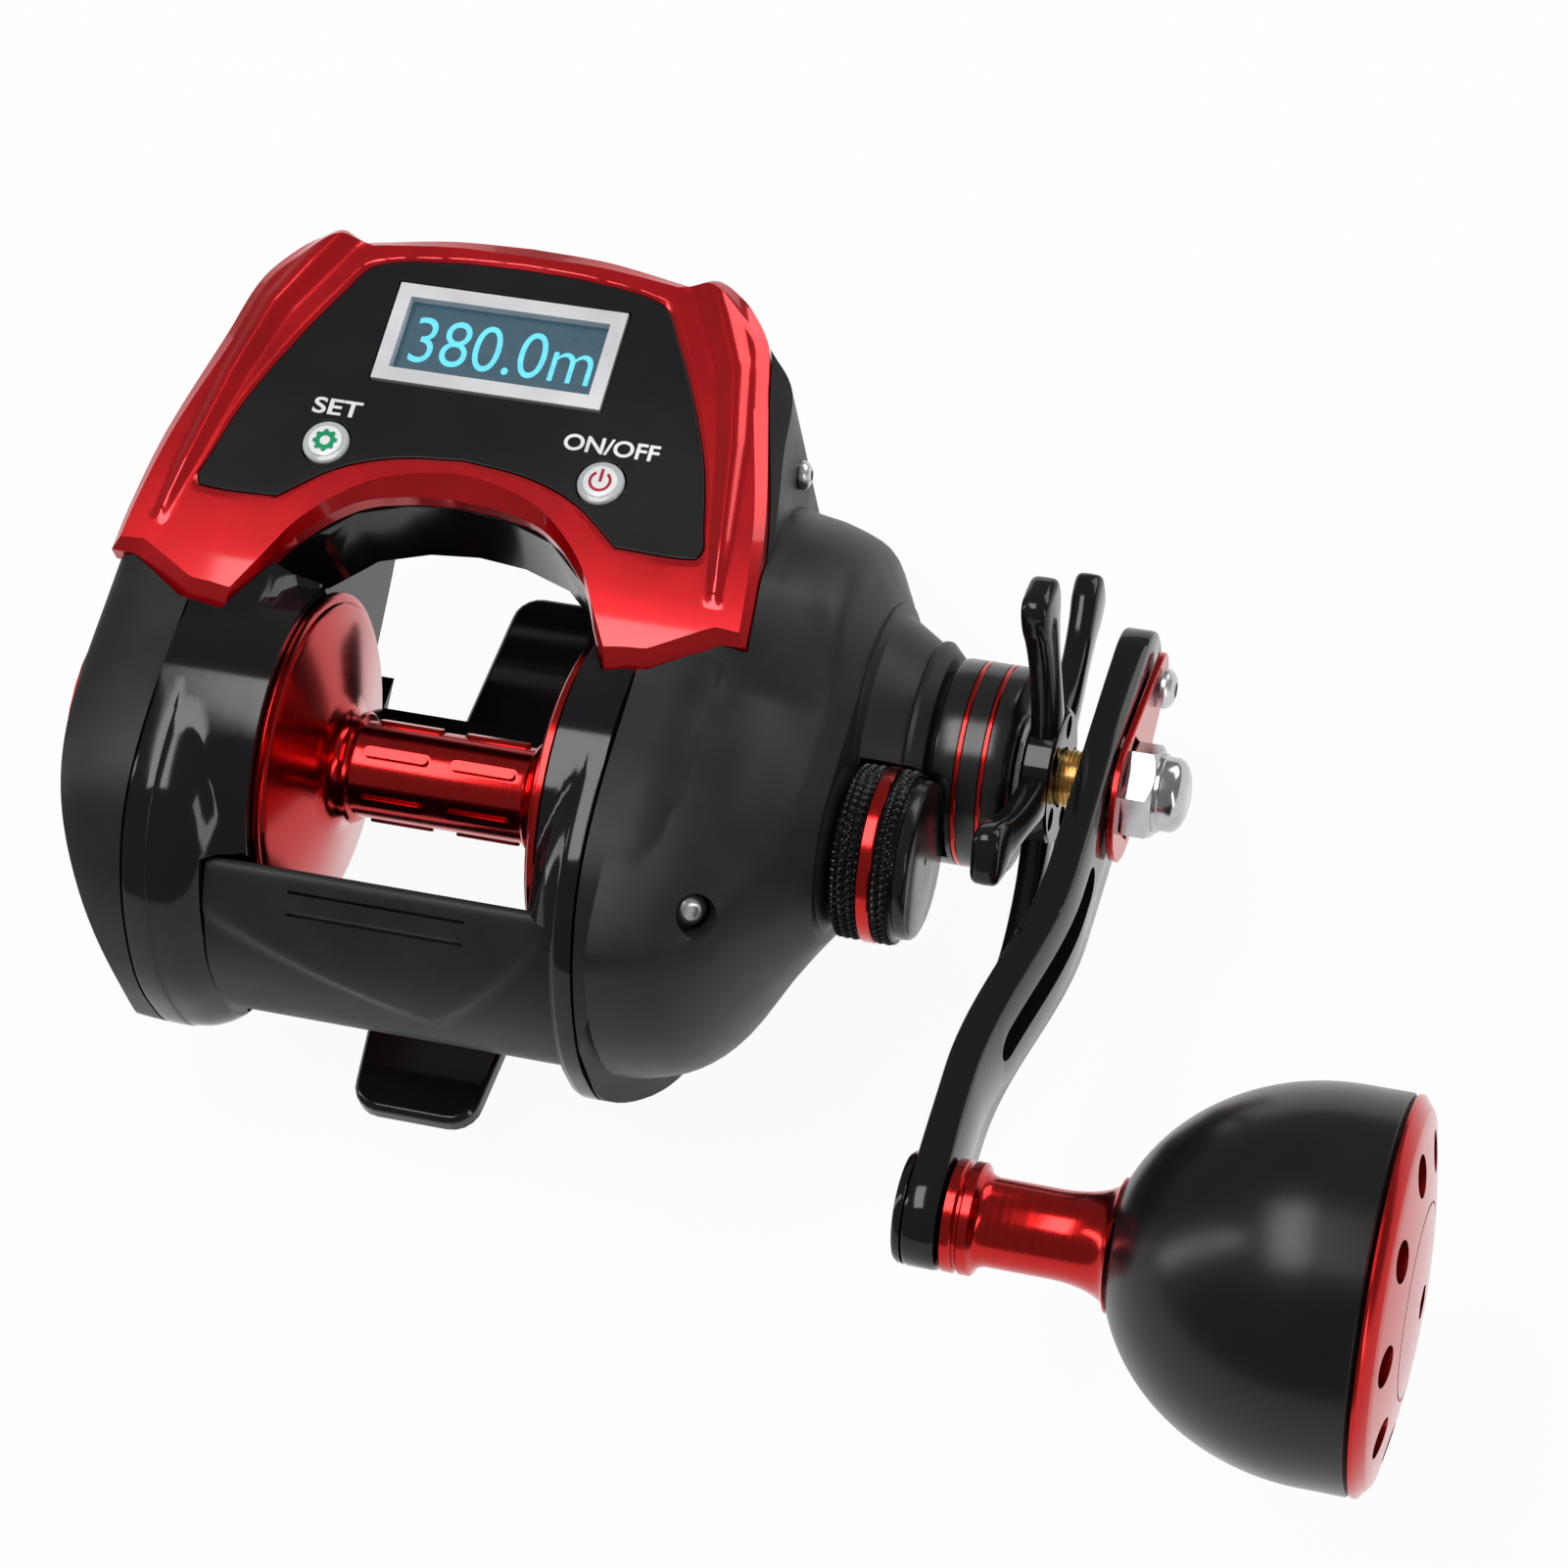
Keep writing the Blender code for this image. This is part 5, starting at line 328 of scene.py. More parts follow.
# Thread of the drive shaft: start, pitch, turns, and the profile of one from its place
THREAD_START, THREAD_PITCH, THREAD_TURNS = 58.9, 0.48, 14
THREAD = ((0, 2.95), (0.16, 3.13), (0.24, 3.13), (0.4, 2.95))
STAR_HUB_START, STAR_HUB_END = 59.9, 63.1
STAR_HUB = (
    (STAR_HUB_START, 3.3), (STAR_HUB_START, 7.0), (60.2, 7.4), (62.8, 7.4), (STAR_HUB_END, 7.0), (STAR_HUB_END, 3.3),
)
NUT_CHAMFER = (
    (69.0, 0), (69.0, 4.75), (69.8, 4.75), (70.3, 5.4), (73.0, 5.4), (73.7, 4.6), (74.0, 4.6), (74.0, 0),
)
NUT_TIP = (
    (73.0, 0), (73.0, 4.3), (74.15, 4.3), (74.3, 4.05), (75.5, 4.0), (76.0, 3.75), (76.45, 3.2), (76.75, 2.5),
    (76.88, 1.8), (76.9, 0),
)
# The same about the handle knob's axis
SPINDLE = ((60.7, 0), (60.7, 5.0), (60.85, 5.4), (61.2, 5.65), (61.7, 5.7), (61.7, 2.0), (105.6, 2.0), (105.6, 0))
STEM_RINGS = (
    (65.6, 2.5), (65.6, 5.45), (65.8, 5.7), (66.7, 5.7), (66.9, 5.5), (66.95, 5.2), (67.25, 5.2), (67.3, 5.5),
    (67.5, 5.7), (68.4, 5.7), (68.6, 5.5), (68.75, 5.1), (69.2, 4.7), (69.8, 4.5),
)
# Flare of the stem: steps, start, width, radius at the start and rise
FLARE_STEPS, FLARE_START, FLARE_WIDTH, FLARE_RADIUS, FLARE_RISE = 14, 76.2, 6.2, 4.5, 2.3
STEM_END = ((82.6, 6.7), (82.6, 2.5))
# Knob: steps, widest place, length of its round part, radius, and radius where the round part starts
BALL_STEPS, BALL_PLACE, BALL_LENGTH, BALL_RADIUS, BALL_NECK = 40, 104.0, 21.1, 19.8, 7.1
BALL_MOUTH = ((82.9, 4.4), (82.9, 6.8))
BALL_REAR = ((108.6, BALL_RADIUS), (108.8, 19.6), (108.8, 15.0), (104.3, 15.0), (104.3, 4.4))
CAP_RIM = ((109.1, 0), (109.1, 19.6), (109.25, 19.8), (109.55, 19.8), (109.7, 19.7), (110.65, 18.5))
# Dome of the end cap: steps, start, height and radius; its holes: count, reach and radius
DOME_STEPS, DOME_START, DOME_HEIGHT, DOME_RADIUS = 13, 110.7, 1.98, 18.4
CAP_HOLES, CAP_HOLE_REACH, CAP_HOLE = 9, 14.6, 2.1
CAP_GROOVE = ((111.9, 9.6), (111.9, 9.85), (113.5, 9.85), (113.5, 9.6))

# Words in the display plane: piece, text, width, place, level, weight, material and solid they belong to
READING = ("display_reading", "380.0m", 20.6, (0.1, 0.1), -1.44, -0.006, "display_digits", "display_module")
LABELS = (
    ("label_set", "SET", 5.5, (-15.5, -10.3), PANEL_FACE, 0.02, "label_white", "display_panel"),
    ("label_power", "ON/OFF", 10.6, (15.5, -10.3), PANEL_FACE, 0.02, "label_white", "display_panel"),
)


# Properties

def colour_property(name, description, default):
    return bpy.props.FloatVectorProperty(
        name=name, description=description, default=default, size=3, min=0, max=1, subtype="COLOR")


def length_property(name, description, default):
    return bpy.props.FloatProperty(
        name=name, description=description, default=default, min=0, unit="LENGTH", precision=5)


class ReelColours(bpy.types.PropertyGroup):
    black: colour_property("Black", "Lacquer of the frame, arm and knob", (0.006, 0.006, 0.007))
    satin_black: colour_property("Satin black", "Moulded side covers and thumb bar", (0.015, 0.015, 0.016))
    lacquer_red: colour_property("Lacquer red", "Trim round the display", (0.42, 0.002, 0.005))
    metal_red: colour_property("Metal red", "Anodised spool, stem, plate and cap", (0.5, 0.01, 0.009))
    display_digits: colour_property("Digits", "Lit digits of the display", (0.15, 0.8, 1.0))
    display_ground: colour_property("Display ground", "Unlit ground of the display", (0.035, 0.085, 0.12))
    gear_mark: colour_property("Gear mark", "Icon on the left button", (0.0, 0.3, 0.12))
    power_mark: colour_property("Power mark", "Icon on the right button", (0.4, 0.0, 0.02))
    floor: colour_property("Floor", "Floor and backdrop", (0.9, 0.9, 0.9))


class ReelSizes(bpy.types.PropertyGroup):
    edge: length_property("Edge", "Rounding of turned and cut edges", 0.22 * MM)
    shell_edge: length_property("Shell edge", "Rounding of the moulded shells' edges", 0.35 * MM)
    turned_steps: bpy.props.IntProperty(
        name="Steps", description="Steps round a turned piece", default=128, min=24, max=256)
    digit_height: length_property("Digit height", "Height of the display's digits", 5.7 * MM)
    label_height: length_property("Label height", "Height of the words over the buttons", 2.0 * MM)


class ReelStudio(bpy.types.PropertyGroup):
    lens: bpy.props.FloatProperty(
        name="Lens", description="Focal length", default=103.54, min=10, unit="CAMERA")
    key_power: bpy.props.FloatProperty(
        name="Key light", description="Power of the long light overhead", default=7.0, min=0, unit="POWER")
    back_power: bpy.props.FloatProperty(
        name="Back light", description="Power of the large light behind", default=5.0, min=0, unit="POWER")
    strip_power: bpy.props.FloatProperty(
        name="Strip lights", description="Power of the left strip; the right one has a share of it", default=2.4,
        min=0, unit="POWER")
    sky: bpy.props.FloatProperty(
        name="Sky", description="Strength of the even light all round", default=0.26, min=0, max=2)


# Materials

NOISE_SPAN = (0.3, 0.7)


class Nodes:
    """Small helper that adds and links shader nodes."""

    def __init__(self, name):
        self.material = bpy.data.materials.new(name)
        self.material.use_nodes = True
        self.tree = self.material.node_tree
        self.shader = self.tree.nodes["Principled BSDF"]
        self.place = self.add("ShaderNodeTexCoord").outputs["Object"]

    def add(self, kind, **settings):
        node = self.tree.nodes.new(kind)
        for key, value in settings.items():
            setattr(node, key, value)
        return node

    def link(self, source, target):
        self.tree.links.new(source, target)

    def about(self, centre):
        """Object coordinates about a centre."""
        shift = self.add("ShaderNodeVectorMath", operation="SUBTRACT")
        self.link(self.place, shift.inputs[0])
        shift.inputs[1].default_value = centre
        return shift.outputs[0]

    def noise(self, scale, detail=3.0, place=None):
        node = self.add("ShaderNodeTexNoise")
        node.inputs["Scale"].default_value = scale
        node.inputs["Detail"].default_value = detail
        self.link(place or self.place, node.inputs["Vector"])
        return node.outputs["Fac"]

    def ranged(self, value, low, high):
        """Spread the usual span of a noise over a range."""
        node = self.add("ShaderNodeMapRange")
        node.inputs["From Min"].default_value, node.inputs["From Max"].default_value = NOISE_SPAN
        node.inputs["To Min"].default_value = low
        node.inputs["To Max"].default_value = high
        self.link(value, node.inputs["Value"])
        return node.outputs["Result"]

    def mixed(self, value, first, second):
        node = self.add("ShaderNodeMix", data_type="RGBA")
        node.inputs["A"].default_value = (*first, 1)
        node.inputs["B"].default_value = (*second, 1)
        self.link(value, node.inputs["Factor"])
        return node.outputs["Result"]

    def paint(self, value, first, second):
        """Base colour that wanders between two colours."""
        self.link(self.mixed(self.ranged(value, 0, 1), first, second), self.shader.inputs["Base Color"])

    def roughen(self, value, low, high):
        """Roughness that wanders between two values."""
        self.link(self.ranged(value, low, high), self.shader.inputs["Roughness"])

    def bump(self, height, distance):
        node = self.add("ShaderNodeBump")
        node.inputs["Strength"].default_value = 1.0
        node.inputs["Distance"].default_value = distance
        self.link(height, node.inputs["Height"])
        self.link(node.outputs["Normal"], self.shader.inputs["Normal"])

    def set(self, **values):
        names = {"metallic": "Metallic", "coat": "Coat Weight", "coat_roughness": "Coat Roughness",
                 "specular": "Specular IOR Level"}
        for key, value in values.items():
            self.shader.inputs[names[key]].default_value = value


def shade(colour, factor):
    """Lighter or darker colour."""
    return tuple(min(channel * factor, 1.0) for channel in colour)


def lacquer(name, colour, roughness, metallic=0.0, specular=0.5, coat=0.0):
    """Smooth lacquer with a faint orange peel and finger haze."""
    nodes = Nodes(name)
    nodes.paint(nodes.noise(160.0, 2.0), colour, shade(colour, 1.25))
    nodes.roughen(nodes.noise(60.0), roughness * 0.8, roughness * 1.3)
    nodes.bump(nodes.noise(900.0, 1.0), 0.002 * MM)
    nodes.set(metallic=metallic, specular=specular, coat=coat, coat_roughness=0.04)
    return nodes.material


def moulding(name, colour, roughness):
    """Satin moulded plastic with a fine spark-eroded grain."""
    nodes = Nodes(name)
    nodes.paint(nodes.noise(220.0, 4.0), shade(colour, 0.85), shade(colour, 1.2))
    nodes.roughen(nodes.noise(120.0), roughness - 0.04, roughness + 0.06)
    nodes.bump(nodes.noise(7000.0, 2.0), 0.006 * MM)
    nodes.set(specular=0.25)
    return nodes.material


def turned_metal(name, colour, centre, roughness, marks=1.0, metallic=1.0, coat=0.0):
    """Metal turned about the X axis through a centre, with fine circular tool marks."""
    nodes = Nodes(name)
    split = nodes.add("ShaderNodeSeparateXYZ")
    nodes.link(nodes.about(centre), split.inputs[0])
    flat = nodes.add("ShaderNodeCombineXYZ")
    nodes.link(split.outputs["Y"], flat.inputs["Y"])
    nodes.link(split.outputs["Z"], flat.inputs["Z"])
    reach = nodes.add("ShaderNodeVectorMath", operation="LENGTH")
    nodes.link(flat.outputs[0], reach.inputs[0])
    track = nodes.add("ShaderNodeCombineXYZ")
    nodes.link(split.outputs["X"], track.inputs["X"])
    nodes.link(reach.outputs["Value"], track.inputs["Y"])
    lathe = nodes.noise(9000.0, 2.0, track.outputs[0])
    nodes.paint(lathe, shade(colour, 0.9), shade(colour, 1.12))
    nodes.roughen(lathe, roughness * 0.8, roughness * 1.25)
    nodes.bump(lathe, 0.0015 * MM * marks)
    nodes.set(metallic=metallic, coat=coat, coat_roughness=0.12)
    return nodes.material


def plain_metal(name, colour, roughness):
    """Metal with a soft uneven polish."""
    nodes = Nodes(name)
    cloud = nodes.noise(400.0, 4.0)
    nodes.paint(cloud, shade(colour, 0.9), shade(colour, 1.08))
    nodes.roughen(cloud, roughness * 0.8, roughness * 1.3)
    nodes.bump(nodes.noise(3000.0, 2.0), 0.001 * MM)
    nodes.set(metallic=1.0)
    return nodes.material


def woven(name, colour):
    """Woven friction facing."""
    nodes = Nodes(name)
    weave = nodes.add("ShaderNodeTexChecker")
    weave.inputs["Scale"].default_value = 900.0
    weave.inputs["Color1"].default_value = (*shade(colour, 0.6), 1)
    weave.inputs["Color2"].default_value = (*shade(colour, 1.5), 1)
    nodes.link(nodes.place, weave.inputs["Vector"])
    nodes.link(weave.outputs["Color"], nodes.shader.inputs["Base Color"])
    nodes.roughen(nodes.noise(2000.0), 0.55, 0.75)
    return nodes.material


def coated_board(name, colour):
    """Circuit board coating with fine copper tracks under it."""
    nodes = Nodes(name)
    tracks = nodes.add("ShaderNodeTexBrick")
    tracks.inputs["Scale"].default_value = 500.0
    tracks.inputs["Mortar Size"].default_value = 0.03
    tracks.inputs["Color1"].default_value = (*colour, 1)
    tracks.inputs["Color2"].default_value = (*shade(colour, 1.3), 1)
    tracks.inputs["Mortar"].default_value = (*shade(colour, 2.4), 1)
    nodes.link(nodes.place, tracks.inputs["Vector"])
    nodes.link(tracks.outputs["Color"], nodes.shader.inputs["Base Color"])
    nodes.roughen(nodes.noise(300.0), 0.35, 0.5)
    return nodes.material


def lit(name, colour, strength):
    """Glowing segment of the display, slightly uneven."""
    nodes = Nodes(name)
    glow = nodes.mixed(nodes.ranged(nodes.noise(900.0), 0, 1), shade(colour, 0.85), colour)
    nodes.link(glow, nodes.shader.inputs["Emission Color"])
    nodes.shader.inputs["Emission Strength"].default_value = strength
    nodes.shader.inputs["Base Color"].default_value = (0.01, 0.02, 0.03, 1)
    nodes.roughen(nodes.noise(500.0), 0.25, 0.35)
    return nodes.material


MATERIALS = {}


def make_materials():
    colours = bpy.context.scene.reel_colours
    black, satin, red = tuple(colours.black), tuple(colours.satin_black), tuple(colours.metal_red)
    ground = tuple(colours.display_ground)
    MATERIALS.update({
        "gloss_black": lacquer("gloss_black_lacquer", black, roughness=0.09, specular=0.3),
        "satin_black": moulding("satin_black_moulding", satin, 0.42),
        "panel_black": lacquer("black_panel", black, roughness=0.16, specular=0.35),
        "lacquer_red": lacquer("red_lacquer", tuple(colours.lacquer_red), metallic=0.55, roughness=0.2,
                               specular=0.25, coat=0.5),
        "spool_red": turned_metal("red_anodised_spool", red, SPOOL_AXIS, 0.18, coat=0.3),
        "knob_red": turned_metal("red_anodised_knob", red, KNOB_AXIS, 0.2, coat=0.3),
        "drive_red": turned_metal("red_anodised_drive", red, DRIVE_AXIS, 0.22, coat=0.3),
        "drive_black": turned_metal("black_anodised_drive", shade(satin, 0.8), DRIVE_AXIS, 0.22, 0.6, 0.2),
        "spool_black": turned_metal("black_anodised_tension", shade(satin, 0.7), SPOOL_AXIS, 0.2, 0.6, 0.35),
        "spool_steel": turned_metal("turned_steel_spool", (0.62, 0.62, 0.64), SPOOL_AXIS, 0.25),
        "drive_steel": turned_metal("turned_steel_drive", (0.62, 0.62, 0.64), DRIVE_AXIS, 0.25),
        "knob_steel": turned_metal("turned_steel_knob", (0.62, 0.62, 0.64), KNOB_AXIS, 0.25),
        "brass": turned_metal("turned_brass", (0.78, 0.5, 0.18), DRIVE_AXIS, 0.28),
        "knob_black": lacquer("black_knob", black, roughness=0.24, specular=0.3),
        "steel": plain_metal("polished_steel", (0.6, 0.6, 0.62), 0.3),
        "chrome": plain_metal("polished_chrome", (0.5, 0.5, 0.52), 0.17),
        "window_silver": lacquer("satin_silver_border", (0.58, 0.58, 0.6), metallic=0.25, roughness=0.38),
        "display_ground": lit("display_ground", ground, 1.0),
        "display_digits": lit("display_digits", tuple(colours.display_digits), 1.1),
        "pearl": lacquer("pearl_button", (0.72, 0.73, 0.74), roughness=0.2),
        "clear_ring": lacquer("clear_button_ring", (0.42, 0.44, 0.45), roughness=0.1),
        "label_white": moulding("white_label", (0.8, 0.8, 0.8), 0.45),
        "gear_mark": moulding("green_mark", tuple(colours.gear_mark), 0.4),
        "power_mark": moulding("red_mark", tuple(colours.power_mark), 0.4),
        "ceramic": lacquer("glazed_ceramic", (0.8, 0.79, 0.74), roughness=0.12),
        "nylon": moulding("natural_nylon", (0.68, 0.67, 0.62), 0.45),
        "carbon": woven("woven_carbon", (0.03, 0.03, 0.03)),
        "board": coated_board("green_board", (0.02, 0.15, 0.06)),
    })


# Shape helpers

def wrap(name, shape, material, body, stands_for=(), sharp=SHARP):
    """Turn a bmesh into a piece that rides on a body and may stand for solids of the frame."""
    mesh = bpy.data.meshes.new(name)
    shape.to_mesh(mesh)
    shape.free()
    return wrap_mesh(name, mesh, material, body, stands_for, sharp)


def wrap_mesh(name, mesh, material, body, stands_for=(), sharp=SHARP):
    mesh.name = name
    mesh.shade_smooth()
    mesh.set_sharp_from_angle(angle=math.radians(sharp))
    mesh.materials.clear()
    mesh.materials.append(MATERIALS[material])
    piece = bpy.data.objects.new(name, mesh)
    bpy.context.scene.collection.objects.link(piece)
    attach(piece, body)
    if stands_for:
        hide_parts(*stands_for)
    return piece


def stand_in(name, shape, material, node, sharp=SHARP):
    """Piece that takes a solid's place, with its body."""
    return wrap(name, shape, material, body_of(node), [node], sharp)


def extra(name, shape, material, node):
    """Piece that is added to a solid, with its body."""
    wrap(name, shape, material, body_of(node))


def body_of(node):
    return frame["nodes"][node]["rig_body"]


def solid_copy(node):
    """Copy of a frame solid with its points merged and its flat faces joined."""
    shape = bmesh.new()
    shape.from_mesh(frame["nodes"][node].data)
    bmesh.ops.remove_doubles(shape, verts=shape.verts, dist=0.001 * MM)
    bmesh.ops.dissolve_limit(shape, angle_limit=math.radians(0.4), verts=shape.verts, edges=shape.edges)
    return shape


def dress(node, material, edge=0.0, sharp=SHARP):
    """Smooth a copy of a solid, round its edges and let it stand for the solid."""
    piece = stand_in(node + "_skin", solid_copy(node), material, node, sharp)
    if edge:
        round_edges(piece, edge, sharp)


def round_edges(piece, width, angle=SHARP):
    bevel = piece.modifiers.new("rounded edges", "BEVEL")
    bevel.width = width
    bevel.segments = 2
    bevel.limit_method = "ANGLE"
    bevel.angle_limit = math.radians(angle)
    bevel.harden_normals = True


def tint(material, *nodes):
    """Give solids that stay as they are their surface."""
    for node in nodes:
        data = frame["nodes"][node].data
        data.materials.clear()
        data.materials.append(MATERIALS[material])


def spun_shape(profile, centre, steps=None, closed=False):
    """Spin (place along X, radius) points, in millimetres, about the X axis through the centre."""
    shape = bmesh.new()
    corners = [shape.verts.new((along * MM, centre.y, centre.z + radius * MM)) for along, radius in profile]
    edges = [shape.edges.new(pair) for pair in zip(corners, corners[1:])]
    if closed:
        edges.append(shape.edges.new((corners[-1], corners[0])))
    count = steps or bpy.context.scene.reel_sizes.turned_steps
    bmesh.ops.spin(shape, geom=corners + edges, cent=centre, axis=(1, 0, 0), angle=math.tau, steps=count,
                   use_merge=True, use_duplicate=False)
    bmesh.ops.remove_doubles(shape, verts=shape.verts, dist=MERGE)
    bmesh.ops.recalc_face_normals(shape, faces=shape.faces)
    return shape


def apply_modifiers(piece):
    """Make the piece's mesh what its modifiers make of it."""
    bpy.context.view_layer.update()
    mesh = bpy.data.meshes.new_from_object(piece.evaluated_get(bpy.context.evaluated_depsgraph_get()))
    old = piece.data
    piece.modifiers.clear()
    piece.data = mesh
    mesh.name = piece.name
    bpy.data.meshes.remove(old)
    mesh.shade_smooth()
    mesh.set_sharp_from_angle(angle=math.radians(SHARP))


def carve(piece, shapes, operation="DIFFERENCE"):
    """Cut shapes out of a piece, or join them to it."""
    tools = []
    for index, shape in enumerate(shapes):
        mesh = bpy.data.meshes.new(f"{piece.name}_tool_{index}")
        shape.to_mesh(mesh)
        shape.free()
        tool = bpy.data.objects.new(mesh.name, mesh)
        bpy.context.scene.collection.objects.link(tool)
        cut = piece.modifiers.new(f"cut_{index}", "BOOLEAN")
        cut.operation = operation
        cut.solver = "EXACT"
        cut.object = tool
        tools.append(tool)
    apply_modifiers(piece)
    for tool in tools:
        mesh = tool.data
        bpy.data.objects.remove(tool)
        bpy.data.meshes.remove(mesh)


def turned_to(shape, place, way):
    """Turn a shape made along the X axis into another direction and move it to a place."""
    turn = Vector((1, 0, 0)).rotation_difference(way.normalized()).to_matrix()
    bmesh.ops.rotate(shape, verts=shape.verts, cent=(0, 0, 0), matrix=turn)
    bmesh.ops.translate(shape, verts=shape.verts, vec=place)
    return shape


def rod_shape(left, right, radius, centre, steps=48):
    """Round bar along X."""
    return spun_shape([(left, 0), (left, radius), (right, radius), (right, 0)], centre, steps)


def hex_shape(left, right, radius, centre, turn=0.0):
    """Six-sided bar along X."""
    shape = bmesh.new()
    place = Matrix.Translation((0, centre.y, centre.z)) @ Matrix.Rotation(turn, 4, "X")
    place = place @ Matrix.Translation(((left + right) / 2 * MM, 0, 0)) @ Matrix.Rotation(math.pi / 2, 4, "Y")
    bmesh.ops.create_cone(shape, cap_ends=True, segments=6, radius1=radius * MM, radius2=radius * MM,
                          depth=(right - left) * MM, matrix=place)
    return shape


def limited(value):
    """Value held between 0 and 1."""
    return min(max(value, 0), 1)


def spot(x, forward, up):
    """Place, in millimetres about the spool axis, as a point of the frame."""
    return Vector((x, forward, up)) * MM + SPOOL_AXIS


def path(points, steps, closed=True):
    """Smooth line through the points; a point with a third value keeps its corner."""
    marks = [Vector(point[:2]) for point in points]
    sharp = [len(point) > 2 for point in points]
    count = len(points)
    line = []
    for index in range(count if closed else count - 1):
        following = (index + 1) % count
        start, end = marks[index], marks[following]
        before = marks[index - 1] if closed or index else start
        after = marks[(index + 2) % count] if closed or index < count - 2 else end
        length = (end - start).length
        leaving = (end - (start if sharp[index] else before)).normalized() * length
        arriving = ((end if sharp[following] else after) - start).normalized() * length
        curve = 2 * start - 2 * end + leaving + arriving
        bend = 3 * end - 3 * start - 2 * leaving - arriving
        for step in range(steps):
            share = step / steps
            line.append(start + leaving * share + bend * share ** 2 + curve * share ** 3)
    if not closed:
        line.append(marks[-1])
    return line


def blended(rows, steps):
    """Rows of a table, with smooth rows between them."""
    table = []
    for index in range(len(rows) - 1):
        start, end = rows[index], rows[index + 1]
        before, after = rows[max(index - 1, 0)], rows[min(index + 2, len(rows) - 1)]
        for step in range(steps):
            share = step / steps
            table.append(tuple(
                b + 0.5 * share * (c - a + share * (2 * a - 5 * b + 4 * c - d + share * (3 * (b - c) + d - a)))
                for a, b, c, d in zip(before, start, end, after)))
    table.append(rows[-1])
    return table


def mirrored_path(half):
    """Close a right half line, front to rear, with its mirror image."""
    return half + [Vector((-point.x, point.y)) for point in reversed(half) if abs(point.x) > 0.01]


def grown(points, distance):
    """Move a closed line outwards, or inwards where the distance is negative."""
    count = len(points)
    area = sum(points[i - 1].x * points[i].y - points[i].x * points[i - 1].y for i in range(count))
    turn = 1 if area > 0 else -1
    result = []
    for index, point in enumerate(points):
        along = (points[(index + 1) % count] - points[index - 1]).normalized()
        result.append(point + Vector((along.y, -along.x)) * distance * turn)
    return result


def face_outwards(shape):
    """Turn all faces of a closed shape to the outside."""
    bmesh.ops.recalc_face_normals(shape, faces=shape.faces)
    if shape.calc_volume(signed=True) < 0:
        bmesh.ops.reverse_faces(shape, faces=shape.faces)


def skinned(loops):
    """Bridge closed loops of points in order, and cap both ends."""
    shape = bmesh.new()
    rings = []
    for loop in loops:
        corners = [shape.verts.new(point) for point in loop]
        rings.append([shape.edges.new(pair) for pair in zip(corners, corners[1:] + corners[:1])])
    for first, second in zip(rings, rings[1:]):
        bmesh.ops.bridge_loops(shape, edges=first + second)
    bmesh.ops.contextual_create(shape, geom=rings[0])
    bmesh.ops.contextual_create(shape, geom=rings[-1])
    face_outwards(shape)
    return shape


def side_stack(layers):
    """Shape from side lines (forward, up) at their places along X."""
    return skinned([[spot(along, point.x, point.y) for point in line] for along, line in layers])


def plan_stack(layers, place=None):
    """Shape from plan lines (right, forward) at their heights, in the display's or a given place."""
    turn = place or DISPLAY_PLACE
    return skinned([[turn @ (Vector((point.x, point.y, height)) * MM) for point in line]
                    for height, line in layers])


def box_shape(low, high, place=None):
    """Box between two corners, in millimetres about the spool axis or in a given place."""
    shape = bmesh.new()
    middle = (Vector(low) + Vector(high)) / 2 * MM
    size = (Vector(high) - Vector(low)) * MM
    turn = place or Matrix.Translation(SPOOL_AXIS)
    bmesh.ops.create_cube(shape, size=1, matrix=turn @ Matrix.Translation(middle) @ Matrix.Diagonal((*size, 1)))
    return shape


def drawn_in(line, distance):
    """Move points towards the body's spine."""
    spine = SPINE_FRONT - SPINE_REAR
    result = []
    for point in line:
        share = limited((point - SPINE_REAR).dot(spine) / spine.length_squared)
        result.append(point - (point - SPINE_REAR - spine * share).normalized() * distance)
    return result


def trim_pocket():
    """Room for the trim, with its clearance."""
    line = grown(mirrored_path(path(TRIM_OUTLINE, 4, closed=False)), TRIM_GAP)
    return plan_stack([(POCKET_FLOOR, line), (POCKET_TOP, line)])


def plan_limit(flank):
    """Cutter with the body's plan line, which tapers to the front."""
    side = [Vector((x, y)) for x, y in blended([tuple(row) for row in reversed(flank)], 6)]
    front = [Vector((0, PLAN_FRONT)), Vector((side[0].x, PLAN_FRONT))]
    line = mirrored_path(front + side + [Vector((side[-1].x, PLAN_REAR)), Vector((0, PLAN_REAR))])
    place = Matrix.Translation(SPOOL_AXIS + Vector((BODY_MIDDLE, 0, 0)) * MM)
    return plan_stack([(-PLAN_REACH, line), (PLAN_REACH, line)], place)


def thumb_room():
    """Room for the ends of the thumb bar along its travel."""
    line = grown(path(THUMB_OUTLINE, 4), THUMB_GAP)
    pressed = [point + THUMB_WAY * THUMB_TRAVEL for point in line]
    shape = bmesh.new()
    for along in (-THUMB_ROOM_HALF, THUMB_ROOM_HALF):
        for point in line + pressed + [point * 1.3 for point in line]:
            shape.verts.new(spot(along, point.x, point.y))
    result = bmesh.ops.convex_hull(shape, input=shape.verts)
    bmesh.ops.delete(shape, geom=result["geom_interior"], context="VERTS")
    bmesh.ops.recalc_face_normals(shape, faces=shape.faces)
    return shape


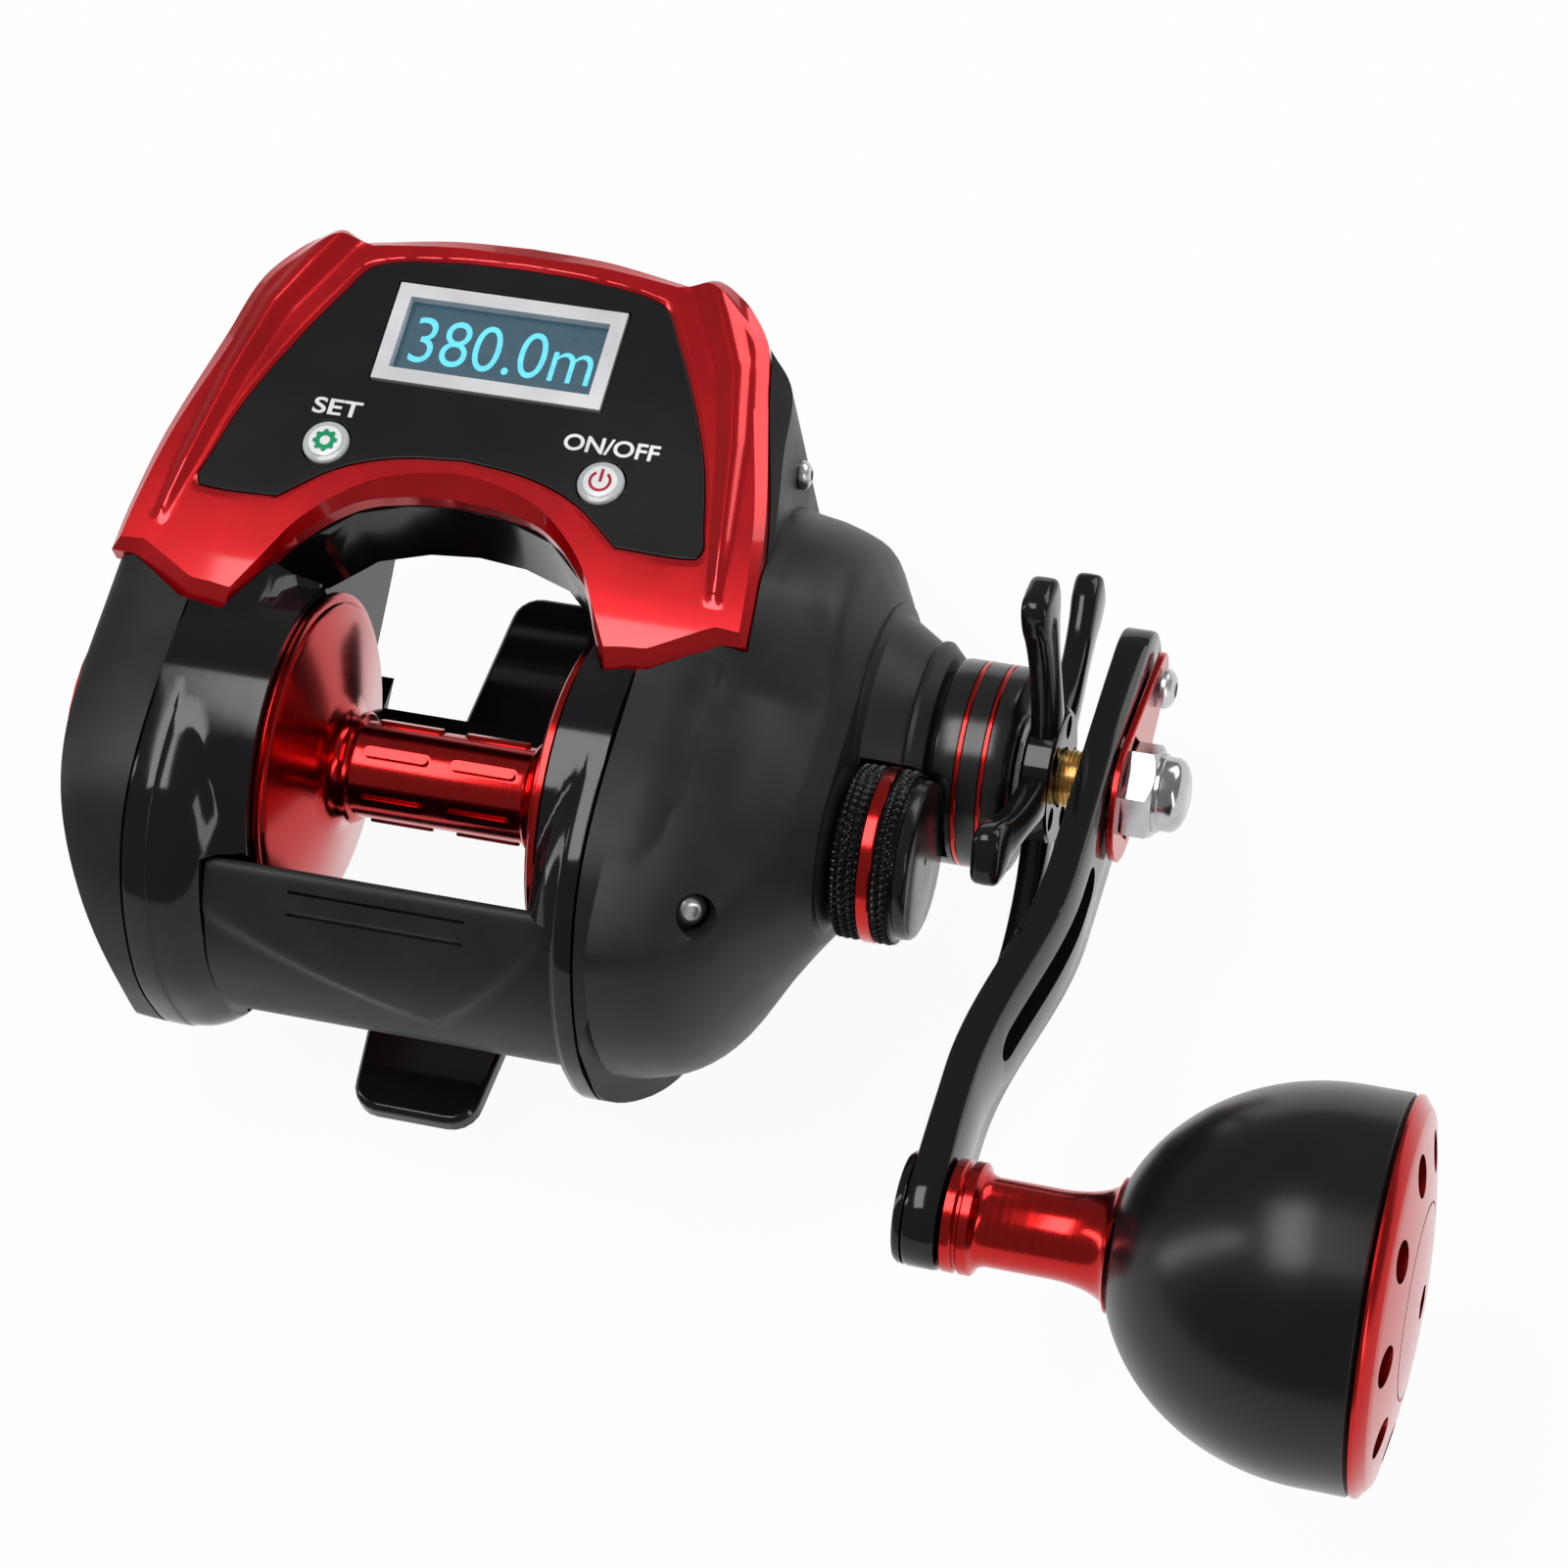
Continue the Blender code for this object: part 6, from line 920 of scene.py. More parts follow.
def hull_line(circles):
    """Line round circles of (centre, radius), kept above a floor and drawn down under the legs of the trim."""
    normals = round_line(1.0, steps=BULGE_NORMALS)
    middle = sum((Vector(centre) for centre, _ in circles), Vector((0, 0))) / len(circles)
    support = [max(normal.dot(Vector(centre) - middle) + radius for centre, radius in circles) for normal in normals]
    line = []
    for direction in round_line(1.0, steps=BULGE_POINTS):
        reach = min(limit / normal.dot(direction) for limit, normal in zip(support, normals)
                    if normal.dot(direction) > 0.05)
        point = middle + direction * reach
        share = limited((BULGE_FRONT - point.x) / BULGE_RUN)
        lowered = point.y - share * BULGE_FALL * max(point.y - BULGE_LEVEL, 0)
        line.append(Vector((point.x, max(lowered, BULGE_FLOOR))))
    return line


def axis_through(box):
    """Axis along X through the middle of a box."""
    return Vector((0, (box[0][1] + box[1][1]) / 2, (box[0][2] + box[1][2]) / 2))


def frame_shell():
    """One-piece frame: two rings with rolled lips, joined by the lower bars."""
    line = path(BODY_OUTLINE, BODY_STEPS)

    def layer(inset):
        return [p if p.length > SPOOL_WALL else p.normalized() * SPOOL_WALL for p in drawn_in(line, inset)]

    left = [(LEFT_RING + share * LEFT_RING_WIDTH, layer(inset)) for share, inset in blended(LEFT_LIP, LIP_STEPS)]
    right = [(RIGHT_RING - share * RIGHT_RING_WIDTH, layer(inset)) for share, inset in blended(RIGHT_LIP, LIP_STEPS)]
    shell = stand_in("frame_shell", side_stack(left), "gloss_black", "frame")
    carve(shell, [
        side_stack(right),
        box_shape(*FRONT_BOTTOM_BAR),
        box_shape(*REAR_BOTTOM_BAR),
    ], "UNION")
    carve(shell, [
        spun_shape(LEFT_RING_BORE, SPOOL_AXIS, BORE_STEPS),
        spun_shape(RIGHT_RING_BORE, SPOOL_AXIS, BORE_STEPS),
        rod_shape(*DRIVE_HOLE, DRIVE_AXIS),
        box_shape(*GUIDE_BAY),
        box_shape(*MIDDLE_BAY),
        thumb_room(),
        box_shape(*HOUSING_ROOM),
        trim_pocket(),
    ])
    carve(shell, [rod_shape(BAR_LEFT, BAR_RIGHT, FRONT_BAR_RADIUS, spot(0, *FRONT_BAR_PLACE), 32)], "UNION")
    carve(shell, [rod_shape(*WORM_HOLE, axis_through(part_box("worm_shaft"))),
                  rod_shape(*RAIL_HOLE, axis_through(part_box("guide_rail")))])
    return shell


def left_cover_shell():
    """Palm side cover, rolled over to the seat of the brake dial."""
    line = path(BODY_OUTLINE, BODY_STEPS)
    layers = []
    for reach, share in blended(COVER_ROLL, ROLL_STEPS):
        inset = share * LEFT_COVER_INSET
        drawn = []
        for point in drawn_in(line, inset):
            lift = LIFT_LOW + (LIFT_HIGH - LIFT_LOW) * limited((point.y - LIFT_LEVEL) / LIFT_RUN)
            drawn.append(point + Vector((0, inset * lift)))
        layers.append((LEFT_COVER - reach * LEFT_COVER_WIDTH, drawn))
    cover = stand_in("left_cover_shell", side_stack(layers), "satin_black", "left_cover")
    carve(cover, [plan_limit(LEFT_FLANK)], "INTERSECT")
    carve(cover, [rod_shape(*RING_SPIGOT, SPOOL_AXIS, BORE_STEPS), rod_shape(*BEARING_BOSS, SPOOL_AXIS)], "UNION")
    carve(cover, [
        spun_shape(LEFT_BEARING_BORE, SPOOL_AXIS, 48),
        spun_shape(DIAL_SEAT, SPOOL_AXIS, BORE_STEPS),
        trim_pocket(),
    ])
    return cover


def right_cover_shell():
    """Handle side cover: base, gear bulge, cone of the shaft, flare of the knob and wall of the gear chamber."""
    line = path(BODY_OUTLINE, BODY_STEPS)
    layers = [(RIGHT_COVER + reach * RIGHT_COVER_WIDTH, drawn_in(line, share * RIGHT_COVER_INSET))
              for reach, share in blended(COVER_ROLL, ROLL_STEPS)]
    cover = stand_in("right_cover_shell", side_stack(layers), "satin_black", "right_cover")
    carve(cover, [plan_limit(RIGHT_FLANK)], "INTERSECT")
    drive = Vector((DRIVE_AXIS.y - SPOOL_AXIS.y, DRIVE_AXIS.z - SPOOL_AXIS.z)) / MM
    dome = []
    for reach, gear_share, knob_share in blended(GEAR_BULGE, ROLL_STEPS):
        circles = [((0, 0), KNOB_BULGE_RADIUS * knob_share), (drive, GEAR_BULGE_RADIUS * gear_share)]
        dome.append((RIGHT_COVER + reach * GEAR_BULGE_WIDTH, hull_line(circles)))
    carve(cover, [
        side_stack(dome),
        spun_shape(SHAFT_CONE, DRIVE_AXIS, BORE_STEPS),
        spun_shape(KNOB_FLARE, SPOOL_AXIS, BORE_STEPS),
        rod_shape(*GEAR_WALL, DRIVE_AXIS, BORE_STEPS),
    ], "UNION")
    carve(cover, [
        turned_to(rod_shape(*SCREW_WELL, Vector(), 40), COVER_SCREW, COVER_SCREW_WAY),
        trim_pocket(),
        spun_shape(KNOB_ROOM, SPOOL_AXIS, BORE_STEPS, closed=True),
        rod_shape(*WORM_GEAR_ROOM, axis_through(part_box("worm_shaft")), 40),
        spun_shape(PINION_CHAMBER, SPOOL_AXIS, 56),
        spun_shape(GEAR_CHAMBER, DRIVE_AXIS, 60),
    ])
    return cover


def thumb_bar_shell():
    """Clutch bar with a V crease across its back and two fine lines along its top."""
    line = path(THUMB_OUTLINE, 10)
    layers = []
    for step in range(THUMB_BAR_STEPS + 1):
        along = THUMB_BAR_HALF * (2 * step / THUMB_BAR_STEPS - 1)
        crease = CREASE_START[1] - (along - CREASE_START[0]) * CREASE_FALL
        if along >= CREASE_TIP[0]:
            crease = CREASE_TIP[1] + (along - CREASE_TIP[0]) * CREASE_RISE
        loop = []
        for point in line:
            depth = min(max((crease - point.y) * 0.5, 0), CREASE_DEPTH) if point.x < THUMB_BACK else 0
            loop.append(Vector((point.x + depth, point.y)))
        layers.append((along, loop))
    bar = stand_in("thumb_bar_shell", side_stack(layers), "satin_black", "thumb_bar")
    slope = Matrix.Translation(spot(0, *THUMB_TOP)) @ Matrix.Rotation(math.radians(THUMB_TOP_SLOPE), 4, "X")
    carve(bar, [box_shape(low, high, slope) for low, high in THUMB_LINES])
    return bar


def even(line, count):
    """The same open line with its points at equal steps."""
    lengths = [0.0]
    for start, end in zip(line, line[1:]):
        lengths.append(lengths[-1] + (end - start).length)
    result = []
    place = 0
    for step in range(count):
        target = lengths[-1] * step / count
        while lengths[place + 1] < target:
            place += 1
        share = (target - lengths[place]) / (lengths[place + 1] - lengths[place])
        result.append(line[place].lerp(line[place + 1], share))
    return result


def ridge_height(point):
    """Height of the raised bead on a flank of the trim, which narrows to the rear."""
    best = 0.0
    for start, end in zip(TRIM_RIDGE, TRIM_RIDGE[1:]):
        first, last = Vector(start[:2]), Vector(end[:2])
        along = last - first
        share = limited((point - first).dot(along) / along.length_squared)
        width = start[2] + (end[2] - start[2]) * share
        rise = start[3] + (end[3] - start[3]) * share
        away = (point - first - along * share).length / width
        if away < 1:
            best = max(best, rise * (0.5 + 0.5 * math.cos(math.pi * away)))
    return best


def trim_shell():
    """Red trim: flanks with raised beads, a faceted edge all round and a rolled arch."""
    outer = path(TRIM_OUTLINE, TRIM_STEPS, closed=False)
    inner = path(PANEL_OUTLINE, TRIM_STEPS, closed=False)
    half_outer, half_inner = [], []
    for first, inner_first, last, inner_last, count in TRIM_RUNS:
        half_outer += even(outer[first * TRIM_STEPS:last * TRIM_STEPS + 1], count)
        half_inner += even(inner[inner_first * TRIM_STEPS:inner_last * TRIM_STEPS + 1], count)
    half_outer.append(outer[-1])
    half_inner.append(inner[-1])
    arch_start = TRIM_RUNS[0][-1] + TRIM_RUNS[1][-1]
    loops = []
    for row in range(TRIM_ROWS):
        edge_share = row / TRIM_EDGE_ROWS
        line = []
        for column, (start, end) in enumerate(zip(half_outer, half_inner)):
            arch_share = limited((column - arch_start) / ARCH_STEPS)
            band = (EDGE_WIDTH + ARCH_EDGE_WIDTH * arch_share) / (end - start).length
            share = band * edge_share
            if row >= TRIM_EDGE_ROWS:
                share = band + (1 - band) * (row - TRIM_EDGE_ROWS) / (TRIM_ROWS - 1 - TRIM_EDGE_ROWS)
            point = start.lerp(end, share)
            height = ridge_height(point) - (EDGE_DROP + ARCH_EDGE_DROP * arch_share) * max(1 - edge_share, 0)
            height -= INNER_DROP * max(1 - (point - end).length / INNER_WIDTH, 0)
            height -= ARCH_DROP * (max(ARCH_FRONT - point.y, 0) / ARCH_LENGTH) ** 2
            line.append(Vector((point.x, point.y, height)))
        loops.append(line)
    low = [Vector((point.x, point.y, TRIM_FOOT)) for point in loops[0]]
    ledge = [Vector((point.x, point.y, TRIM_LEDGE)) for point in loops[-1]]
    under = [Vector((point.x * 0.97, point.y * 0.97, TRIM_LEDGE)) for point in loops[-1]]
    foot = [Vector((point.x, point.y, TRIM_FOOT)) for point in under]
    full = []
    for line in [low] + loops + [ledge, under, foot]:
        mirror = [Vector((-point.x, point.y, point.z)) for point in reversed(line) if abs(point.x) > 0.01]
        full.append([DISPLAY_PLACE @ (point * MM) for point in line + mirror])
    stand_in("trim_shell", ring_grid(full), "lacquer_red", "display_trim", 24)


def display_words(name, text, width, place, level, weight, material, node, height):
    """Flat words of a width and height in the display plane, made a mesh before they are placed."""
    curve = bpy.data.curves.new(name, "FONT")
    curve.body = text
    curve.extrude = 0.02
    curve.offset = weight
    curve.resolution_u = 6
    item = bpy.data.objects.new(name, curve)
    bpy.context.scene.collection.objects.link(item)
    bpy.context.view_layer.update()
    mesh = bpy.data.meshes.new_from_object(item.evaluated_get(bpy.context.evaluated_depsgraph_get()))
    bpy.data.objects.remove(item)
    bpy.data.curves.remove(curve)
    across = [corner.co.x for corner in mesh.vertices]
    along = [corner.co.y for corner in mesh.vertices]
    middle = Vector(((max(across) + min(across)) / 2, (max(along) + min(along)) / 2, 0))
    stretch = Matrix.Diagonal((width / (max(across) - min(across)) * MM, height / (max(along) - min(along)), MM, 1))
    mesh.transform(DISPLAY_PLACE @ Matrix.Translation(Vector((*place, level)) * MM) @ stretch
                   @ Matrix.Translation(-middle))
    wrap_mesh(name, mesh, material, body_of(node))


def round_line(radius, centre=(0, 0), steps=48):
    """Circle of points about a centre."""
    turns = [math.tau * index / steps for index in range(steps)]
    return [Vector((centre[0] + math.cos(turn) * radius, centre[1] + math.sin(turn) * radius)) for turn in turns]


def button_shape(profile, place):
    """Round piece in the display plane from its heights and radii."""
    return plan_stack([(height, round_line(radius, place)) for height, radius in profile])


def ring_icon(place, outer, inner, teeth=0, arc=math.tau, start=0.0):
    """Flat ring, cogged or open, extruded by a hair in the display plane."""
    shape = bmesh.new()
    closed = arc >= math.tau
    chains = []
    for radius, tooth in ((outer, ICON_TOOTH), (inner, 1.0)):
        corners = []
        for index in range(ICON_STEPS if closed else ICON_STEPS + 1):
            angle = start + arc * index / ICON_STEPS
            reach = radius * tooth if teeth and index * teeth // (ICON_STEPS // 2) % 2 == 0 else radius
            point = Vector((*place, ICON_LEVEL)) + Vector((math.cos(angle), math.sin(angle), 0)) * reach
            corners.append(shape.verts.new(DISPLAY_PLACE @ (point * MM)))
        chains += [shape.edges.new(pair) for pair in zip(corners, corners[1:] + (corners[:1] if closed else []))]
    bmesh.ops.bridge_loops(shape, edges=chains)
    result = bmesh.ops.extrude_face_region(shape, geom=shape.faces[:])
    lift = DISPLAY_PLACE.to_3x3() @ Vector((0, 0, ICON_THICKNESS * MM))
    corners = [item for item in result["geom"] if isinstance(item, bmesh.types.BMVert)]
    bmesh.ops.translate(shape, verts=corners, vec=lift)
    bmesh.ops.recalc_face_normals(shape, faces=shape.faces)
    return shape


def ring_grid(loops):
    """Closed band through closed loops of equal count, shaped from one grid and joined at its seams."""
    across, along = len(loops[0]), len(loops)
    shape = bmesh.new()
    bmesh.ops.create_grid(shape, x_segments=across, y_segments=along, size=1)
    for corner in shape.verts:
        column = round((corner.co.x + 1) / 2 * across) % across
        row = round((corner.co.y + 1) / 2 * along) % along
        corner.co = loops[row][column]
    bmesh.ops.remove_doubles(shape, verts=shape.verts, dist=MERGE)
    face_outwards(shape)
    return shape


def turned_piece(name, node, profile, centre, material, closed=True, sharp=SHARP, steps=None):
    """Turned piece that takes a solid's place."""
    return stand_in(name, spun_shape(profile, centre, steps, closed), material, node, sharp)


def beside(axis, radius, angle):
    """Axis moved out from another one."""
    return axis + Vector((0, math.cos(angle), math.sin(angle))) * radius * MM


def capsule_line(half_length, half_width, steps=8):
    """Slot with round ends about the middle, long to the right."""
    turns = [math.pi * index / steps - math.pi / 2 for index in range(steps + 1)]
    right = [Vector((half_length - half_width + math.cos(turn) * half_width, math.sin(turn) * half_width))
             for turn in turns]
    return right + [-point for point in right]


def spool_shell():
    """Spool with rolled rims, dished flanges and a slotted core."""
    left_half = tuple((-along, radius) for along, radius in reversed(SPOOL_HALF))
    spool = turned_piece("spool_shell", "spool", left_half + SPOOL_HALF + SPOOL_CORE, SPOOL_AXIS, "spool_red", sharp=24)
    for operation, (half_length, half_width, low, high) in (("DIFFERENCE", SPOOL_SLOT), ("UNION", SPOOL_BED)):
        line = capsule_line(half_length, half_width)
        shapes = []
        for index in range(SPOOL_SLOTS):
            turn = Matrix.Rotation(math.tau * index / SPOOL_SLOTS + math.radians(SPOOL_SLOT_TURN), 4, "X")
            for side in (-SPOOL_SLOT_PLACE, SPOOL_SLOT_PLACE):
                place = Matrix.Translation(SPOOL_AXIS) @ turn @ Matrix.Translation((side * MM, 0, 0))
                shapes.append(plan_stack([(low, line), (high, line)], place))
        carve(spool, shapes, operation)


def star_shell():
    """Star drag with smooth horn-like arms round a pierced hub."""
    star = turned_piece("star_shell", "star_drag", STAR_HUB, DRIVE_AXIS, "gloss_black")
    arms = []
    rows = blended(STAR_ARM, 4)
    for index in range(STAR_ARMS):
        angle = math.radians(STAR_TURN) + math.tau * index / STAR_ARMS
        outward = Vector((0, math.cos(angle), math.sin(angle)))
        across = Vector((1, 0, 0)).cross(outward)
        loops = []
        for reach, width, lean, thick in rows:
            middle = DRIVE_AXIS + outward * reach * MM + Vector((STAR_MIDDLE - lean, 0, 0)) * MM
            loop = []
            for flat, side in round_line(1.0, steps=STAR_POINTS):
                flat = math.copysign(abs(flat) ** STAR_SQUARE, flat) * thick
                side = math.copysign(abs(side) ** STAR_SQUARE, side) * width
                loop.append(middle + Vector((flat, 0, 0)) * MM + across * side * MM)
            loops.append(loop)
        arms.append(skinned(loops))
    carve(star, arms, "UNION")
    holes = [math.radians(STAR_TURN) + math.tau * (index + 0.5) / STAR_ARMS for index in range(STAR_ARMS)]
    carve(star, [rod_shape(58.0, 65.0, STAR_HOLE, beside(DRIVE_AXIS, STAR_HOLE_REACH, hole), 24) for hole in holes])
    round_edges(star, 0.2 * MM, 40.0)


def arm_shell():
    """Handle arm: one flat blank, pierced, then bent towards the reel."""
    flat = Matrix.Identity(4)
    blank = path(ARM_BLANK, 8)
    face, chamfer = grown(blank, -ARM_EDGE), grown(blank, -ARM_EDGE * 0.3)
    layers = [(ARM_LOW, face), (ARM_LOW + 0.13, chamfer), (ARM_LOW + ARM_EDGE, blank),
              (ARM_HIGH - ARM_EDGE, blank), (ARM_HIGH - 0.13, chamfer), (ARM_HIGH, face)]
    arm = stand_in("arm_shell", plan_stack(layers, flat), "gloss_black", "handle_arm")
    slot = [point + Vector((ARM_SLOT_PLACE, 0)) for point in capsule_line(*ARM_SLOT, 12)]
    holes = [slot] + [round_line(radius, (place, 0)) for place, radius in ARM_HOLES]
    carve(arm, [plan_stack([(ARM_LOW - 6.0, line), (ARM_HIGH + 5.5, line)], flat) for line in holes])
    shape = bmesh.new()
    shape.from_mesh(arm.data)
    for step in range(int(BEND_RUN) + 1):
        bmesh.ops.bisect_plane(shape, geom=shape.verts[:] + shape.edges[:] + shape.faces[:], dist=0.0001 * MM,
                               plane_co=((BEND_START + step) * MM, 0, 0), plane_no=(1, 0, 0))
    for corner in shape.verts:
        along, side, height = corner.co
        share = limited((along / MM - BEND_START) / BEND_RUN)
        fall = BEND_FALL * MM * (1 - math.cos(math.pi * share)) / 2
        corner.co = DRIVE_AXIS + ARM_DIRECTION * along + ARM_SIDE * side + Vector((height - fall, 0, 0))
    face_outwards(shape)
    shape.to_mesh(arm.data)
    shape.free()
    arm.data.shade_smooth()
    arm.data.set_sharp_from_angle(angle=math.radians(40))


def nut_shell():
    """Cap nut: chamfered hexagon, a step and a rounded tip."""
    nut = stand_in("nut_shell", hex_shape(69.8, 73.7, 5.31, DRIVE_AXIS, math.radians(12)), "chrome", "handle_nut", 24)
    carve(nut, [spun_shape(NUT_CHAMFER, DRIVE_AXIS, BORE_STEPS)], "INTERSECT")
    carve(nut, [spun_shape(NUT_TIP, DRIVE_AXIS, BORE_STEPS)], "UNION")
    carve(nut, [rod_shape(68.0, 74.5, 2.7, DRIVE_AXIS)])
    round_edges(nut, 0.12 * MM, 28.0)


def knurled_knob():
    """Tension knob: two knurled bands, a groove for the red ring and a smooth stepped end."""
    rows = [(44.5, 6.7), (44.5, 8.2), (44.75, 8.8)]
    rows += [(45.0 + KNURL_ROW * step, KNURL_RADIUS) for step in range(20)]
    rows += [(47.4, 8.9), (47.4, 8.4), (49.2, 8.4), (49.2, 8.9)]
    rows += [(49.3 + KNURL_ROW * step, KNURL_RADIUS) for step in range(14)]
    rows += [(50.95, 8.5), (51.2, 8.3), (51.4, 8.5), (52.3, 8.4), (52.55, 8.2), (52.7, 7.8), (52.7, 3.0), (52.7, 0.4),
             (51.1, 0.4), (51.1, 6.7)]
    loops = []
    for along, radius in rows:
        loop = []
        for step in range(KNURL_POINTS):
            turn = math.tau * step / KNURL_POINTS
            first = abs(math.sin(turn * KNURL_WAVES + along * 2.6))
            second = abs(math.sin(turn * KNURL_WAVES - along * 0.9))
            reach = radius - KNURL_DEPTH * (1 - min(first, second)) if radius == KNURL_RADIUS else radius
            loop.append(SPOOL_AXIS + Vector((along, math.cos(turn) * reach, math.sin(turn) * reach)) * MM)
        loops.append(loop)
    stand_in("tension_knob_shell", ring_grid(loops), "spool_black", "tension_knob", 40)


def screw_head(name, node, head, radius, place, way, stands_for=(), depth=1.5):
    """Button-head screw of a height and radius with a hex socket, seated at a place."""
    profile = [(-depth, 0), (-depth, 0.9), (0, 0.9), (0, radius), (head * 0.35, radius), (head * 0.7, radius * 0.86),
               (head * 0.92, radius * 0.62), (head, radius * 0.5), (head, 0)]
    shape = turned_to(spun_shape(profile, Vector(), 64), place, way)
    screw = wrap(name, shape, "steel", body_of(node), stands_for, 40)
    socket = hex_shape(head * 0.4, head + 1.0, radius * 0.42, Vector(), math.radians(20))
    carve(screw, [turned_to(socket, place, way)])


# Operators

class REEL_OT_body(bpy.types.Operator):
    """Finish the frame, its side covers, the thumb bar and the foot"""
    bl_idname = "reel.body"
    bl_label = "Body"

    def execute(self, context):
        sizes = context.scene.reel_sizes
        round_edges(frame_shell(), sizes.shell_edge * 0.4, MOULDED_SHARP)
        for shell in (left_cover_shell(), right_cover_shell(), thumb_bar_shell()):
            round_edges(shell, sizes.shell_edge, MOULDED_SHARP)
        for tab in ("foot_front", "foot_rear"):
            dress(tab, "gloss_black", sizes.edge)
        return {"FINISHED"}


class REEL_OT_display(bpy.types.Operator):
    """Finish the display head with its trim, glass, window, digits and buttons"""
    bl_idname = "reel.display"
    bl_label = "Display head"

    def execute(self, context):
        sizes = context.scene.reel_sizes
        dress("display_housing", "gloss_black", sizes.edge)
        trim_shell()
        panel_line = grown(mirrored_path(path(PANEL_OUTLINE, 6, closed=False)), -PANEL_GAP)
        panel = stand_in("panel_glass", plan_stack([(PANEL_UNDER, panel_line), (PANEL_FACE, panel_line)]),
                         "panel_black", "display_panel")
        holes = [button_shape(BUTTON_HOLE, place) for place in BUTTON_PLACES]
        carve(panel, [box_shape(*WINDOW_HOLE, DISPLAY_PLACE)] + holes)
        round_edges(panel, 0.08 * MM)
        dress("window_frame", "window_silver", 0.06 * MM)
        tint("display_ground", "display_module")
        display_words(*READING, height=sizes.digit_height)
        for label in LABELS:
            display_words(*label, height=sizes.label_height)
        for node, place in zip(("set_button", "power_button"), BUTTON_PLACES):
            stand_in(node + "_rim", button_shape(BUTTON_RIM, place), "clear_ring", node)
            extra(node + "_face", button_shape(BUTTON_FACE, place), "pearl", node)
        left, right = BUTTON_PLACES
        extra("gear_icon", ring_icon(left, *GEAR_ICON, teeth=GEAR_ICON_TEETH), "gear_mark", "set_button")
        power = ring_icon(right, *POWER_ICON, arc=math.radians(POWER_ARC), start=math.radians(POWER_START))
        extra("power_icon", power, "power_mark", "power_button")
        low, high = (Vector((*right, 0)) + Vector(corner) for corner in POWER_STROKE)
        extra("power_stroke", box_shape(low, high, DISPLAY_PLACE), "power_mark", "power_button")
        tint("board", "circuit_board")
        tint("steel", "battery_cell")
        return {"FINISHED"}


class REEL_OT_spool(bpy.types.Operator):
    """Finish the spool, its shaft, bearings and brake"""
    bl_idname = "reel.spool"
    bl_label = "Spool"

    def execute(self, context):
        sizes = context.scene.reel_sizes
        spool_shell()
        tint("spool_steel", "spool_shaft", "spool_bearing_left", "spool_bearing_right", "magnet_ring", "sensor_magnet")
        dress("brake_dial", "satin_black", sizes.edge)
        dress("brake_dial_ring", "spool_red", 0.1 * MM)
        return {"FINISHED"}


class REEL_OT_gears(bpy.types.Operator):
    """Finish the gears, the clutch and the drag stack inside the right cover"""
    bl_idname = "reel.gears"
    bl_label = "Gears"

    def execute(self, context):
        tint("brass", "pinion", "drive_gear")
        tint("nylon", "levelwind_gear", "worm_gear", "clutch_yoke", "tension_pad")
        tint("carbon", "drag_washer")
        tint("drive_steel", "pressure_plate", "clutch_sleeve", "one_way_bearing", "spring_washer")
        return {"FINISHED"}


class REEL_OT_drag(bpy.types.Operator):
    """Finish the collar with its red rings, the star drag and the threaded drive shaft"""
    bl_idname = "reel.drag"
    bl_label = "Star drag"

    def execute(self, context):
        collar = turned_piece("collar_shell", "drive_collar", COLLAR, DRIVE_AXIS, "drive_black")
        carve(collar, [spun_shape(KNOB_ROOM_IN_COLLAR, SPOOL_AXIS, BORE_STEPS, closed=True)])
        for index, along in enumerate(COLLAR_RINGS):
            ring = [(along + step, radius) for step, radius in COLLAR_RING]
            wrap(f"collar_ring_{index + 1}", spun_shape(ring, DRIVE_AXIS, closed=True), "drive_red",
                 body_of("drive_collar"))
        star_shell()
        dress("drive_shaft", "brass")
        for index in range(THREAD_TURNS):
            along = THREAD_START + THREAD_PITCH * index
            if not STAR_HUB_START < along < STAR_HUB_END:
                thread = [(along + step, radius) for step, radius in THREAD]
                extra(f"shaft_thread_{index + 1}", spun_shape(thread, DRIVE_AXIS, 48, closed=True), "brass",
                      "drive_shaft")
        return {"FINISHED"}


class REEL_OT_handle(bpy.types.Operator):
    """Finish the handle arm with its plate, screw and cap nut"""
    bl_idname = "reel.handle"
    bl_label = "Handle"

    def execute(self, context):
        arm_shell()
        dress("lock_plate", "drive_red", 0.16 * MM, sharp=40)
        seat = DRIVE_AXIS + ARM_DIRECTION * LOCK_SCREW_PLACE * MM + Vector((LOCK_SCREW_SEAT * MM, 0, 0))
        screw_head("lock_screw_shell", "lock_screw", 1.4, 2.2, seat, Vector((1, 0, 0)), ["lock_screw"], 2.4)
        nut_shell()
        return {"FINISHED"}


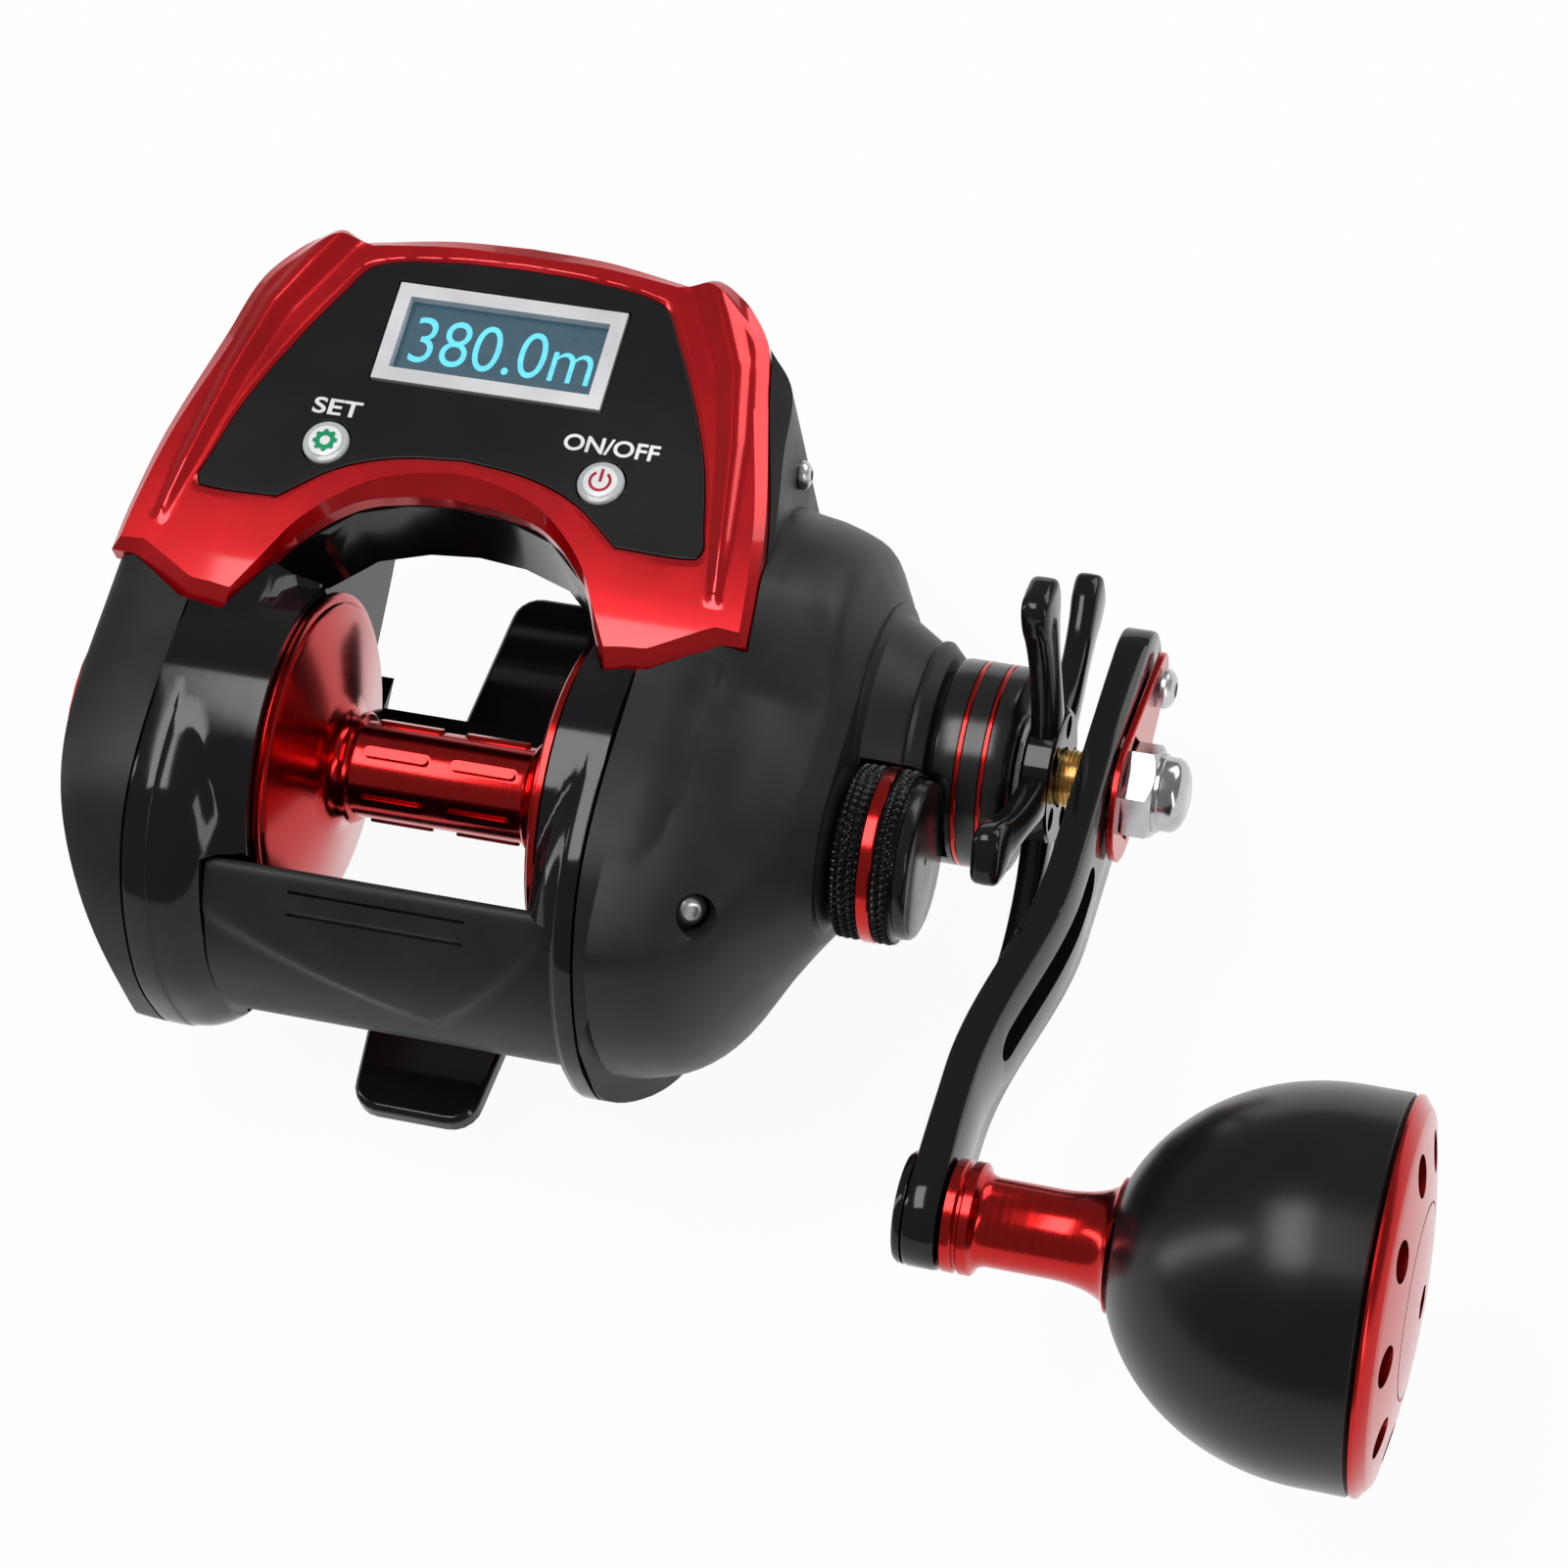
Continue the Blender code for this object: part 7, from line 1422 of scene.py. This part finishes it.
class REEL_OT_knob(bpy.types.Operator):
    """Finish the handle knob with its stem and end cap"""
    bl_idname = "reel.knob"
    bl_label = "Knob"

    def execute(self, context):
        stem = list(STEM_RINGS)
        for step in range(FLARE_STEPS + 1):
            turn = math.pi / 2 * step / FLARE_STEPS
            stem.append((FLARE_START + FLARE_WIDTH * math.sin(turn), FLARE_RADIUS + FLARE_RISE * (1 - math.cos(turn))))
        stem += STEM_END
        turned_piece("stem_shell", "knob_stem", stem, KNOB_AXIS, "knob_red", sharp=30)
        first = math.asin(BALL_NECK / BALL_RADIUS)
        ball = list(BALL_MOUTH)
        for step in range(BALL_STEPS + 1):
            turn = first + (math.pi / 2 - first) * step / BALL_STEPS
            ball.append((BALL_PLACE - BALL_LENGTH * math.cos(turn) / math.cos(first), BALL_RADIUS * math.sin(turn)))
        ball += BALL_REAR
        turned_piece("ball_shell", "knob_body", ball, KNOB_AXIS, "knob_black", steps=160)
        cap = list(CAP_RIM)
        for step in range(DOME_STEPS + 1):
            share = 1 - step / DOME_STEPS
            cap.append((DOME_START + DOME_HEIGHT * (1 - share ** 2), DOME_RADIUS * share))
        piece = turned_piece("cap_shell", "knob_cap", cap, KNOB_AXIS, "knob_red", closed=False, sharp=20, steps=160)
        holes = [rod_shape(110.0, 114.0, CAP_HOLE,
                           beside(KNOB_AXIS, CAP_HOLE_REACH, math.tau * (index + 0.5) / CAP_HOLES), 40)
                 for index in range(CAP_HOLES)]
        groove = spun_shape(CAP_GROOVE, KNOB_AXIS, BORE_STEPS, closed=True)
        carve(piece, holes + [hex_shape(111.8, 114.0, 1.9, KNOB_AXIS), groove])
        round_edges(piece, 0.12 * MM, 30.0)
        turned_piece("spindle_shell", "knob_spindle", SPINDLE, KNOB_AXIS, "gloss_black", closed=False)
        tint("knob_steel", "knob_bearing")
        return {"FINISHED"}


class REEL_OT_tension(bpy.types.Operator):
    """Finish the knurled tension knob and its band"""
    bl_idname = "reel.tension"
    bl_label = "Tension knob"

    def execute(self, context):
        knurled_knob()
        turned_piece("band_shell", "tension_band", TENSION_BAND, SPOOL_AXIS, "spool_red")
        return {"FINISHED"}


class REEL_OT_fasteners(bpy.types.Operator):
    """Set the small screws of the covers"""
    bl_idname = "reel.fasteners"
    bl_label = "Fasteners"

    def execute(self, context):
        seat = COVER_SCREW - COVER_SCREW_WAY.normalized() * COVER_SCREW_DEPTH
        screw_head("cover_screw", "right_cover", 1.1, 1.75, seat, COVER_SCREW_WAY)
        screw_head("flank_screw", "right_cover", 1.2, 1.6, FLANK_SCREW, FLANK_SCREW_WAY)
        return {"FINISHED"}


class REEL_OT_line_guide(bpy.types.Operator):
    """Finish the line guide, its eyelet, the worm shaft and the rail"""
    bl_idname = "reel.line_guide"
    bl_label = "Line guide"

    def execute(self, context):
        dress("line_guide", "satin_black", 0.2 * MM)
        dress("guide_eyelet", "ceramic", 0.08 * MM)
        tint("steel", "worm_shaft", "guide_rail")
        return {"FINISHED"}


class REEL_OT_studio(bpy.types.Operator):
    """Set up the floor, the lights and the camera"""
    bl_idname = "reel.studio"
    bl_label = "Studio"

    def execute(self, context):
        studio = context.scene.reel_studio
        scene = context.scene
        scene.view_settings.view_transform = "Standard"
        shape = bmesh.new()
        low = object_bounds()[0][2] - FLOOR_GAP
        bmesh.ops.create_grid(shape, x_segments=8, y_segments=8, size=2.5, matrix=Matrix.Translation((0, 0, low)))
        mesh = bpy.data.meshes.new("floor")
        shape.to_mesh(mesh)
        shape.free()
        floor = bpy.data.objects.new("floor", mesh)
        scene.collection.objects.link(floor)
        mesh.materials.append(floor_material(tuple(scene.reel_colours.floor)))
        floor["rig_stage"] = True
        add_sky(studio.sky)
        right_power = studio.strip_power * RIGHT_STRIP_SHARE
        for light, power in zip(LIGHTS, (studio.key_power, studio.back_power, studio.strip_power, right_power)):
            add_light(*light, power)
        add_camera(studio.lens)
        return {"FINISHED"}


def floor_material(colour):
    """Pale floor that keeps a soft shadow and stays white to the camera."""
    nodes = Nodes("pale_floor")
    nodes.paint(nodes.noise(3.0), shade(colour, 0.99), colour)
    nodes.shader.inputs["Roughness"].default_value = 0.9
    glow = nodes.add("ShaderNodeEmission")
    glow.inputs["Color"].default_value = (1, 1, 1, 1)
    rays = nodes.add("ShaderNodeLightPath")
    seen = nodes.add("ShaderNodeMath", operation="MAXIMUM")
    nodes.link(rays.outputs["Is Camera Ray"], seen.inputs[0])
    nodes.link(rays.outputs["Is Glossy Ray"], seen.inputs[1])
    through = nodes.add("ShaderNodeMath", operation="MAXIMUM")
    nodes.link(seen.outputs[0], through.inputs[0])
    nodes.link(rays.outputs["Is Transmission Ray"], through.inputs[1])
    share = nodes.add("ShaderNodeMath", operation="MULTIPLY")
    share.inputs[1].default_value = FLOOR_GLOW
    nodes.link(through.outputs[0], share.inputs[0])
    blend = nodes.add("ShaderNodeMixShader")
    nodes.link(share.outputs[0], blend.inputs["Fac"])
    nodes.link(nodes.shader.outputs[0], blend.inputs[1])
    nodes.link(glow.outputs[0], blend.inputs[2])
    nodes.link(blend.outputs[0], nodes.tree.nodes["Material Output"].inputs["Surface"])
    return nodes.material


def add_sky(strength):
    """Even light all round, plain white where the camera sees it."""
    world = bpy.data.worlds.new("studio")
    bpy.context.scene.world = world
    world.use_nodes = True
    tree = world.node_tree
    tree.nodes.clear()
    out = tree.nodes.new("ShaderNodeOutputWorld")
    rays = tree.nodes.new("ShaderNodeLightPath")
    blend = tree.nodes.new("ShaderNodeMixShader")
    for power, socket in ((strength, 1), (1.0, 2)):
        ground = tree.nodes.new("ShaderNodeBackground")
        ground.inputs["Color"].default_value = (1, 1, 1, 1)
        ground.inputs["Strength"].default_value = power
        tree.links.new(ground.outputs[0], blend.inputs[socket])
    tree.links.new(rays.outputs["Is Camera Ray"], blend.inputs["Fac"])
    tree.links.new(blend.outputs[0], out.inputs["Surface"])


def add_light(name, place, size, power):
    """Rectangular light that looks at the reel."""
    lamp = bpy.data.lights.new(name, "AREA")
    lamp.shape = "RECTANGLE"
    lamp.size, lamp.size_y = size
    lamp.energy = power
    light = bpy.data.objects.new(name, lamp)
    light.location = place
    light.rotation_euler = (LIGHT_AIM - Vector(place)).to_track_quat("-Z", "Y").to_euler()
    bpy.context.scene.collection.objects.link(light)


def add_camera(lens):
    """Camera of the picture."""
    data = bpy.data.cameras.new("camera")
    data.lens = lens
    data.sensor_width = 36.0
    data.clip_start = 0.01
    camera = bpy.data.objects.new("camera", data)
    camera.matrix_world = Matrix.Translation(CAMERA_PLACE) @ Matrix(CAMERA_AXES).transposed().to_4x4()
    bpy.context.scene.collection.objects.link(camera)
    bpy.context.scene.camera = camera


OPERATORS = (
    REEL_OT_body, REEL_OT_display, REEL_OT_spool, REEL_OT_gears, REEL_OT_drag, REEL_OT_handle, REEL_OT_knob,
    REEL_OT_tension, REEL_OT_fasteners, REEL_OT_line_guide, REEL_OT_studio,
)


class REEL_PT_panel(bpy.types.Panel):
    bl_idname = "REEL_PT_panel"
    bl_label = "Reel"
    bl_space_type = "VIEW_3D"
    bl_region_type = "UI"
    bl_category = "Reel"

    def draw(self, context):
        for group in (context.scene.reel_colours, context.scene.reel_sizes, context.scene.reel_studio):
            for name in group.__annotations__:
                self.layout.prop(group, name)
        for operator in OPERATORS:
            self.layout.operator(operator.bl_idname)


CLASSES = (ReelColours, ReelSizes, ReelStudio) + OPERATORS + (REEL_PT_panel,)


def register():
    for item in CLASSES:
        bpy.utils.register_class(item)
    bpy.types.Scene.reel_colours = bpy.props.PointerProperty(type=ReelColours)
    bpy.types.Scene.reel_sizes = bpy.props.PointerProperty(type=ReelSizes)
    bpy.types.Scene.reel_studio = bpy.props.PointerProperty(type=ReelStudio)


def unregister():
    for name in ("reel_colours", "reel_sizes", "reel_studio"):
        delattr(bpy.types.Scene, name)
    for item in reversed(CLASSES):
        bpy.utils.unregister_class(item)


def main():
    register()
    make_materials()
    bpy.ops.reel.body()
    bpy.ops.reel.display()
    bpy.ops.reel.spool()
    bpy.ops.reel.gears()
    bpy.ops.reel.drag()
    bpy.ops.reel.handle()
    bpy.ops.reel.knob()
    bpy.ops.reel.tension()
    bpy.ops.reel.fasteners()
    bpy.ops.reel.line_guide()
    bpy.ops.reel.studio()


if __name__ == "__main__":
    main()
